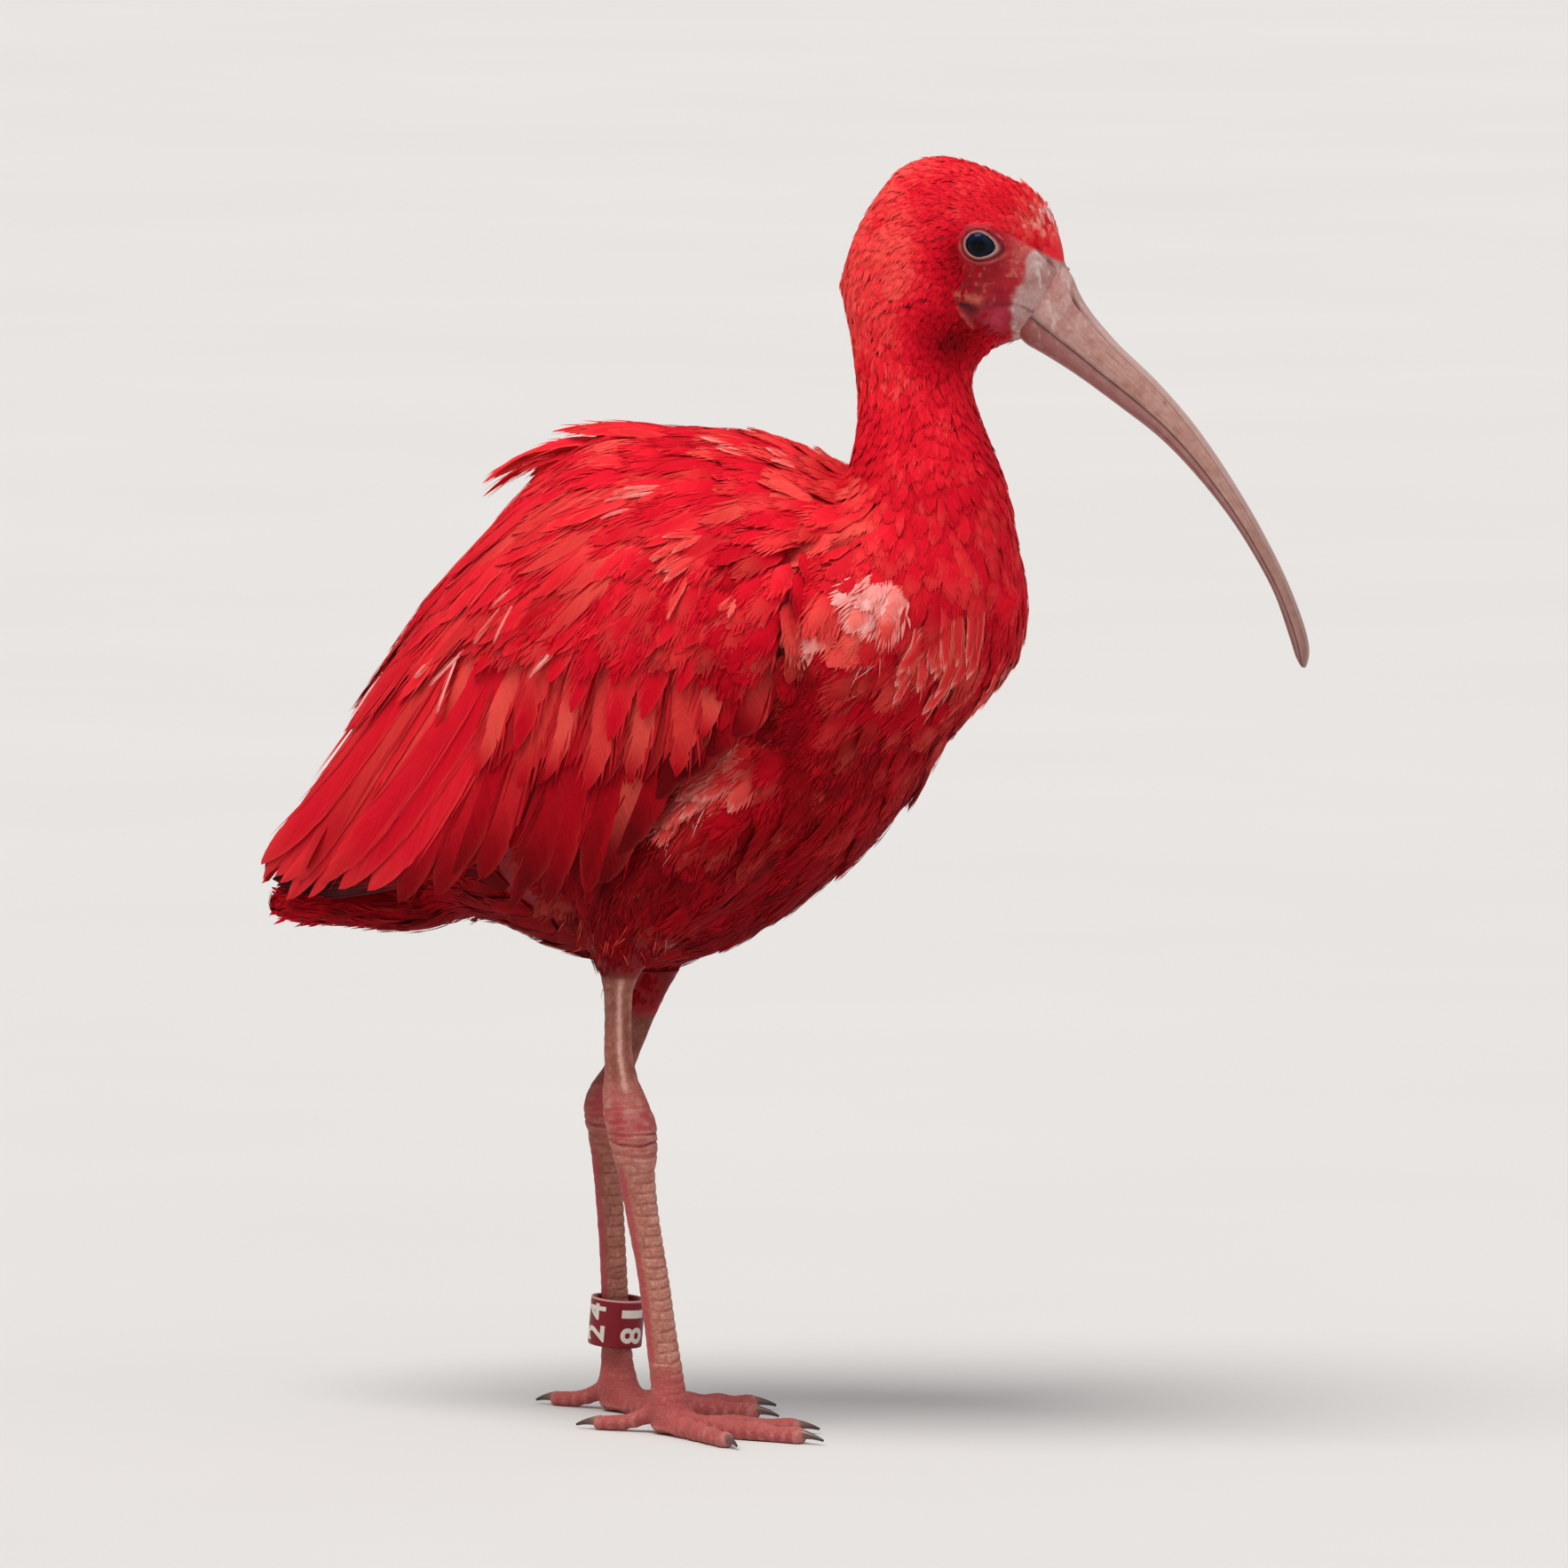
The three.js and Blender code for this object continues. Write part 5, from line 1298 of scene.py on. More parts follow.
hs = to_head(sv)
tone_s, pale_s = markings(sv)
face = bareness(hs) * step(330, 342, sv[:, 2]) * (hs[:, 0] > 8)
edge_x = HORN_EDGE(np.clip(hs[:, 2], 340, 378))[..., 0] + 2.2 * (noise(hs, 3.0, 3.3) - 0.5)
horn_s = step(-1.0, 1.4, hs[:, 0] - edge_x - 1.2 * (noise(hs, 1.6, 9.1) - 0.5)) * face
rho, w, u, vv = lid_shape(hs)
near_eye = (np.abs(hs[:, 1]) > EYE[1]) * (np.abs(hs[:, 0] - EYE[0]) < 14) * step(330, 342, sv[:, 2])
lidring = near_eye * np.exp(-((rho - 1.06) / 0.10) ** 2) * (0.75 + 0.25 * step(0, 4, u))
lidfold = near_eye * np.exp(-((rho - 1.50) / 0.10) ** 2) * step(1.0, -2.0, vv)
lidgroove = near_eye * np.exp(-((rho - 1.27) / 0.07) ** 2)
leg_zone = np.zeros(len(sv))
for n, l in LEGS.items():
    c = LEG_AT[n](sv[:, 2])
    leg_zone = np.maximum(leg_zone, step(l["feather_end"] + 4, l["feather_end"] - 2, sv[:, 2]) * (np.sign(sv[:, 1]) == l["side"]))
# how deep each point of the bare skin lies under its neighbours: painted shade in creases, painted highlight on ridges
me = skin.data
edges = np.empty(len(me.edges) * 2, np.int32)
me.edges.foreach_get("vertices", edges)
edges = edges.reshape(-1, 2)
normals = np.empty(len(sv) * 3, np.float32)
me.vertices.foreach_get("normal", normals)
normals = normals.reshape(-1, 3).astype(float)


def spread(values, times):
    for _ in range(times):
        acc, cnt = np.zeros_like(values), np.zeros(len(values))
        np.add.at(acc, edges[:, 0], values[edges[:, 1]])
        np.add.at(acc, edges[:, 1], values[edges[:, 0]])
        np.add.at(cnt, edges[:, 0], 1)
        np.add.at(cnt, edges[:, 1], 1)
        values = 0.3 * values + 0.7 * acc / np.maximum(cnt, 1)[:, None]
    return values


hollow = ((spread(sv.copy(), 4) - sv) * normals).sum(-1)
crease_shade = np.clip(step(0.03, 0.22, hollow), 0, 1)
ridge_highlight = np.clip(step(-0.02, -0.14, hollow), 0, 1)
flat_hs = hs * (1, 0, 1)
# painted shade in the gape line, the pit behind the gape and the groove round the lid, gathered with the crease shade
gape_line = np.exp(-(segment(flat_hs, (22, 0, 357.2), (32.4, 0, 356.2), 0.0) / 0.6) ** 2)
gape_line = np.maximum(gape_line, 1.5 * np.exp(-(segment(flat_hs, (32.4, 0, 356.2), (39.5, 0, 351.8), 0.0) / 0.5) ** 2))
ear_dark = np.exp(-(np.clip(segment(hs, (15.0, 15.8, 356.3), (18.4, 15.0, 354.8), 0.0), 0, None) / 1.5) ** 2)
# painted highlight on the raised folds behind and under the gape
fold_highlight = np.exp(-(np.clip(segment(hs, (10.5, 16.6, 359.9), (20, 15, 358), 0.0), 0, None) / 1.7) ** 2) \
    + np.exp(-(np.clip(segment(hs, (13.2, 15.6, 355.0), (17.4, 12.6, 349.4), 0.0), 0, None) / 1.1) ** 2)
face_crease_shade = np.clip(0.75 * crease_shade + 0.38 * gape_line + 1.1 * ear_dark * (0.6 + 0.6 * noise(hs, 1.2, 2.2)) + 0.85 * lidgroove, 0, 1) * face
malar = np.exp(-(((hs[:, 0] - 25) / 6) ** 2 + ((hs[:, 2] - 352) / 5) ** 2))
low_back = step(25, 15, hs[:, 0]) * step(368, 358, hs[:, 2])
shade_face = 0.22 - 0.16 * low_back + 0.35 * ridge_highlight - 0.15 * malar + 0.36 * step(24, 35, hs[:, 0]) * step(360, 370, hs[:, 2]) + 0.18 * step(22, 34, hs[:, 0]) \
    + 0.2 * (noise(hs, 2.2, 12.0) - 0.5)
spot_face = np.clip(step(0.70, 0.92, noise(hs * (0.8, 1, 0.9), 1.1, 6.0)) * step(1.5, 1.9, rho) * 0.45 * step(12, 16, hs[:, 0]) * step(354, 360, hs[:, 2]) + 0.35 * lidfold + 0.65 * fold_highlight * (0.2 + 1.0 * noise(hs, 1.4, 7.7)), 0, 1)
side_red = np.zeros(len(sv))
shade_leg = np.full(len(sv), 0.5)
for n, l in LEGS.items():
    c = LEG_AT[n](sv[:, 2])
    on = np.sign(sv[:, 1]) == l["side"]
    ang = np.arctan2((sv[:, 1] - c[:, 1]) / c[:, 3], (sv[:, 0] - c[:, 0]) / c[:, 2])
    back = step(-0.05, -0.45, np.cos(ang)) * step(16, 26, sv[:, 2]) * step(88, 80, sv[:, 2])
    side_red = np.where(on, 0.8 * back, side_red)
    ankle = np.exp(-((sv[:, 2] - 97) / 11) ** 2)
    turn_ = ang - l["side"] * math.radians(58)
    ridge_line = np.exp(-(np.arctan2(np.sin(turn_), np.cos(turn_)) / 0.26) ** 2)
    above = step(104, 116, sv[:, 2])
    # painted highlight on ridges, and painted shade on the far (left) leg above the foot
    shade_leg = np.where(on, 0.52 + 0.30 * ridge_highlight - 0.26 * above + 0.50 * above * ridge_line * (0.6 + 0.8 * noise(sv * (1, 1, 0.3), 2.0, 5.0))
                         - (0.22 if n == "left" else 0.0) * step(20, 40, sv[:, 2]) + 0.18 * (noise(sv, 5.0, 4.0) - 0.5), shade_leg)
    side_red = np.where(on, np.maximum(side_red, 0.95 * ankle * (0.45 + 0.9 * noise(sv, 4.0, 2.0)) * (1 - 0.5 * ridge_highlight)), side_red)
    side_red = np.where(on, np.maximum(side_red, 0.65 * step(26, 16, sv[:, 2])), side_red)
region = np.stack([face, horn_s, leg_zone], -1)
detail = np.stack([np.where(leg_zone > 0.5, crease_shade * 0.85, face_crease_shade), np.where(leg_zone > 0.5, shade_leg, shade_face),
                   np.where(leg_zone > 0.5, side_red, spot_face)], -1)
set_points(me, "coat", np.stack([tone_s, pale_s, 0 * tone_s], -1))
set_points(me, "region", region)
set_points(me, "detail", detail)
set_points(me, "lids", np.stack([np.clip(lidring, 0, 1), malar * face, low_back * face], -1))
me.polygons.foreach_set("use_smooth", np.ones(len(me.polygons), bool))
me.materials.clear()
me.materials.append(SKIN_MAT)
me.polygons.foreach_set("material_index", np.zeros(len(me.polygons), np.int32))
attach(skin, "root")
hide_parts("head", "neck_upper", "neck_lower", "trunk", "wing_right", "wing_left", "tail",
            *[f"{part}_{s}" for part in ("thigh", "shank", "tarsus", "foot", "toe_inner", "toe_middle", "toe_outer", "toe_hind")
              for s in LEGS])
PIECES["skin"] = sum(len(p.vertices) - 2 for p in me.polygons)

# ---------------------------------------------------------------------- bill


def curve_at(points, k):
    """A smooth curve through points, by its share of length."""
    p = np.array(points, float)
    d = np.concatenate([[0], np.cumsum(np.linalg.norm(np.diff(p, axis=0), axis=1) ** 0.5)])
    # cubic through the points (natural slopes), then by arc length
    t = np.linspace(0, d[-1], 600)
    m = np.gradient(p, d, axis=0)
    i = np.clip(np.searchsorted(d, t, side="right") - 1, 0, len(d) - 2)
    h = (d[i + 1] - d[i])[:, None]
    u = ((t - d[i]) / (d[i + 1] - d[i]))[:, None]
    q = (p[i] * (1 + 2 * u) * (1 - u) ** 2 + m[i] * h * u * (1 - u) ** 2 + p[i + 1] * u * u * (3 - 2 * u) - m[i + 1] * h * u * u * (1 - u))
    s = np.concatenate([[0], np.cumsum(np.linalg.norm(np.diff(q, axis=0), axis=1))])
    s /= s[-1]
    return np.stack([np.interp(k, s, q[:, 0]), np.interp(k, s, q[:, 1])], -1)


def bill_half(part, rings=250, sides=64):
    k = np.linspace(0, 1, rings)
    top2, low2 = curve_at(RIDGE, k), curve_at(LOWER_EDGE, k)
    top = np.stack([top2[:, 0], 0 * k, top2[:, 1]], -1)
    low = np.stack([low2[:, 0], 0 * k, low2[:, 1]], -1)
    share = table(MOUTH)(k)
    wide = table(BILL_WIDE)(k)[:, 0]
    # a rounded end
    end = np.sqrt(np.clip(1 - (np.clip(k - 0.965, 0, 1) / 0.037) ** 2, 0, 1))
    lip = lerp(top, low, share)
    reach = (top if part > 0 else low) - lip
    height = np.linalg.norm(reach, axis=1)
    reach = reach / height[:, None]
    a = np.arange(sides) / (sides - 1)
    a = np.pi * lerp(a, 0.5 - 0.5 * np.cos(np.pi * a), 0.65)
    gap = 0.08
    K, A = np.meshgrid(k, a, indexing="ij")
    UPS = np.sin(A)
    groove = np.zeros_like(K)
    if part > 0:
        # the long groove from the nostril to the tip, and fainter lines beside it
        mid = lerp(0.86, 0.70, step(0.1, 0.9, K))
        g1 = np.exp(-((UPS - mid) / 0.028) ** 2) * step(0.08, 0.16, K) * step(1.0, 0.93, K)
        g2 = 0.5 * np.exp(-((UPS - 0.45) / 0.03) ** 2) * step(0.42, 0.6, K) * step(1.0, 0.96, K)
        g3 = 0.35 * np.exp(-((UPS - 0.93) / 0.03) ** 2) * step(0.15, 0.3, K) * step(0.9, 0.7, K)
        groove = g1 + g2 + g3
    else:
        g1 = 0.9 * np.exp(-((UPS - 0.50) / 0.04) ** 2) * step(0.30, 0.48, K) * step(1.0, 0.96, K)
        g2 = 0.35 * np.exp(-((UPS - 0.78) / 0.06) ** 2) * step(0.5, 0.7, K)
        groove = g1 + g2
    nostril = np.zeros_like(K)
    if part > 0:
        for cy in (1, -1):
            on = (np.cos(A) * cy > 0)
            nostril = np.maximum(nostril, on * np.exp(-(((K - 0.098) / 0.020) ** 2 + ((UPS - 0.87) / 0.045) ** 2) ** 1.2))
    rough = noise(np.stack([K * 9, A * 11 + 9 * part, UPS * 2], -1), 1.0) - 0.5
    inset = 0.42 * np.clip(groove, 0, 1) + 1.3 * nostril + 0.10 * rough
    inset = inset + 0.25 * (noise(np.stack([K * 22, A * 2, K * 3], -1), 1.0, 3.0) - 0.5) * step(0.25, 0.05, K)
    # the base sinks into the skin of the face
    inset = inset + 2.0 * step(0.07, 0.0, K) ** 1.5
    wv = wide[:, None] * end[:, None]
    hvv = height[:, None] * np.maximum(end[:, None], 0.02)
    y = (wv - inset * np.abs(np.cos(A))) * np.cos(A)
    r = gap + (hvv - gap) * UPS ** 0.8 - inset * UPS
    # lips: a small rounded edge
    v = lip[:, None] + reach[:, None] * np.maximum(r, gap)[..., None]
    v[..., 1] += y
    n = rings
    verts = [v.reshape(-1, 3)]
    # inner faces: close each half along its lips with a flat strip, and both ends
    i, j = np.meshgrid(np.arange(n - 1), np.arange(sides - 1), indexing="ij")
    q = np.stack([i * sides + j, i * sides + j + 1, (i + 1) * sides + j + 1, (i + 1) * sides + j], -1).reshape(-1, 4)
    i = np.arange(n - 1)
    strip = np.stack([i * sides + sides - 1, i * sides, (i + 1) * sides, (i + 1) * sides + sides - 1], -1)
    c0, c1 = v[0].mean(0), v[-1].mean(0)
    verts.append(np.stack([c0, c1]))
    j = np.arange(sides)
    jn = (j + 1) % sides
    e0, e1 = n * sides, n * sides + 1
    t = np.concatenate([np.stack([np.full(sides, e0), jn, j], 1), np.stack([np.full(sides, e1), (n - 1) * sides + j, (n - 1) * sides + jn], 1)])
    verts = from_head(np.concatenate(verts))
    Kf = np.concatenate([K.ravel(), [0, 1]])
    Uf = np.concatenate([UPS.ravel(), [0.5, 0.5]])
    Gf = np.concatenate([np.clip(groove * 0.6, 0, 1).ravel(), [0, 0]])
    Nf = np.concatenate([np.clip(nostril * 1.2, 0, 1).ravel(), [0, 0]])
    # painted shade along the lips, where the two halves meet
    lip_gap_shade = np.concatenate([np.exp(-(UPS / 0.035) ** 2).ravel(), [1, 1]]) * 0.55
    quads = np.concatenate([q, strip])
    if part < 0:
        quads, t = quads[:, ::-1], t[:, ::-1]
    return verts, quads, t, {"bill": np.stack([Kf, Uf, np.full_like(Kf, 0.0 if part > 0 else 1.0)], -1),
                             "mark": np.stack([Gf, lip_gap_shade, Nf], -1)}


BILL_MAT = bill_material()
for part, name in ((1, "bill_upper"), (-1, "bill_lower")):
    v, q, t, pts = bill_half(part)
    ob = build(name + "_horn", v, q[:, ::-1], t[:, ::-1], point=pts)
    ob.data.materials.append(BILL_MAT)
    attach(ob, "root")
    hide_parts(name)
    PIECES[ob.name] = 2 * len(q) + len(t)

# ---------------------------------------------------------------------- eyes

EYE_MAT = eye_material()
for name, side in (("eye_right", -1), ("eye_left", 1)):
    rings, sides = 40, 56
    th = np.pi * (np.arange(1, rings) / rings)
    ph = 2 * np.pi * np.arange(sides) / sides
    T_, F_ = np.meshgrid(th, ph, indexing="ij")
    # cornea bulges a little in front
    rad = EYE_BALL + 0.28 * np.exp(-(T_ / 0.55) ** 2)
    loc = np.stack([rad * np.sin(T_) * np.cos(F_), rad * np.cos(T_), rad * np.sin(T_) * np.sin(F_)], -1).reshape(-1, 3)
    loc = np.concatenate([loc, [[0, EYE_BALL + 0.28, 0], [0, -EYE_BALL, 0]]])
    r = np.concatenate([(EYE_BALL * np.sin(T_)).ravel(), [0, 0]])
    front = np.concatenate([(T_ < 1.3).ravel(), [True, False]])
    iris = np.where(front, np.clip(r / 4.95, 0, 1), 1.0)
    q_ = loc.copy()
    q_[:, 1] *= side
    v = from_head(q_ + (EYE[0], side * EYE[1], EYE[2]))
    n = rings - 1
    i, j = np.meshgrid(np.arange(n - 1), np.arange(sides), indexing="ij")
    k = (j + 1) % sides
    quads = np.stack([i * sides + j, i * sides + k, (i + 1) * sides + k, (i + 1) * sides + j], -1).reshape(-1, 4)
    j = np.arange(sides)
    k = (j + 1) % sides
    tris = np.concatenate([np.stack([np.full(sides, n * sides), k, j], 1),
                           np.stack([np.full(sides, n * sides + 1), (n - 1) * sides + j, (n - 1) * sides + k], 1)])
    if side > 0:
        quads, tris = quads[:, ::-1], tris[:, ::-1]
    ob = build(name + "_ball", v, quads, tris, point={"iris": np.stack([iris, np.clip(loc[:, 2] / EYE_BALL, 0, 1), 0 * iris], -1)})
    ob.data.materials.append(EYE_MAT)
    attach(ob, "root")
    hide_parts(name)
    PIECES[ob.name] = 2 * len(quads) + len(tris)

# --------------------------------------------------------------------- claws

CLAW_MAT = claw_material()
for side, leg in LEGS.items():
    for toe, spec in TOES.items():
        end, _r = toe_line(leg, spec, np.array([1.0]))
        _, out, _h = foot_frame(leg, spec)
        k = np.linspace(-0.12, 1, 26)
        p = end[0] + out * (spec["tip"] * 0.2 + spec["claw"] * k)[:, None]
        p[:, 2] = end[0][2] + 0.75 - 1.55 * np.clip(k, 0, 1) ** 2
        r = lerp(1.6, 0.34, np.clip(k, 0, 1) ** 0.9)
        v, q, t = tube(p, r, 20, 1.12)
        v[:, 2] = np.maximum(v[:, 2], 0.05)
        kk = np.concatenate([np.repeat(np.clip(k, 0, 1), 20), [0, 1]])
        ob = build(f"claw_{toe}_{side}_horn", v, q, t, point={"claw": np.stack([kk, 0 * kk, 0 * kk], -1)})
        ob.data.materials.append(CLAW_MAT)
        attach(ob, "root")
        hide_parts(f"claw_{toe}_{side}")
        PIECES[ob.name] = 2 * len(q) + len(t)

# ------------------------------------------------------------------ leg ring


def to_ring(p):
    """From the ring's own frame (its axis on Z) to the leg frame."""
    c, s = math.cos(BAND["tilt"]), math.sin(BAND["tilt"])
    p = np.asarray(p, float)
    return np.stack([p[..., 0] * c + p[..., 2] * s, p[..., 1], -p[..., 0] * s + p[..., 2] * c], -1) + BAND["at"]


RING_MAT = ring_material("ring_crimson", (0.13, 0.0025, 0.008), (0.25, 0.005, 0.016))
INLAY_MAT = ring_material("ring_cream", (0.55, 0.46, 0.40), (0.80, 0.74, 0.66))
h2, ro, ri = BAND["height"] / 2, BAND["outer"] - 0.35, BAND["inner"]
profile = [(ri + 0.3, -h2), (ro - 0.5, -h2), (ro - 0.15, -h2 + 0.15), (ro, -h2 + 0.55), (ro, -h2 + 1.2), (ro, -4), (ro, 0), (ro, 4), (ro, h2 - 1.2),
           (ro, h2 - 0.55), (ro - 0.15, h2 - 0.15), (ro - 0.5, h2), (ri + 0.3, h2), (ri, h2 - 0.3), (ri, 0), (ri, -h2 + 0.3)]
sides = 96
pr = np.array(profile)
a = 2 * np.pi * np.arange(sides) / sides
ringv = np.stack([pr[:, None, 0] * np.cos(a), pr[:, None, 0] * np.sin(a), pr[:, None, 1] + 0 * a], -1)
n = len(pr)
i, j = np.meshgrid(np.arange(n), np.arange(sides), indexing="ij")
k, i2 = (j + 1) % sides, (i + 1) % n
quads = np.stack([i * sides + j, i * sides + k, i2 * sides + k, i2 * sides + j], -1).reshape(-1, 4)
band = build("leg_band_sleeve", to_ring(ringv.reshape(-1, 3)), quads)
band.data.materials.append(RING_MAT)
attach(band, "root")

# plain figures, standing a little proud, in two rows round the ring
FIGURES = ("4170", "2835")
figure_objects = []
for row, text in enumerate(FIGURES):
    for col, ch in enumerate(text * 1):
        cu = bpy.data.curves.new("figure", "FONT")
        cu.body, cu.size, cu.align_x, cu.align_y = ch, 1.0, "CENTER", "CENTER"
        cu.extrude, cu.offset, cu.resolution_u = 0.05, 0.018, 6
        fo = bpy.data.objects.new("figure", cu)
        bpy.context.scene.collection.objects.link(fo)
        bpy.context.view_layer.update()
        deps = bpy.context.evaluated_depsgraph_get()
        fm = bpy.data.meshes.new_from_object(fo.evaluated_get(deps))
        bpy.data.objects.remove(fo)
        # finer faces so that the figure bends round the ring
        import bmesh
        bm = bmesh.new()
        bm.from_mesh(fm)
        bmesh.ops.triangulate(bm, faces=bm.faces)
        bmesh.ops.subdivide_edges(bm, edges=[e for e in bm.edges if e.calc_length() > 0.12], cuts=2, use_grid_fill=True)
        bmesh.ops.triangulate(bm, faces=bm.faces)
        bmesh.ops.remove_doubles(bm, verts=bm.verts, dist=1e-5)
        co = np.array([v.co for v in bm.verts])
        co[:, 0] -= 0.5 * (co[:, 0].min() + co[:, 0].max())
        co[:, 1] -= 0.5 * (co[:, 1].min() + co[:, 1].max())
        hgt = co[:, 1].max() - co[:, 1].min()
        wdt = max(co[:, 0].max() - co[:, 0].min(), 0.38 * hgt)
        # figures lie sideways: they read along the leg
        upz = co[:, 0] / wdt * 5.2
        arc = -co[:, 1] / hgt * 8.2
        ang0 = -2.03 + col * (2 * math.pi / 4) + 0.0
        rr = ro + 0.02 + 0.16 * np.sign(co[:, 2])
        ang = ang0 + arc / ro
        zc = 3.45 if row == 0 else -3.45
        pos = to_ring(np.stack([rr * np.cos(ang), rr * np.sin(ang), zc + upz], -1))
        for v_, q_ in zip(bm.verts, metres(pos)):
            v_.co = q_
        bmesh.ops.recalc_face_normals(bm, faces=bm.faces)
        bm.to_mesh(fm)
        bm.free()
        figure_objects.append(fm)
bm = bmesh.new()
for fm in figure_objects:
    bm.from_mesh(fm)
figm = bpy.data.meshes.new("leg_band_figures")
bm.to_mesh(figm)
bm.free()
figures = bpy.data.objects.new("leg_band_figures", figm)
bpy.context.scene.collection.objects.link(figures)
figm.materials.clear()
figm.materials.append(INLAY_MAT)
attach(figures, "root")
# pale upper rim
rim_p = [(ro - 0.55, h2 - 0.04), (ro - 0.10, h2 - 0.04), (ro + 0.03, h2 - 0.5), (ro + 0.03, h2 - 0.62), (ro - 0.2, h2 - 0.62), (ro - 0.55, h2 - 0.3)]
pr = np.array(rim_p)
pr[:, 1] += 0.10
rv = np.stack([pr[:, None, 0] * np.cos(a), pr[:, None, 0] * np.sin(a), pr[:, None, 1] + 0 * a], -1)
n = len(pr)
i, j = np.meshgrid(np.arange(n), np.arange(sides), indexing="ij")
k, i2 = (j + 1) % sides, (i + 1) % n
rq = np.stack([i * sides + j, i2 * sides + j, i2 * sides + k, i * sides + k], -1).reshape(-1, 4)
rim = build("leg_band_rim", to_ring(rv.reshape(-1, 3)), rq)
rim.data.materials.append(ring_material("ring_rim", (0.46, 0.16, 0.16), (0.66, 0.34, 0.32)))
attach(rim, "root")
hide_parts("leg_band")

# ------------------------------------------------------------------ feathers

# one tuft: a few thin locks from one root
TUFT3 = [(0.0, 1.0, 0, 0.15, 0.40), (0.02, 0.80, -0.1, -0.95, 0.34), (0.02, 0.84, 0.1, 0.9, 0.34), (0.10, 0.95, 0, -0.4, 0.34)]
TUFT4 = [(0.0, 1.0, 0, 0.1, 0.62), (0.02, 0.86, -0.1, -0.75, 0.46), (0.02, 0.9, 0.1, 0.8, 0.46), (0.1, 0.98, 0, -0.35, 0.40)]
# a longer, looser one
LANCE = [(0.0, 1.0, 0, 0.0, 0.50), (0.04, 0.50, -0.1, -1.0, 0.30), (0.05, 0.52, 0.1, 1.0, 0.30), (0.16, 0.64, -0.1, -1.0, 0.28),
         (0.18, 0.66, 0.1, 1.0, 0.28), (0.30, 0.78, -0.1, -0.9, 0.26), (0.32, 0.80, 0.1, 0.9, 0.26), (0.44, 0.88, 0, -0.7, 0.24),
         (0.46, 0.90, 0, 0.7, 0.24), (0.58, 0.96, 0, -0.42, 0.2), (0.60, 0.99, 0, 0.45, 0.2)]
# one broad short feather
DOWN = [(0.0, 1.0, 0, 0.0, 1.0)]
# barbs that fray the edge of a feather
BARBS = [(0.30, 0.62, -0.85, -1.15, 0.10), (0.34, 0.66, 0.85, 1.15, 0.10), (0.42, 0.76, -0.75, -1.12, 0.10), (0.46, 0.80, 0.75, 1.10, 0.10),
         (0.54, 0.86, -0.66, -1.00, 0.10), (0.58, 0.90, 0.64, 0.98, 0.10), (0.62, 0.94, -0.50, -0.80, 0.10), (0.66, 0.96, 0.50, 0.76, 0.10),
         (0.72, 1.0, -0.34, -0.52, 0.10), (0.74, 1.0, 0.32, 0.48, 0.10), (0.78, 1.0, -0.12, -0.22, 0.10), (0.80, 1.0, 0.12, 0.20, 0.10)]
FEW = BARBS[4:]


def round_tip(s):
    return np.clip(s / 0.12, 0, 1) ** 0.5 * np.sqrt(np.clip(1 - ((s - 0.80) / 0.20).clip(0) ** 2, 0, 1))


def oval_tip(s):
    return np.clip(s / 0.25, 0, 1) ** 0.6 * np.sqrt(np.clip(1 - ((s - 0.58) / 0.42).clip(0) ** 2.2, 0, 1))


def point_tip(s):
    return np.clip(s / 0.2, 0, 1) ** 0.6 * np.clip(1 - ((s - 0.45) / 0.55).clip(0) ** 2.1, 0, 1) ** 0.85


def quill_tip(s):
    return np.clip(s / 0.2, 0, 1) ** 0.6 * np.clip(1 - ((s - 0.66) / 0.34).clip(0) ** 2.4, 0, 1) ** 0.7


def body_map(p):
    """Unwrap of the trunk: along X, and round the body."""
    return np.stack([p[:, 0], np.degrees(np.arctan2(p[:, 1], p[:, 2] - 235.0))], -1)


def neck_map(p):
    return np.stack([np.degrees(np.arctan2(p[:, 1] - 1.5, p[:, 0] - 97.0)), p[:, 2]], -1)


def head_map(p):
    h = to_head(p)
    return np.stack([np.degrees(np.arctan2(h[:, 1], h[:, 2] - 362.0)), h[:, 0]], -1)


def under_map(p):
    return np.stack([p[:, 0], np.degrees(np.arctan2(p[:, 1], 235.0 - p[:, 2]))], -1)


def soft(name, field, near, reach, gap, tries, length, half, thick, levels, blades, mapping, seed, turn=0.14, rings=3, tips=0.0,
         tone=0.0, steps=7, rise=0.75, fray=0.12, vary=0.14, raise_some=0.0, coat=None, way=None, uneven=0.05, sink=0.0):
    """Small tufts over a part of the body."""
    g = np.random.default_rng(seed)
    root = scatter(field, near, reach, gap, tries, seed)
    n = len(root)
    L = (length(root) if callable(length) else np.full(n, length)) * (1 + vary * g.normal(0, 1, n)).clip(0.6, 1.5)
    H = (half(root) if callable(half) else np.full(n, half)) * (1 + 0.12 * g.normal(0, 1, n)).clip(0.7, 1.4)
    lo, hi = levels
    lo = lo(root) if callable(lo) else np.full(n, lo)
    hi = (hi(root) if callable(hi) else np.full(n, hi)) + raise_some * g.random(n) ** 6
    spine = march(field, root, L, lo, hi, g.normal(0, turn, n), steps, rise, way)
    tn, pl = markings(spine[0][:, steps // 2])
    c = coat or Coat(name)
    c.tufts(spine, mapping(root), blades, H, thick, tn + tone + uneven * g.normal(0, 1, n), pl, 0.0, rings=rings, seed=seed + 1, tips=tips, fray=fray, sink=sink)
    return c


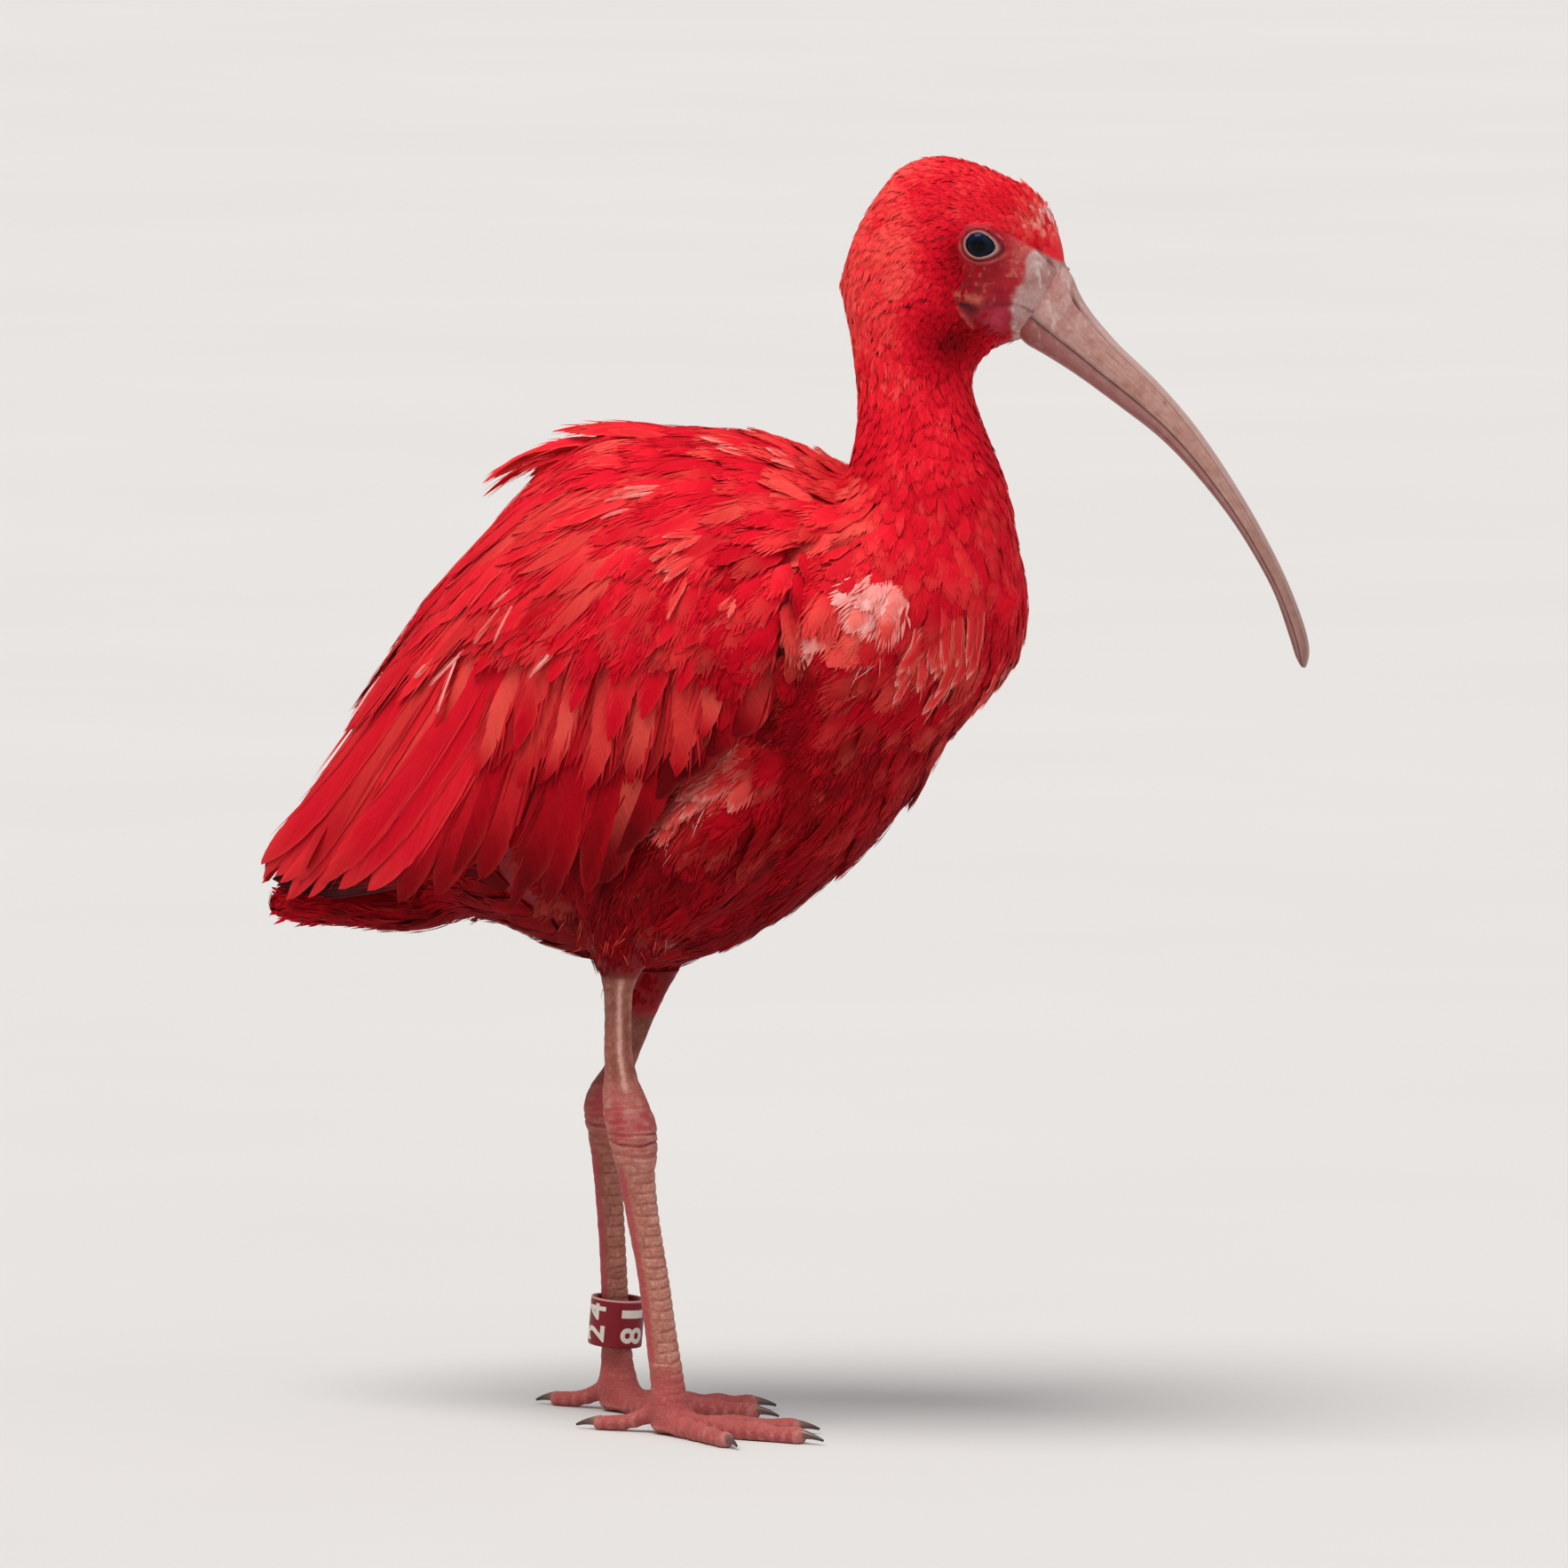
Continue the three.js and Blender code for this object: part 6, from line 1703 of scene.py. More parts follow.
def plumes(name, field, near, reach, gap, tries, length, half, levels, mapping, seed, turn=0.12, rings=7, columns=4, rise=0.6, thick=0.12,
           camber=0.8, tilt=0.35, outline=oval_tip, vary=0.13, raise_some=0.0, tone=0.0, uneven=0.05, some_pale=0.0, pale_share=0.1,
           rim=0.03, slope=0.08, coat=None, way=None, barbs=BARBS, tip_pale=0.0, base_pale=0.0, splits=1, sink=0.7):
    """Broad soft feathers, each one thin vane with barbs frayed at its edge."""
    g = np.random.default_rng(seed)
    root = scatter(field, near, reach, gap, tries, seed)
    n = len(root)
    L = (length(root) if callable(length) else np.full(n, length)) * (1 + vary * g.normal(0, 1, n)).clip(0.65, 1.4)
    H = (half(root) if callable(half) else np.full(n, half)) * (1 + 0.12 * g.normal(0, 1, n)).clip(0.7, 1.35)
    lo, hi = levels
    lo = lo(root) if callable(lo) else np.full(n, lo)
    hi = (hi(root) if callable(hi) else np.full(n, hi)) + 0.25 * g.normal(0, 1, n).clip(-1, 1) + raise_some * g.random(n) ** 6
    spine = march(field, root, L, lo, hi, g.normal(0, turn, n), rings + 1, rise, way)
    tn, pl = markings(spine[0])
    own = (2 * rings) // 3
    tn = 0.6 * tn + 0.4 * tn[:, own:own + 1] + tone + uneven * g.normal(0, 1, (n, 1))
    pl = 0.6 * pl + 0.4 * pl[:, own:own + 1] + some_pale * (g.random((n, 1)) < pale_share) * step(0.3, 0.8, np.linspace(0, 1, rings + 2))
    s = np.linspace(0, 1, rings + 2)
    level = lo[:, None] + (hi - lo)[:, None] * s ** rise - sink * step(0.62, 1.0, s)
    c = coat or Coat(name)
    uv = mapping(root)
    c.vanes(spine[0], field, level, H, uv, tn, pl, 0.0, columns=columns, thick=thick, tilt=tilt * g.normal(0, 1, n).clip(-2, 2), outline=outline,
            chevron=0.03, splits=splits, depth=0.25, waver=0.03, camber=camber, seed=seed + 1, shaft=0.03, slope=slope, rim=rim,
            base_pale=(base_pale, 0.75, 0.4), tip_pale=tip_pale, shade=0.05)
    if barbs:
        c.tufts(spine, uv, barbs, H, 0.08, tn[:, own] + 0.03, pl[:, own], 0.0, rings=2, seed=seed + 2, fray=0.14, sink=0.5 * sink)
    return c


def feathered(h):
    """Whether a place on the head wears feathers; single ones stand out over the bare skin's edge."""
    back = h.copy()
    back[:, 0] -= 3.6 * np.clip(noise(h, 0.7, 2.0) - 0.35, 0, 1) * 2
    return bareness(back) < 0.35


# head
def on_head(p):
    h = to_head(p)
    rho_, w_, _, _ = lid_shape(h)
    bill = (h[:, 0] > 41.5) & (h[:, 2] < 378)
    return (p[:, 2] > 338) & feathered(h) & ~((rho_ < 1.55) & (w_ > -1.0)) & ~bill & (h[:, 0] < 45.5)


def head_length(p):
    h = to_head(p)
    return lerp(3.6, 6.4, step(20, -20, h[:, 0])) * lerp(1, 1.15, step(26, 40, h[:, 0]))


def on_face(p):
    """Short bristles on the bare face, fewer towards the bill."""
    h = to_head(p)
    rho_, w_, _, _ = lid_shape(h)
    away = h[:, 0] - FACE_EDGE(np.clip(h[:, 2], 343, 383.6))[..., 0]
    keep = noise(h, 0.8, 3.0) > lerp(0.22, 0.78, step(0.0, 10.0, away))
    pit = (h[:, 0] > 14.0) & (h[:, 0] < 21) & (h[:, 2] > 352.5) & (h[:, 2] < 358.5)
    return keep & ~pit & (away > -0.5) & (away < 12.5) & (h[:, 2] < 381.5) & (h[:, 2] > 344) & ~((rho_ < 1.62) & (w_ > -1.0))


def on_brow(p):
    h = to_head(p)
    return (h[:, 0] > 33) & (h[:, 0] < 45.8) & (h[:, 2] > 379.5) & feathered(h) & (np.abs(h[:, 1]) < 11.5)


c = soft("coat_head", BODY, body_points, on_head, lambda p: lerp(0.85, 1.08, step(34, -10, to_head(p)[:, 0])), 60000, head_length,
         lambda p: lerp(0.85, 1.3, step(34, -10, to_head(p)[:, 0])), 0.04, (-0.7, lambda p: 0.10 + 0 * p[:, 0]), TUFT3, head_map, 11, turn=0.16, rings=2,
         steps=4, rise=0.4, raise_some=0.6, uneven=0.015, sink=0.25)
soft("", BODY, body_points, on_head, lambda p: 1.30 + 0 * p[:, 0], 40000, 4.6, 1.15, 0.05, (-0.85, -0.16), DOWN, head_map, 12, turn=0.2, rings=2,
     steps=4, rise=0.4, tone=-0.03, uneven=0.02, sink=0.25, coat=c)
soft("", BODY, body_points, on_face, lambda p: 0.74 + 0 * p[:, 0], 60000, 3.2, 0.55, 0.04, (-0.35, 0.42), TUFT3[:3], head_map, 15, turn=0.35, rings=2,
     steps=3, rise=0.3, raise_some=0.4, tone=-0.04, uneven=0.04, sink=0.1, tips=0.2, coat=c)
soft("", BODY, body_points, on_brow, lambda p: 0.95 + 0 * p[:, 0], 40000, 6.0, 0.8, 0.05, (-0.8, 0.6), TUFT3, head_map, 17, turn=0.35, rings=2,
     steps=4, raise_some=1.2, uneven=0.05, sink=0.1, tips=0.45, coat=c)
c.piece(COAT_MAT, "scarlet_feathers")

# neck
c = soft("coat_neck_upper", BODY, body_points, lambda p: (p[:, 2] <= 341) & (p[:, 2] > 308) & (p[:, 0] > 60), lambda p: 1.5 + 0 * p[:, 0], 40000, 7.8,
     1.5, 0.05, (-1.3, 0.25), TUFT4, neck_map, 21, turn=0.16, rings=3, steps=5, rise=0.4, raise_some=0.6, uneven=0.03, sink=0.3)
soft("", BODY, body_points, lambda p: (p[:, 2] <= 343) & (p[:, 2] > 306) & (p[:, 0] > 60), lambda p: 2.1 + 0 * p[:, 0], 30000, 8.0, 1.9, 0.05, (-1.4, -0.2),
     DOWN, neck_map, 22, turn=0.18, rings=3, steps=5, rise=0.4, tone=-0.04, uneven=0.03, sink=0.3, coat=c)
c.piece(COAT_MAT, "scarlet_feathers")
c = plumes("coat_neck_lower", BODY, body_points, lambda p: (p[:, 2] <= 311) & (p[:, 2] > 270) & (p[:, 0] > 70), lambda p: lerp(3.1, 2.2, step(280, 308, p[:, 2])),
       32000, lambda p: lerp(14, 9, step(280, 308, p[:, 2])), lambda p: lerp(2.7, 1.6, step(280, 308, p[:, 2])), (-1.6, 0.3), neck_map, 31,
       turn=0.13, rings=6, columns=2, rise=0.4, camber=0.2, tilt=0.10, raise_some=0.5, barbs=BARBS[2:], sink=0.5, some_pale=0.12, pale_share=0.3, uneven=0.035, outline=point_tip)
soft("", BODY, body_points, lambda p: (p[:, 2] <= 312) & (p[:, 2] > 270) & (p[:, 0] > 70), lambda p: 3.2 + 0 * p[:, 0], 30000, 13.0, 3.0, 0.06, (-1.7, -0.25),
     DOWN, neck_map, 32, turn=0.16, rings=4, steps=5, rise=0.4, tone=-0.05, uneven=0.03, sink=0.3, coat=c)
c.piece(COAT_MAT, "scarlet_feathers")

# breast and belly
def off_legs(p):
    out = np.ones(len(p), bool)
    for n_, l_ in LEGS.items():
        c_ = LEG_AT[n_](p[:, 2])
        r_ = np.hypot((p[:, 0] - c_[:, 0]) / c_[:, 2], (p[:, 1] - c_[:, 1]) / c_[:, 3])
        out &= ~((r_ < 1.6) & (p[:, 2] < 168) & (np.sign(p[:, 1]) == l_["side"]))
    return out


plumes("coat_breast", BODY, body_points, lambda p: (p[:, 2] <= 277) & (p[:, 2] > 212) & (p[:, 0] > 70), lambda p: 3.45 + 0 * p[:, 0], 32000, 19.0, 3.7,
       (-2.2, 0.6), body_map, 41, turn=0.17, raise_some=3.0, some_pale=0.13, pale_share=0.25, tone=-0.05, tilt=0.3, outline=point_tip).piece(COAT_MAT, "scarlet_feathers")
plumes("coat_flank", BODY, body_points, lambda p: (p[:, 2] <= 240) & (p[:, 2] > 150) & (p[:, 0] <= 100) & (p[:, 0] > -8) & (np.abs(p[:, 1]) > 22) & off_legs(p),
       lambda p: 4.1 + 0 * p[:, 0], 32000, 25.0, 4.2, (-2.3, 0.6), body_map, 51, turn=0.14, raise_some=2.2, some_pale=0.12,
       tilt=0.35, outline=point_tip).piece(COAT_MAT, "scarlet_feathers")
plumes("coat_belly", BODY, body_points, lambda p: (p[:, 2] < 214) & (p[:, 0] > -66) & (np.abs(p[:, 1]) <= 28) & (p[:, 2] > 143) & off_legs(p),
       lambda p: 4.4 + 0 * p[:, 0], 26000, 23.0, 4.4, (-2.3, 0.5), under_map, 61, turn=0.16, raise_some=2.2,
       tilt=0.35, outline=point_tip).piece(COAT_MAT, "scarlet_feathers")


# thighs
def on_thigh(p):
    out = np.zeros(len(p), bool)
    for n_, l_ in LEGS.items():
        c_ = LEG_AT[n_](p[:, 2])
        r_ = np.hypot((p[:, 0] - c_[:, 0]) / c_[:, 2], (p[:, 1] - c_[:, 1]) / c_[:, 3])
        out |= (r_ < 1.35) & (p[:, 2] < 178) & (p[:, 2] > l_["feather_end"] + 8.5) & (np.sign(p[:, 1]) == l_["side"])
    return out


plumes("coat_thighs", BODY, body_points, on_thigh, lambda p: lerp(2.2, 4.6, step(140, 165, p[:, 2])), 30000,
       lambda p: lerp(7.5, 18, step(145, 168, p[:, 2])), lambda p: lerp(1.5, 3.6, step(142, 168, p[:, 2])),
       (lambda p: lerp(-1.3, -2.8, step(140, 165, p[:, 2])), 0.3), under_map, 71, turn=0.14, rings=6, columns=2, camber=0.25, tilt=0.2,
       raise_some=1.2).piece(COAT_MAT, "scarlet_feathers")


# back and shoulders
def on_back(p):
    return (p[:, 2] > 250) & (p[:, 0] < 84) & (p[:, 0] > -72) & ((p[:, 2] > 288) | (np.abs(p[:, 1]) < 30))


plumes("coat_back", BACKS, back_points, on_back, lambda p: lerp(5.2, 6.8, step(60, -20, p[:, 0])), 34000, lambda p: lerp(20, 40, step(78, 0, p[:, 0])),
       lambda p: lerp(3.8, 4.6, step(76, 0, p[:, 0])), (-2.0, 1.3), body_map, 81, turn=0.12, rings=11, columns=4, camber=0.5, tilt=0.22, rise=0.5,
       outline=point_tip, raise_some=1.0, some_pale=0.15, pale_share=0.4, tone=-0.02, rim=0.08, tip_pale=0.05, splits=2, sink=0.6, uneven=0.07, slope=0.16).piece(COAT_MAT, "scarlet_feathers")


# lesser coverts
def on_lesser(p):
    ok = (p[:, 0] > -12) & (p[:, 0] < 86) & (p[:, 2] <= 292) & (np.abs(p[:, 1]) > 30)
    return ok & (p[:, 2] > lerp(262, 248, step(40, 78, p[:, 0])))


plumes("coat_lesser", WING, back_points, on_lesser, lambda p: 5.0 + 0 * p[:, 0], 32000, lambda p: lerp(27, 17, step(20, 80, p[:, 0])), 4.1,
       (-2.2, 1.4), body_map, 91, turn=0.12, rings=8, columns=4, camber=0.6, tilt=0.25, raise_some=0.6, some_pale=0.14, pale_share=0.35, tone=-0.03,
       outline=point_tip, rim=0.06, uneven=0.07, sink=0.6, rise=0.5).piece(COAT_MAT, "scarlet_feathers")

# ------------------------------------------------- wing: coverts and quills

_wing = table(WINGS)


def on_wing(x, z, side):
    """The point of the folded wing's surface at a side-view place."""
    top, bottom, mid, half = np.moveaxis(_wing(x), -1, 0)
    a = np.clip((-132 + 12 - x) / 12, 0, 0.995)
    b = np.clip((x - 88 + 14) / 14, 0, 0.995)
    cap = np.sqrt(1 - a * a) * np.sqrt(1 - b * b)
    dz = z - mid
    h = np.where(dz > 0, top - mid, mid - bottom)
    e = np.where(dz > 0, 0.95, 0.92)
    B_ = np.clip(np.abs(dz) / (h * cap), 0, 0.995)
    y = cap * half * np.clip(1 - B_ ** (2 / e), 0.0, 1) ** 0.47
    zz = mid + np.sign(dz) * B_ * h * cap
    return np.stack([x, side * y, zz], -1)


def wing_spines(roots, tips, count, side, rings, bow=0.0, seed=0, spread_=0.0, jitter=0.0):
    g = np.random.default_rng(seed)
    t = (np.arange(count) + 0.5) / count
    t = np.clip(t + g.normal(0, jitter, count), 0, 1)
    R_ = table([[i / (len(roots) - 1), *r] for i, r in enumerate(roots)])(t)
    T_ = table([[i / (len(tips) - 1), *r] for i, r in enumerate(tips)])(t)
    T_ = T_ + g.normal(0, spread_, T_.shape)
    s = np.linspace(0, 1, rings + 2)[None, :, None]
    d = T_ - R_
    perp = np.stack([d[:, 1], -d[:, 0]], -1)
    q = R_[:, None] + d[:, None] * s + perp[:, None] * bow * 4 * s * (1 - s)
    return on_wing(q[..., 0], q[..., 1], side), t


def wing_rows(rows, side, rings, bow, seed, shake=0.8):
    """Spines for feathers placed one by one: root x, z, tip x, z, half width."""
    g = np.random.default_rng(seed)
    r = np.array(rows, float)
    r = r + g.normal(0, 1, r.shape) * np.array([shake, shake, shake, shake, 0.15 * shake])
    s = np.linspace(0, 1, rings + 2)[None, :, None]
    a, b = r[:, None, 0:2], r[:, None, 2:4]
    d = b - a
    perp = np.stack([d[..., 1], -d[..., 0]], -1)
    q = a + d * s + perp * bow * 4 * s * (1 - s)
    return on_wing(q[..., 0], q[..., 1], side), r[:, 4]


def fringe(c, P, field, level, half, uv, tone, pale, seed, barbs=None, fray=0.12, sink=0.25):
    """Barbs along the edges of feathers whose spines lie over a field."""
    v, n = field.sample(P)
    level = np.broadcast_to(level, P.shape[:2])
    P = P - n * (v - level)[..., None]
    T = unit(np.gradient(P, axis=1))
    S = unit(np.cross(n, T))
    c.tufts((P, S, unit(np.cross(T, S))), uv, BARBS if barbs is None else barbs, half, 0.08, tone, pale, 0.0, rings=2, seed=seed, fray=fray, sink=sink)


def wing_map(P, side):
    root = P[:, P.shape[1] // 3]
    return np.stack([root[:, 0], root[:, 2]], -1)


# root line and tip line in the side view, from the wrist to the back
PRIMARY = dict(roots=[(74, 246), (60, 240), (44, 236)], tips=[(-98, 163), (-116, 164), (-130.5, 168)])
SECONDARY = dict(roots=[(80, 264), (70, 262), (54, 260), (38, 260), (24, 260), (10, 262), (-6, 264), (-20, 266)],
                 tips=[(68, 231), (48, 211), (28, 200), (10, 176), (-3, 168), (-24, 171), (-44, 174), (-72, 164)])
TERTIAL = dict(roots=[(6, 268), (-4, 280), (-14, 292), (-24, 296), (-34, 288)],
               tips=[(-76, 166), (-96, 165), (-114, 165), (-127, 168), (-133, 173)])
SCAPULAR = dict(roots=[(58, 290), (36, 294), (14, 296), (-8, 296), (-28, 290)],
                tips=[(26, 256), (0, 250), (-30, 246), (-58, 236), (-84, 216)])
SCAPULAR2 = dict(roots=[(66, 298), (44, 303), (20, 306), (-4, 304), (-24, 298)],
                 tips=[(40, 270), (10, 265), (-20, 264), (-48, 256), (-72, 238)])
SCAPULAR3 = dict(roots=[(72, 302), (50, 305), (28, 309), (6, 309), (-14, 304)],
                 tips=[(48, 282), (20, 280), (-8, 282), (-34, 276), (-58, 258)])
GREATER = [(-22, 268, -46, 222, 5.2), (-10, 262, -30, 207, 5.6), (3, 260, -14, 204, 6.2), (12, 258, -3, 208, 5.0), (23, 258, 11, 204, 6.4),
           (35, 258, 26, 207, 6.0), (47, 258, 40, 210, 6.6), (58, 260, 52, 223, 5.4), (68, 262, 62, 235, 4.8)]
MEDIAN = [(-30, 276, -52, 246, 4.8), (-12, 276, -30, 238, 5.6), (1, 274, -13, 215, 5.8), (10, 274, 0, 239, 5.0), (18, 272, 7, 227, 5.4),
          (30, 272, 20, 220, 5.6), (42, 272, 32, 227, 5.6), (54, 272, 45, 238, 5.0), (64, 272, 56, 244, 4.6), (74, 274, 67, 250, 4.4)]
MEDIAN2 = dict(roots=[(80, 278), (66, 280), (50, 282), (34, 282), (18, 284), (2, 284), (-14, 287)],
               tips=[(68, 256), (52, 246), (34, 246), (16, 246), (-4, 244), (-22, 246), (-44, 256)])

for side_name, side in (("right", -1), ("left", 1)):
    sd = 100 if side < 0 else 300
    g = np.random.default_rng(sd + 50)
    c = Coat("quills_" + side_name)
    lev = lambda lo, hi, n_: np.linspace(0, 1, n_ + 2)[None] ** 0.6 * (hi - lo) + lo
    # flight feathers, the inner ones lying over the outer ones
    P_, t_ = wing_spines(**PRIMARY, count=6, side=side, rings=40, bow=-0.05, seed=sd)
    c.vanes(P_, WING, lev(-7, -3.4, 40) + 0.3 * t_[:, None], 6.6, wing_map(P_, side), 0.30, 0.0, 0.0, columns=8, tilt=-0.35 * side, tip_dark=1.0,
            outline=point_tip, seed=sd + 1)
    P_, t_ = wing_spines(**SECONDARY, count=16, side=side, rings=36, bow=-0.04 + 0.015 * g.normal(0, 1, (16, 1, 1)), seed=sd + 2, spread_=2.2, jitter=0.012)
    s_ = np.linspace(0, 1, 38)[None]
    n_ = len(P_)
    own = 0.41 + 0.05 * g.normal(0, 1, (n_, 1))
    L_, H_, U_ = lev(-5, -2.6, 36) + 0.9 * t_[:, None], 6.8 + 0.8 * g.normal(0, 1, n_), wing_map(P_, side)
    # darker towards the lower tips: partly their own deeper red, partly painted shade under the wing, with more painted
    # shade at the wing's front lower corner
    c.vanes(P_, WING, L_, H_, U_, own - 0.32 * step(0.64, 1.0, s_) - 0.20 * spots(P_, CORNER), np.clip(0.10 * g.normal(0.3, 1, (n_, 1)), 0, 1) * step(0.9, 0.6, s_), 0.0, columns=8,
            camber=0.5, tilt=-0.3 * side, outline=quill_tip, seed=sd + 3, splits=3, depth=0.3, shade=0.08)
    fringe(c, P_, WING, L_, 0.9 * H_, U_, own[:, 0] - 0.16, 0.0, sd + 60, barbs=BARBS[:7])
    P_, t_ = wing_spines(**TERTIAL, count=13, side=side, rings=44, bow=-0.05 + 0.018 * g.normal(0, 1, (13, 1, 1)), seed=sd + 4, jitter=0.02, spread_=2.4)
    s_ = np.linspace(0, 1, 46)[None]
    n_ = len(P_)
    own = 0.66 + 0.08 * g.normal(0, 1, (n_, 1))
    L_, H_, U_ = lev(-3.5, -0.6, 44) + 0.7 * t_[:, None] + 0.5 * g.normal(0, 1, n_)[:, None] * step(0.1, 0.6, s_), 6.3 + 0.7 * g.normal(0, 1, n_), wing_map(P_, side)
    c.vanes(P_, WING, L_, H_, U_, own - 0.05 * step(0.6, 1.0, s_), 0.20 * g.random((n_, 1)) ** 2 * step(0.95, 0.55, s_), 0.0, columns=10,
            tilt=-0.35 * side + 0.25 * g.normal(0, 1, n_), camber=0.5, tip_pale=0.08, outline=quill_tip, seed=sd + 5, splits=3, depth=0.25, rim=0.08)
    fringe(c, P_, WING, L_, 0.9 * H_, U_, own[:, 0], 0.05, sd + 61, barbs=BARBS[1:6])
    c.piece(VANE_MAT, "wing_feathers")
    c = Coat("coverts_" + side_name)
    P_, h_ = wing_rows(GREATER, side, 26, -0.03, sd + 6)
    P_ = np.concatenate([P_, wing_rows([(a_ + 6, b_ + 1, c_ + 6, d_ + 2, e_) for a_, b_, c_, d_, e_ in GREATER[:-1]], side, 26, -0.03, sd + 16)[0]])
    low = np.arange(len(P_)) >= len(h_)
    h_ = np.concatenate([h_, h_[:-1]])
    own = np.where(low, 0.40, 0.60) + 0.06 * g.normal(0, 1, len(P_)) - 0.20 * spots(P_[:, -4], CORNER)
    L_ = lev(-3.6, -0.7, 26) - 0.9 * low[:, None]
    c.vanes(P_, WING, L_, 0.92 * h_, wing_map(P_, side), own, 0.0, 0.0, columns=8, tilt=-0.3 * side + 0.2 * g.normal(0, 1, len(P_)), slope=-0.40,
            outline=point_tip, seed=sd + 7, base_pale=(np.where(low, 0.05, 0.30) * g.uniform(0.5, 1.15, len(P_)), 0.98, 0.66), chevron=0.07, splits=3,
            depth=0.45, camber=0.4)
    fringe(c, P_, WING, L_, 0.92 * h_, wing_map(P_, side), own - 0.08, np.where(low, 0.0, 0.05), sd + 62)
    P_, h_ = wing_rows(MEDIAN, side, 22, -0.03, sd + 8)
    own = 0.60 + 0.06 * g.normal(0, 1, len(P_))
    c.vanes(P_, WING, lev(-3.0, 0.4, 22), 0.9 * h_, wing_map(P_, side), own, 0.0, 0.0, columns=8,
            tilt=-0.3 * side + 0.25 * g.normal(0, 1, len(P_)), slope=-0.20, base_pale=(0.25 * g.random(len(P_)), 0.85, 0.5), outline=point_tip, seed=sd + 9,
            splits=3, depth=0.4, chevron=0.08)
    fringe(c, P_, WING, lev(-3.0, 0.4, 22), 0.9 * h_, wing_map(P_, side), own, 0.05, sd + 63)
    P_, t_ = wing_spines(**MEDIAN2, count=17, side=side, rings=18, bow=-0.03, seed=sd + 10, spread_=3.4, jitter=0.02)
    own = 0.64 + 0.08 * g.normal(0, 1, len(P_))
    L_ = lev(-3.0, 1.0, 18) + 0.3 * g.normal(0, 1, len(P_))[:, None]
    c.vanes(P_, WING, L_, 4.6 + 0.5 * g.normal(0, 1, len(P_)), wing_map(P_, side), own, 0.0, 0.0, columns=8,
            tilt=-0.3 * side + 0.3 * g.normal(0, 1, len(P_)), slope=-0.12, base_pale=(0.3 * g.random(len(P_)), 0.85, 0.5), outline=point_tip,
            seed=sd + 11, splits=3, depth=0.4, chevron=0.08, tip_pale=0.06)
    fringe(c, P_, WING, L_, 4.6, wing_map(P_, side), own, 0.06, sd + 64)
    c.piece(VANE_MAT, "wing_feathers")
    # long shoulder feathers, draped over the folded wing
    c = Coat("scapulars_" + side_name)
    for rows, count, top, wide, base, more in ((SCAPULAR, 17, 1.3, 5.4, 0.60, 20), (SCAPULAR2, 15, 1.9, 5.0, 0.66, 30), (SCAPULAR3, 13, 2.4, 4.6, 0.70, 40)):
        P_, t_ = wing_spines(**rows, count=count, side=side, rings=24, bow=-0.05, seed=sd + more, spread_=3.4, jitter=0.02)
        n_ = len(P_)
        uneven = g.normal(0, 1, n_)
        L_ = lev(-2.4, top, 24) + 0.35 * g.normal(0, 1, n_)[:, None] - 0.5 * step(0.75, 1.0, np.linspace(0, 1, 26))[None]
        H_ = 0.9 * wide + 0.5 * g.normal(0, 1, n_)
        own_pale = 0.18 * (g.random(n_) > 0.6) * g.random(n_)
        c.vanes(P_, BACKS, L_, H_, wing_map(P_, side), base - 0.03 + 0.09 * uneven, own_pale, 0.0, columns=8,
                tilt=-0.35 * side + 0.3 * g.normal(0, 1, n_), slope=0.05, rim=0.08, camber=0.5, base_pale=(0.22 * g.random(n_), 0.85, 0.5),
                outline=point_tip, seed=sd + more + 1, splits=2, depth=0.3, chevron=0.07, tip_pale=0.05)
        fringe(c, P_, BACKS, L_, H_, wing_map(P_, side), base + 0.09 * uneven, own_pale + 0.05, sd + more + 2)
    c.piece(VANE_MAT, "wing_feathers")

# ---------------------------------------------------------------------- tail

c = Coat("tail_feathers")
tail_field = body_field([[-127.5, 166, 155.6, 159, 14.5], [-112, 169, 153.4, 160, 19], [-95, 173, 153, 161, 22],
                         [-78, 177, 153.4, 163, 24], [-58, 182, 156, 166, 22.5]], 7, 8, 0.8, 0.8, 0.8)
count = 12
u_ = (np.arange(count) + 0.5) / count * 2 - 1
s_ = np.linspace(0, 1, 36)
px = lerp(-52, -125 + 3.0 * u_[:, None] ** 2, s_[None])
py = u_[:, None] * lerp(7, 12.5, s_[None])
pz = lerp(164, 157.2, s_[None]) + 3.4 * (1 - u_[:, None] ** 2) * np.ones_like(s_)[None] - 0.6 * np.arange(count)[:, None] % 2 * 0.3
P_ = np.stack([px, py, pz], -1)
up_ = np.broadcast_to(np.array([0.05, 0, 1.0]), P_.shape) + np.stack([0 * px, 0.35 * u_[:, None] + 0 * px, 0 * px], -1)
c.vanes(P_, WING, 0.0, 6.6, np.stack([np.arange(count), np.zeros(count)], -1) + np.random.default_rng(5).random((count, 2)), 0.46, 0.0, 0.0, columns=8,
        settle=False, normals=unit(up_), outline=round_tip, seed=501)
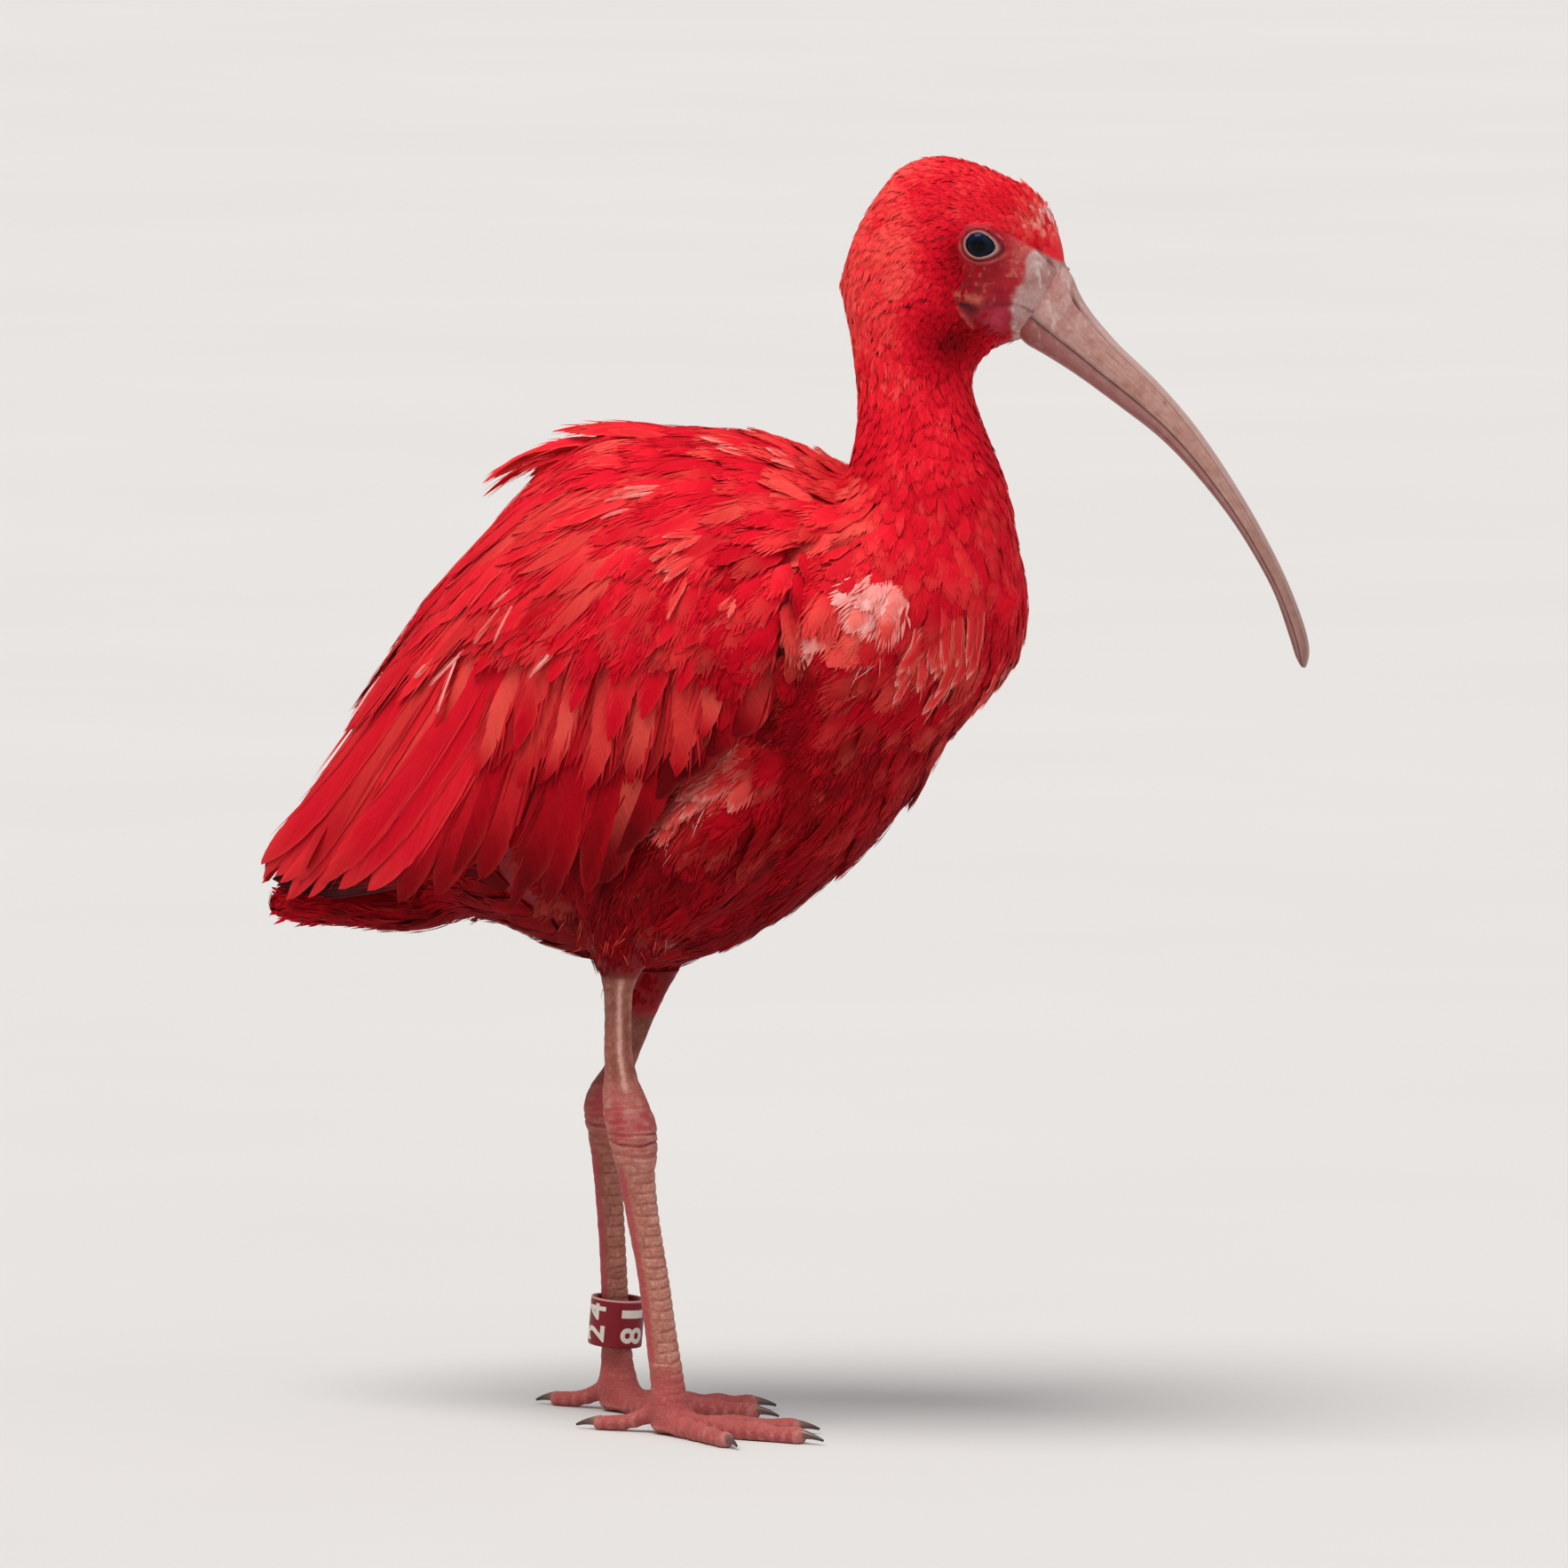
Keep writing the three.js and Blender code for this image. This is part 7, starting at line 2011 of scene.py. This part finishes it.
# rump feathers, which close the space between the folded wings
g = np.random.default_rng(88)
for top, low, count, tone_ in (((-50, 244), (-106, 171), 15, 0.46), ((-26, 268), (-82, 212), 15, 0.52)):
    u_ = np.linspace(-1, 1, count)[:, None] + 0.02 * g.normal(0, 1, (count, 1))
    s_ = np.linspace(0, 1, 30)[None] * g.uniform(0.92, 1.0, (count, 1))
    px = lerp(top[0], low[0], s_) - 12 * s_ * (1 - s_)
    pz = lerp(top[1], low[1], s_) + 10 * s_ * (1 - s_) - 3 * u_ ** 2
    P_ = np.stack([px, u_ * lerp(33, 29, s_), pz], -1)
    up_ = np.broadcast_to(np.array([-0.77, 0, 0.64]), P_.shape) + np.stack([0 * px, 0.3 * u_ + 0 * px, 0 * px], -1) + 0.08 * g.normal(0, 1, (count, 1, 3))
    c.vanes(P_, WING, 0.0, 4.9, body_map(P_[:, 0]), tone_ + 0.07 * g.normal(0, 1, count), 0.06 * g.random(count), 0.0, columns=6,
            settle=False, normals=unit(up_), outline=round_tip, seed=530 + int(top[0]), splits=2, rim=0.06)
tail_coat = c


# feathers under the tail and at the rear
def way_back(p):
    return unit(np.stack([-np.ones(len(p)), 0.12 * np.sign(p[:, 1]), 0.03 * np.ones(len(p))], -1))


REAR = Field(lambda p: smin(trunk_field(p), tail_field(p), 5.0), (-140, -50, 130), (-10, 50, 215), 2.0)
rear_points, _ = surface_nets(REAR.f, REAR.lo, REAR.pitch)
plumes("", REAR, rear_points, lambda p: (p[:, 0] > -104) & (p[:, 0] < -30) & (p[:, 2] < 190), lambda p: 6.2 + 0 * p[:, 0], 16000, 26.0, 5.2,
       (-3.0, 0.6), under_map, 511, turn=0.13, raise_some=1.8, coat=tail_coat, way=way_back, tilt=0.4)
tail_coat.piece(COAT_MAT, "wing_feathers")

# ------------------------------------------------ loose feathers and wisps

c = Coat("loose_feathers")
g = np.random.default_rng(77)
for pl in PLUMES:
    st, ov, en = (np.array(pl[k_], float) for k_ in ("start", "over", "end"))
    n_ = 11
    off = g.normal(0, 1, (n_, 1, 3)) * (2.4, 3.2, 0.8)
    s = np.linspace(0, 1, 26)[None, :, None] * g.uniform(0.62, 1.0, (n_, 1, 1))
    path = (1 - s) ** 2 * (st + off) + 2 * s * (1 - s) * (ov + 0.9 * off) + s * s * (en + (0.9, 0.5, 1.1) * off)
    up1 = np.broadcast_to(unit(np.array([-0.1, 0.9 * np.sign(st[1]), 0.8])), path.shape) + g.normal(0, 0.3, (n_, 1, 3)) * (0, 1, 0)
    tn = 0.66 + 0.10 * g.normal(0, 1, n_)
    c.vanes(path, BACKS, 0.0, 2.1 + 0.3 * g.normal(0, 1, n_), path[:, 0, :2] + g.random((n_, 2)), tn, 0.10 * g.random(n_), 0.0, columns=4,
            settle=False, normals=unit(up1), outline=point_tip, seed=700 + int(st[1] + st[0]), splits=2, rim=0.08, tip_pale=0.10)
    T = unit(np.gradient(path, axis=1))
    S = unit(np.cross(unit(up1), T))
    c.tufts((path, S, unit(np.cross(T, S))), path[:, 0, :2] + 0.5, FEW, 2.2, 0.08, tn + 0.05, 0.08, 0.0, rings=2, seed=740 + int(st[1] + st[0]), fray=0.2)


def wisps(places, length, half, seed, tone, pale, lift, count, way=None, field=BODY):
    """Fine barbs that stand a little off the coat."""
    gg = np.random.default_rng(seed)
    pts = np.array(places, float)
    base = pts[gg.integers(0, len(pts), count), :3] + gg.normal(0, 1, (count, 3)) * pts[gg.integers(0, len(pts), count), 3:4]
    base = field.settle(base, -0.5, 3)
    spine = march(field, base, length * (0.6 + 0.8 * gg.random(count)), -1.0, lift * gg.random(count), gg.normal(0, 0.35, count), 6, 1.0, way)
    c.tufts(spine, body_map(base), [(0, 1, 0, 0.0, 1.0)], half, 0.12, tone, pale + 0.3 * gg.random(count), 0.0, rings=4, seed=seed + 1)


for s_ in (-1, 1):
    wisps([(62, 56 * s_, 217, 3), (52, 57 * s_, 209, 4), (41, 56 * s_, 200, 4)], 14, 0.20, 801 + s_, 0.85, 0.7, 1.4, 70)
    wisps([(105, 44 * s_, 258, 5), (112, 38 * s_, 248, 5), (119, 22 * s_, 244, 5)], 12, 0.20, 811 + s_, 0.85, 0.6, 1.6, 60)
    wisps([(8, 40 * s_, 160, 6), (-5, 36 * s_, 158, 6), (20, 40 * s_, 158, 6)], 11, 0.25, 821 + s_, 0.45, 0.1, 2.2, 50)
    wisps([(40, 46 * s_, 289, 10), (0, 46 * s_, 282, 9)], 11, 0.18, 831 + s_, 0.95, 0.4, 1.6, 60, field=BACKS)
c.piece(COAT_MAT, "scarlet_feathers")


def accents(c, field, places, seed, way=None):
    """Single feathers that stand out: x, out, z, length, half width, tone, pale, edge, height, count, spread, painted
    shade.
    """
    gg = np.random.default_rng(seed)
    for k_, (x_, y_, z_, long, wide, tone, pale, edge, high, count, room, *accent_shade) in enumerate(places):
        for side in (-1, 1):
            at = np.array([x_, side * y_, z_]) + gg.normal(0, 1, (count, 3)) * (room, 0.4 * room, room)
            at = field.settle(at, 0.0, 3)
            d_ = lie(at)
            base = field.settle(at - d_ * (0.55 * long), -0.8, 3)
            L_ = long * gg.uniform(0.75, 1.15, count)
            sp = march(field, base, L_, -1.5, high, gg.normal(0, 0.16, count), 11, 0.7, way)
            n_ = len(base)
            s_ = np.linspace(0, 1, 12)
            level = (-1.5 + high * s_ ** 0.7)[None] + gg.uniform(0, 0.5, (n_, 1)) + 1.5 * (s_ ** 0.7)[None] - 0.5 * step(0.8, 1, s_)[None]
            tn = tone + 0.05 * gg.normal(0, 1, n_)
            dark = accent_shade[0] if accent_shade else 0.0
            uv = body_map(base)
            c.vanes(sp[0], field, level, wide * gg.uniform(0.85, 1.15, n_), uv, tn, pale * gg.uniform(0.6, 1.2, n_), dark, columns=6, thick=0.12,
                    tilt=0.4 * gg.normal(0, 1, n_), camber=0.5, outline=point_tip, chevron=0.06, splits=3, depth=0.5, waver=0.04,
                    seed=seed + 7 * k_ + side, shaft=0.03, edge_pale=edge, rim=0.08)
            c.tufts(sp, uv, BARBS, wide, 0.08, tn + 0.04, 0.8 * pale + 0.5 * edge, dark, rings=2, seed=seed + 7 * k_ + side + 500, fray=0.12, sink=-0.15)


c = Coat("coat_accents")
accents(c, BODY, [
    (104, 46, 266, 17, 4.0, 0.85, 0.70, 0.15, 1.4, 9, 4.6), (98, 48, 258, 17, 4.2, 0.9, 0.36, 0.10, 1.2, 6, 4), (84, 54, 256, 16, 3.8, 0.85, 0.60, 0.15, 1.5, 8, 3.4),
    (93, 51, 252, 17, 4.2, 0.9, 0.18, 0.10, 1.2, 5, 4), (120, 30, 251, 26, 2.4, 0.60, 0.11, 0.55, 2.0, 7, 4.6), (122, 20, 246, 25, 2.4, 0.58, 0.11, 0.55, 2.0, 5, 4.4),
    (114, 38, 246, 22, 1.8, 0.7, 0.14, 0.6, 1.8, 5, 3.4), (120, 6, 236, 20, 2.0, 0.66, 0.1, 0.5, 1.8, 3, 3),
    # flank feathers: the last value is painted shade, as the flank lies in shade
    (60, 57, 214, 23, 4.2, 0.72, 0.32, 0.25, 1.8, 4, 3, 0.22), (49, 57, 206, 24, 3.6, 0.72, 0.36, 0.35, 2.0, 6, 3.6, 0.28), (40, 56, 198, 22, 3.2, 0.7, 0.30, 0.3, 1.8, 5, 3.4, 0.3),
    (80, 42, 283, 15, 4.4, 0.85, 0.12, 0.05, 1.4, 6, 5), (88, 44, 276, 14, 4.0, 0.68, 0.03, 0.0, 1.2, 5, 5),
], 900)
accents(c, BACKS, [
    (42, 18, 311, 18, 1.8, 0.85, 0.35, 0.5, 1.9, 2, 2.0), (59, 15, 310, 15, 1.6, 0.85, 0.35, 0.5, 1.9, 2, 2.0), (42, 54, 276, 19, 1.4, 0.85, 0.16, 0.48, 2.9, 8, 3.4),
    (60, 58, 265, 9, 1.2, 0.9, 0.34, 0.1, 2.0, 2, 1), (17, 44, 295, 15, 0.7, 0.85, 0.50, 0.2, 2.6, 8, 3.0), (-20, 58, 262, 22, 0.7, 0.8, 0.55, 0.1, 2.0, 3, 2.4),
    (-43, 46, 236, 20, 0.8, 0.8, 0.6, 0.1, 2.0, 4, 3.0), (-2, 60, 246, 15, 0.8, 0.8, 0.6, 0.1, 2.2, 2, 1.2), (66, 30, 303, 18, 3.0, 0.85, 0.16, 0.15, 1.8, 3, 4),
], 950)
c.piece(COAT_MAT, "scarlet_feathers")

# --------------------------------------------------------- floor and light


def plain_material():
    m = Nodes("floor")
    n = m.noise(m.place(), 3.0, 3, 0.5)
    c_ = m.mix(n, (0.60, 0.585, 0.57), (0.64, 0.625, 0.61))
    m.bsdf.inputs["Specular IOR Level"].default_value = 0.15
    return m.set(Base_Color=c_, Roughness=0.85)


fl = bpy.data.meshes.new("floor")
fl.from_pydata([(-60, -60, -0.0003), (60, -60, -0.0003), (60, 60, -0.0003), (-60, 60, -0.0003)], [], [(0, 1, 2, 3)])
floor = bpy.data.objects.new("floor", fl)
fl.materials.append(plain_material())
bpy.context.scene.collection.objects.link(floor)


def sun(name, to_light, energy, angle, colour):
    d = bpy.data.lights.new(name, "SUN")
    d.energy, d.angle, d.color = energy, math.radians(angle), colour
    o = bpy.data.objects.new(name, d)
    o.rotation_euler = Vector(to_light).to_track_quat("Z", "Y").to_euler()
    bpy.context.scene.collection.objects.link(o)


sun("key", tuple(-0.35 * RIGHT + 1.0 * UP + 0.42 * BACK), 2.75, 38, (1.0, 0.98, 0.95))
sun("side", tuple(0.75 * RIGHT + 0.6 * UP + 0.9 * BACK), 0.55, 60, (0.96, 0.97, 1.0))
world = bpy.data.worlds.new("studio")
bpy.context.scene.world = world
world.use_nodes = True
world.node_tree.nodes["Background"].inputs[0].default_value = (0.97, 0.98, 1.0, 1)
world.node_tree.nodes["Background"].inputs[1].default_value = 0.46
bpy.context.scene.view_settings.view_transform = "Standard"

print("pieces", sum(PIECES.values()), json.dumps(PIECES))
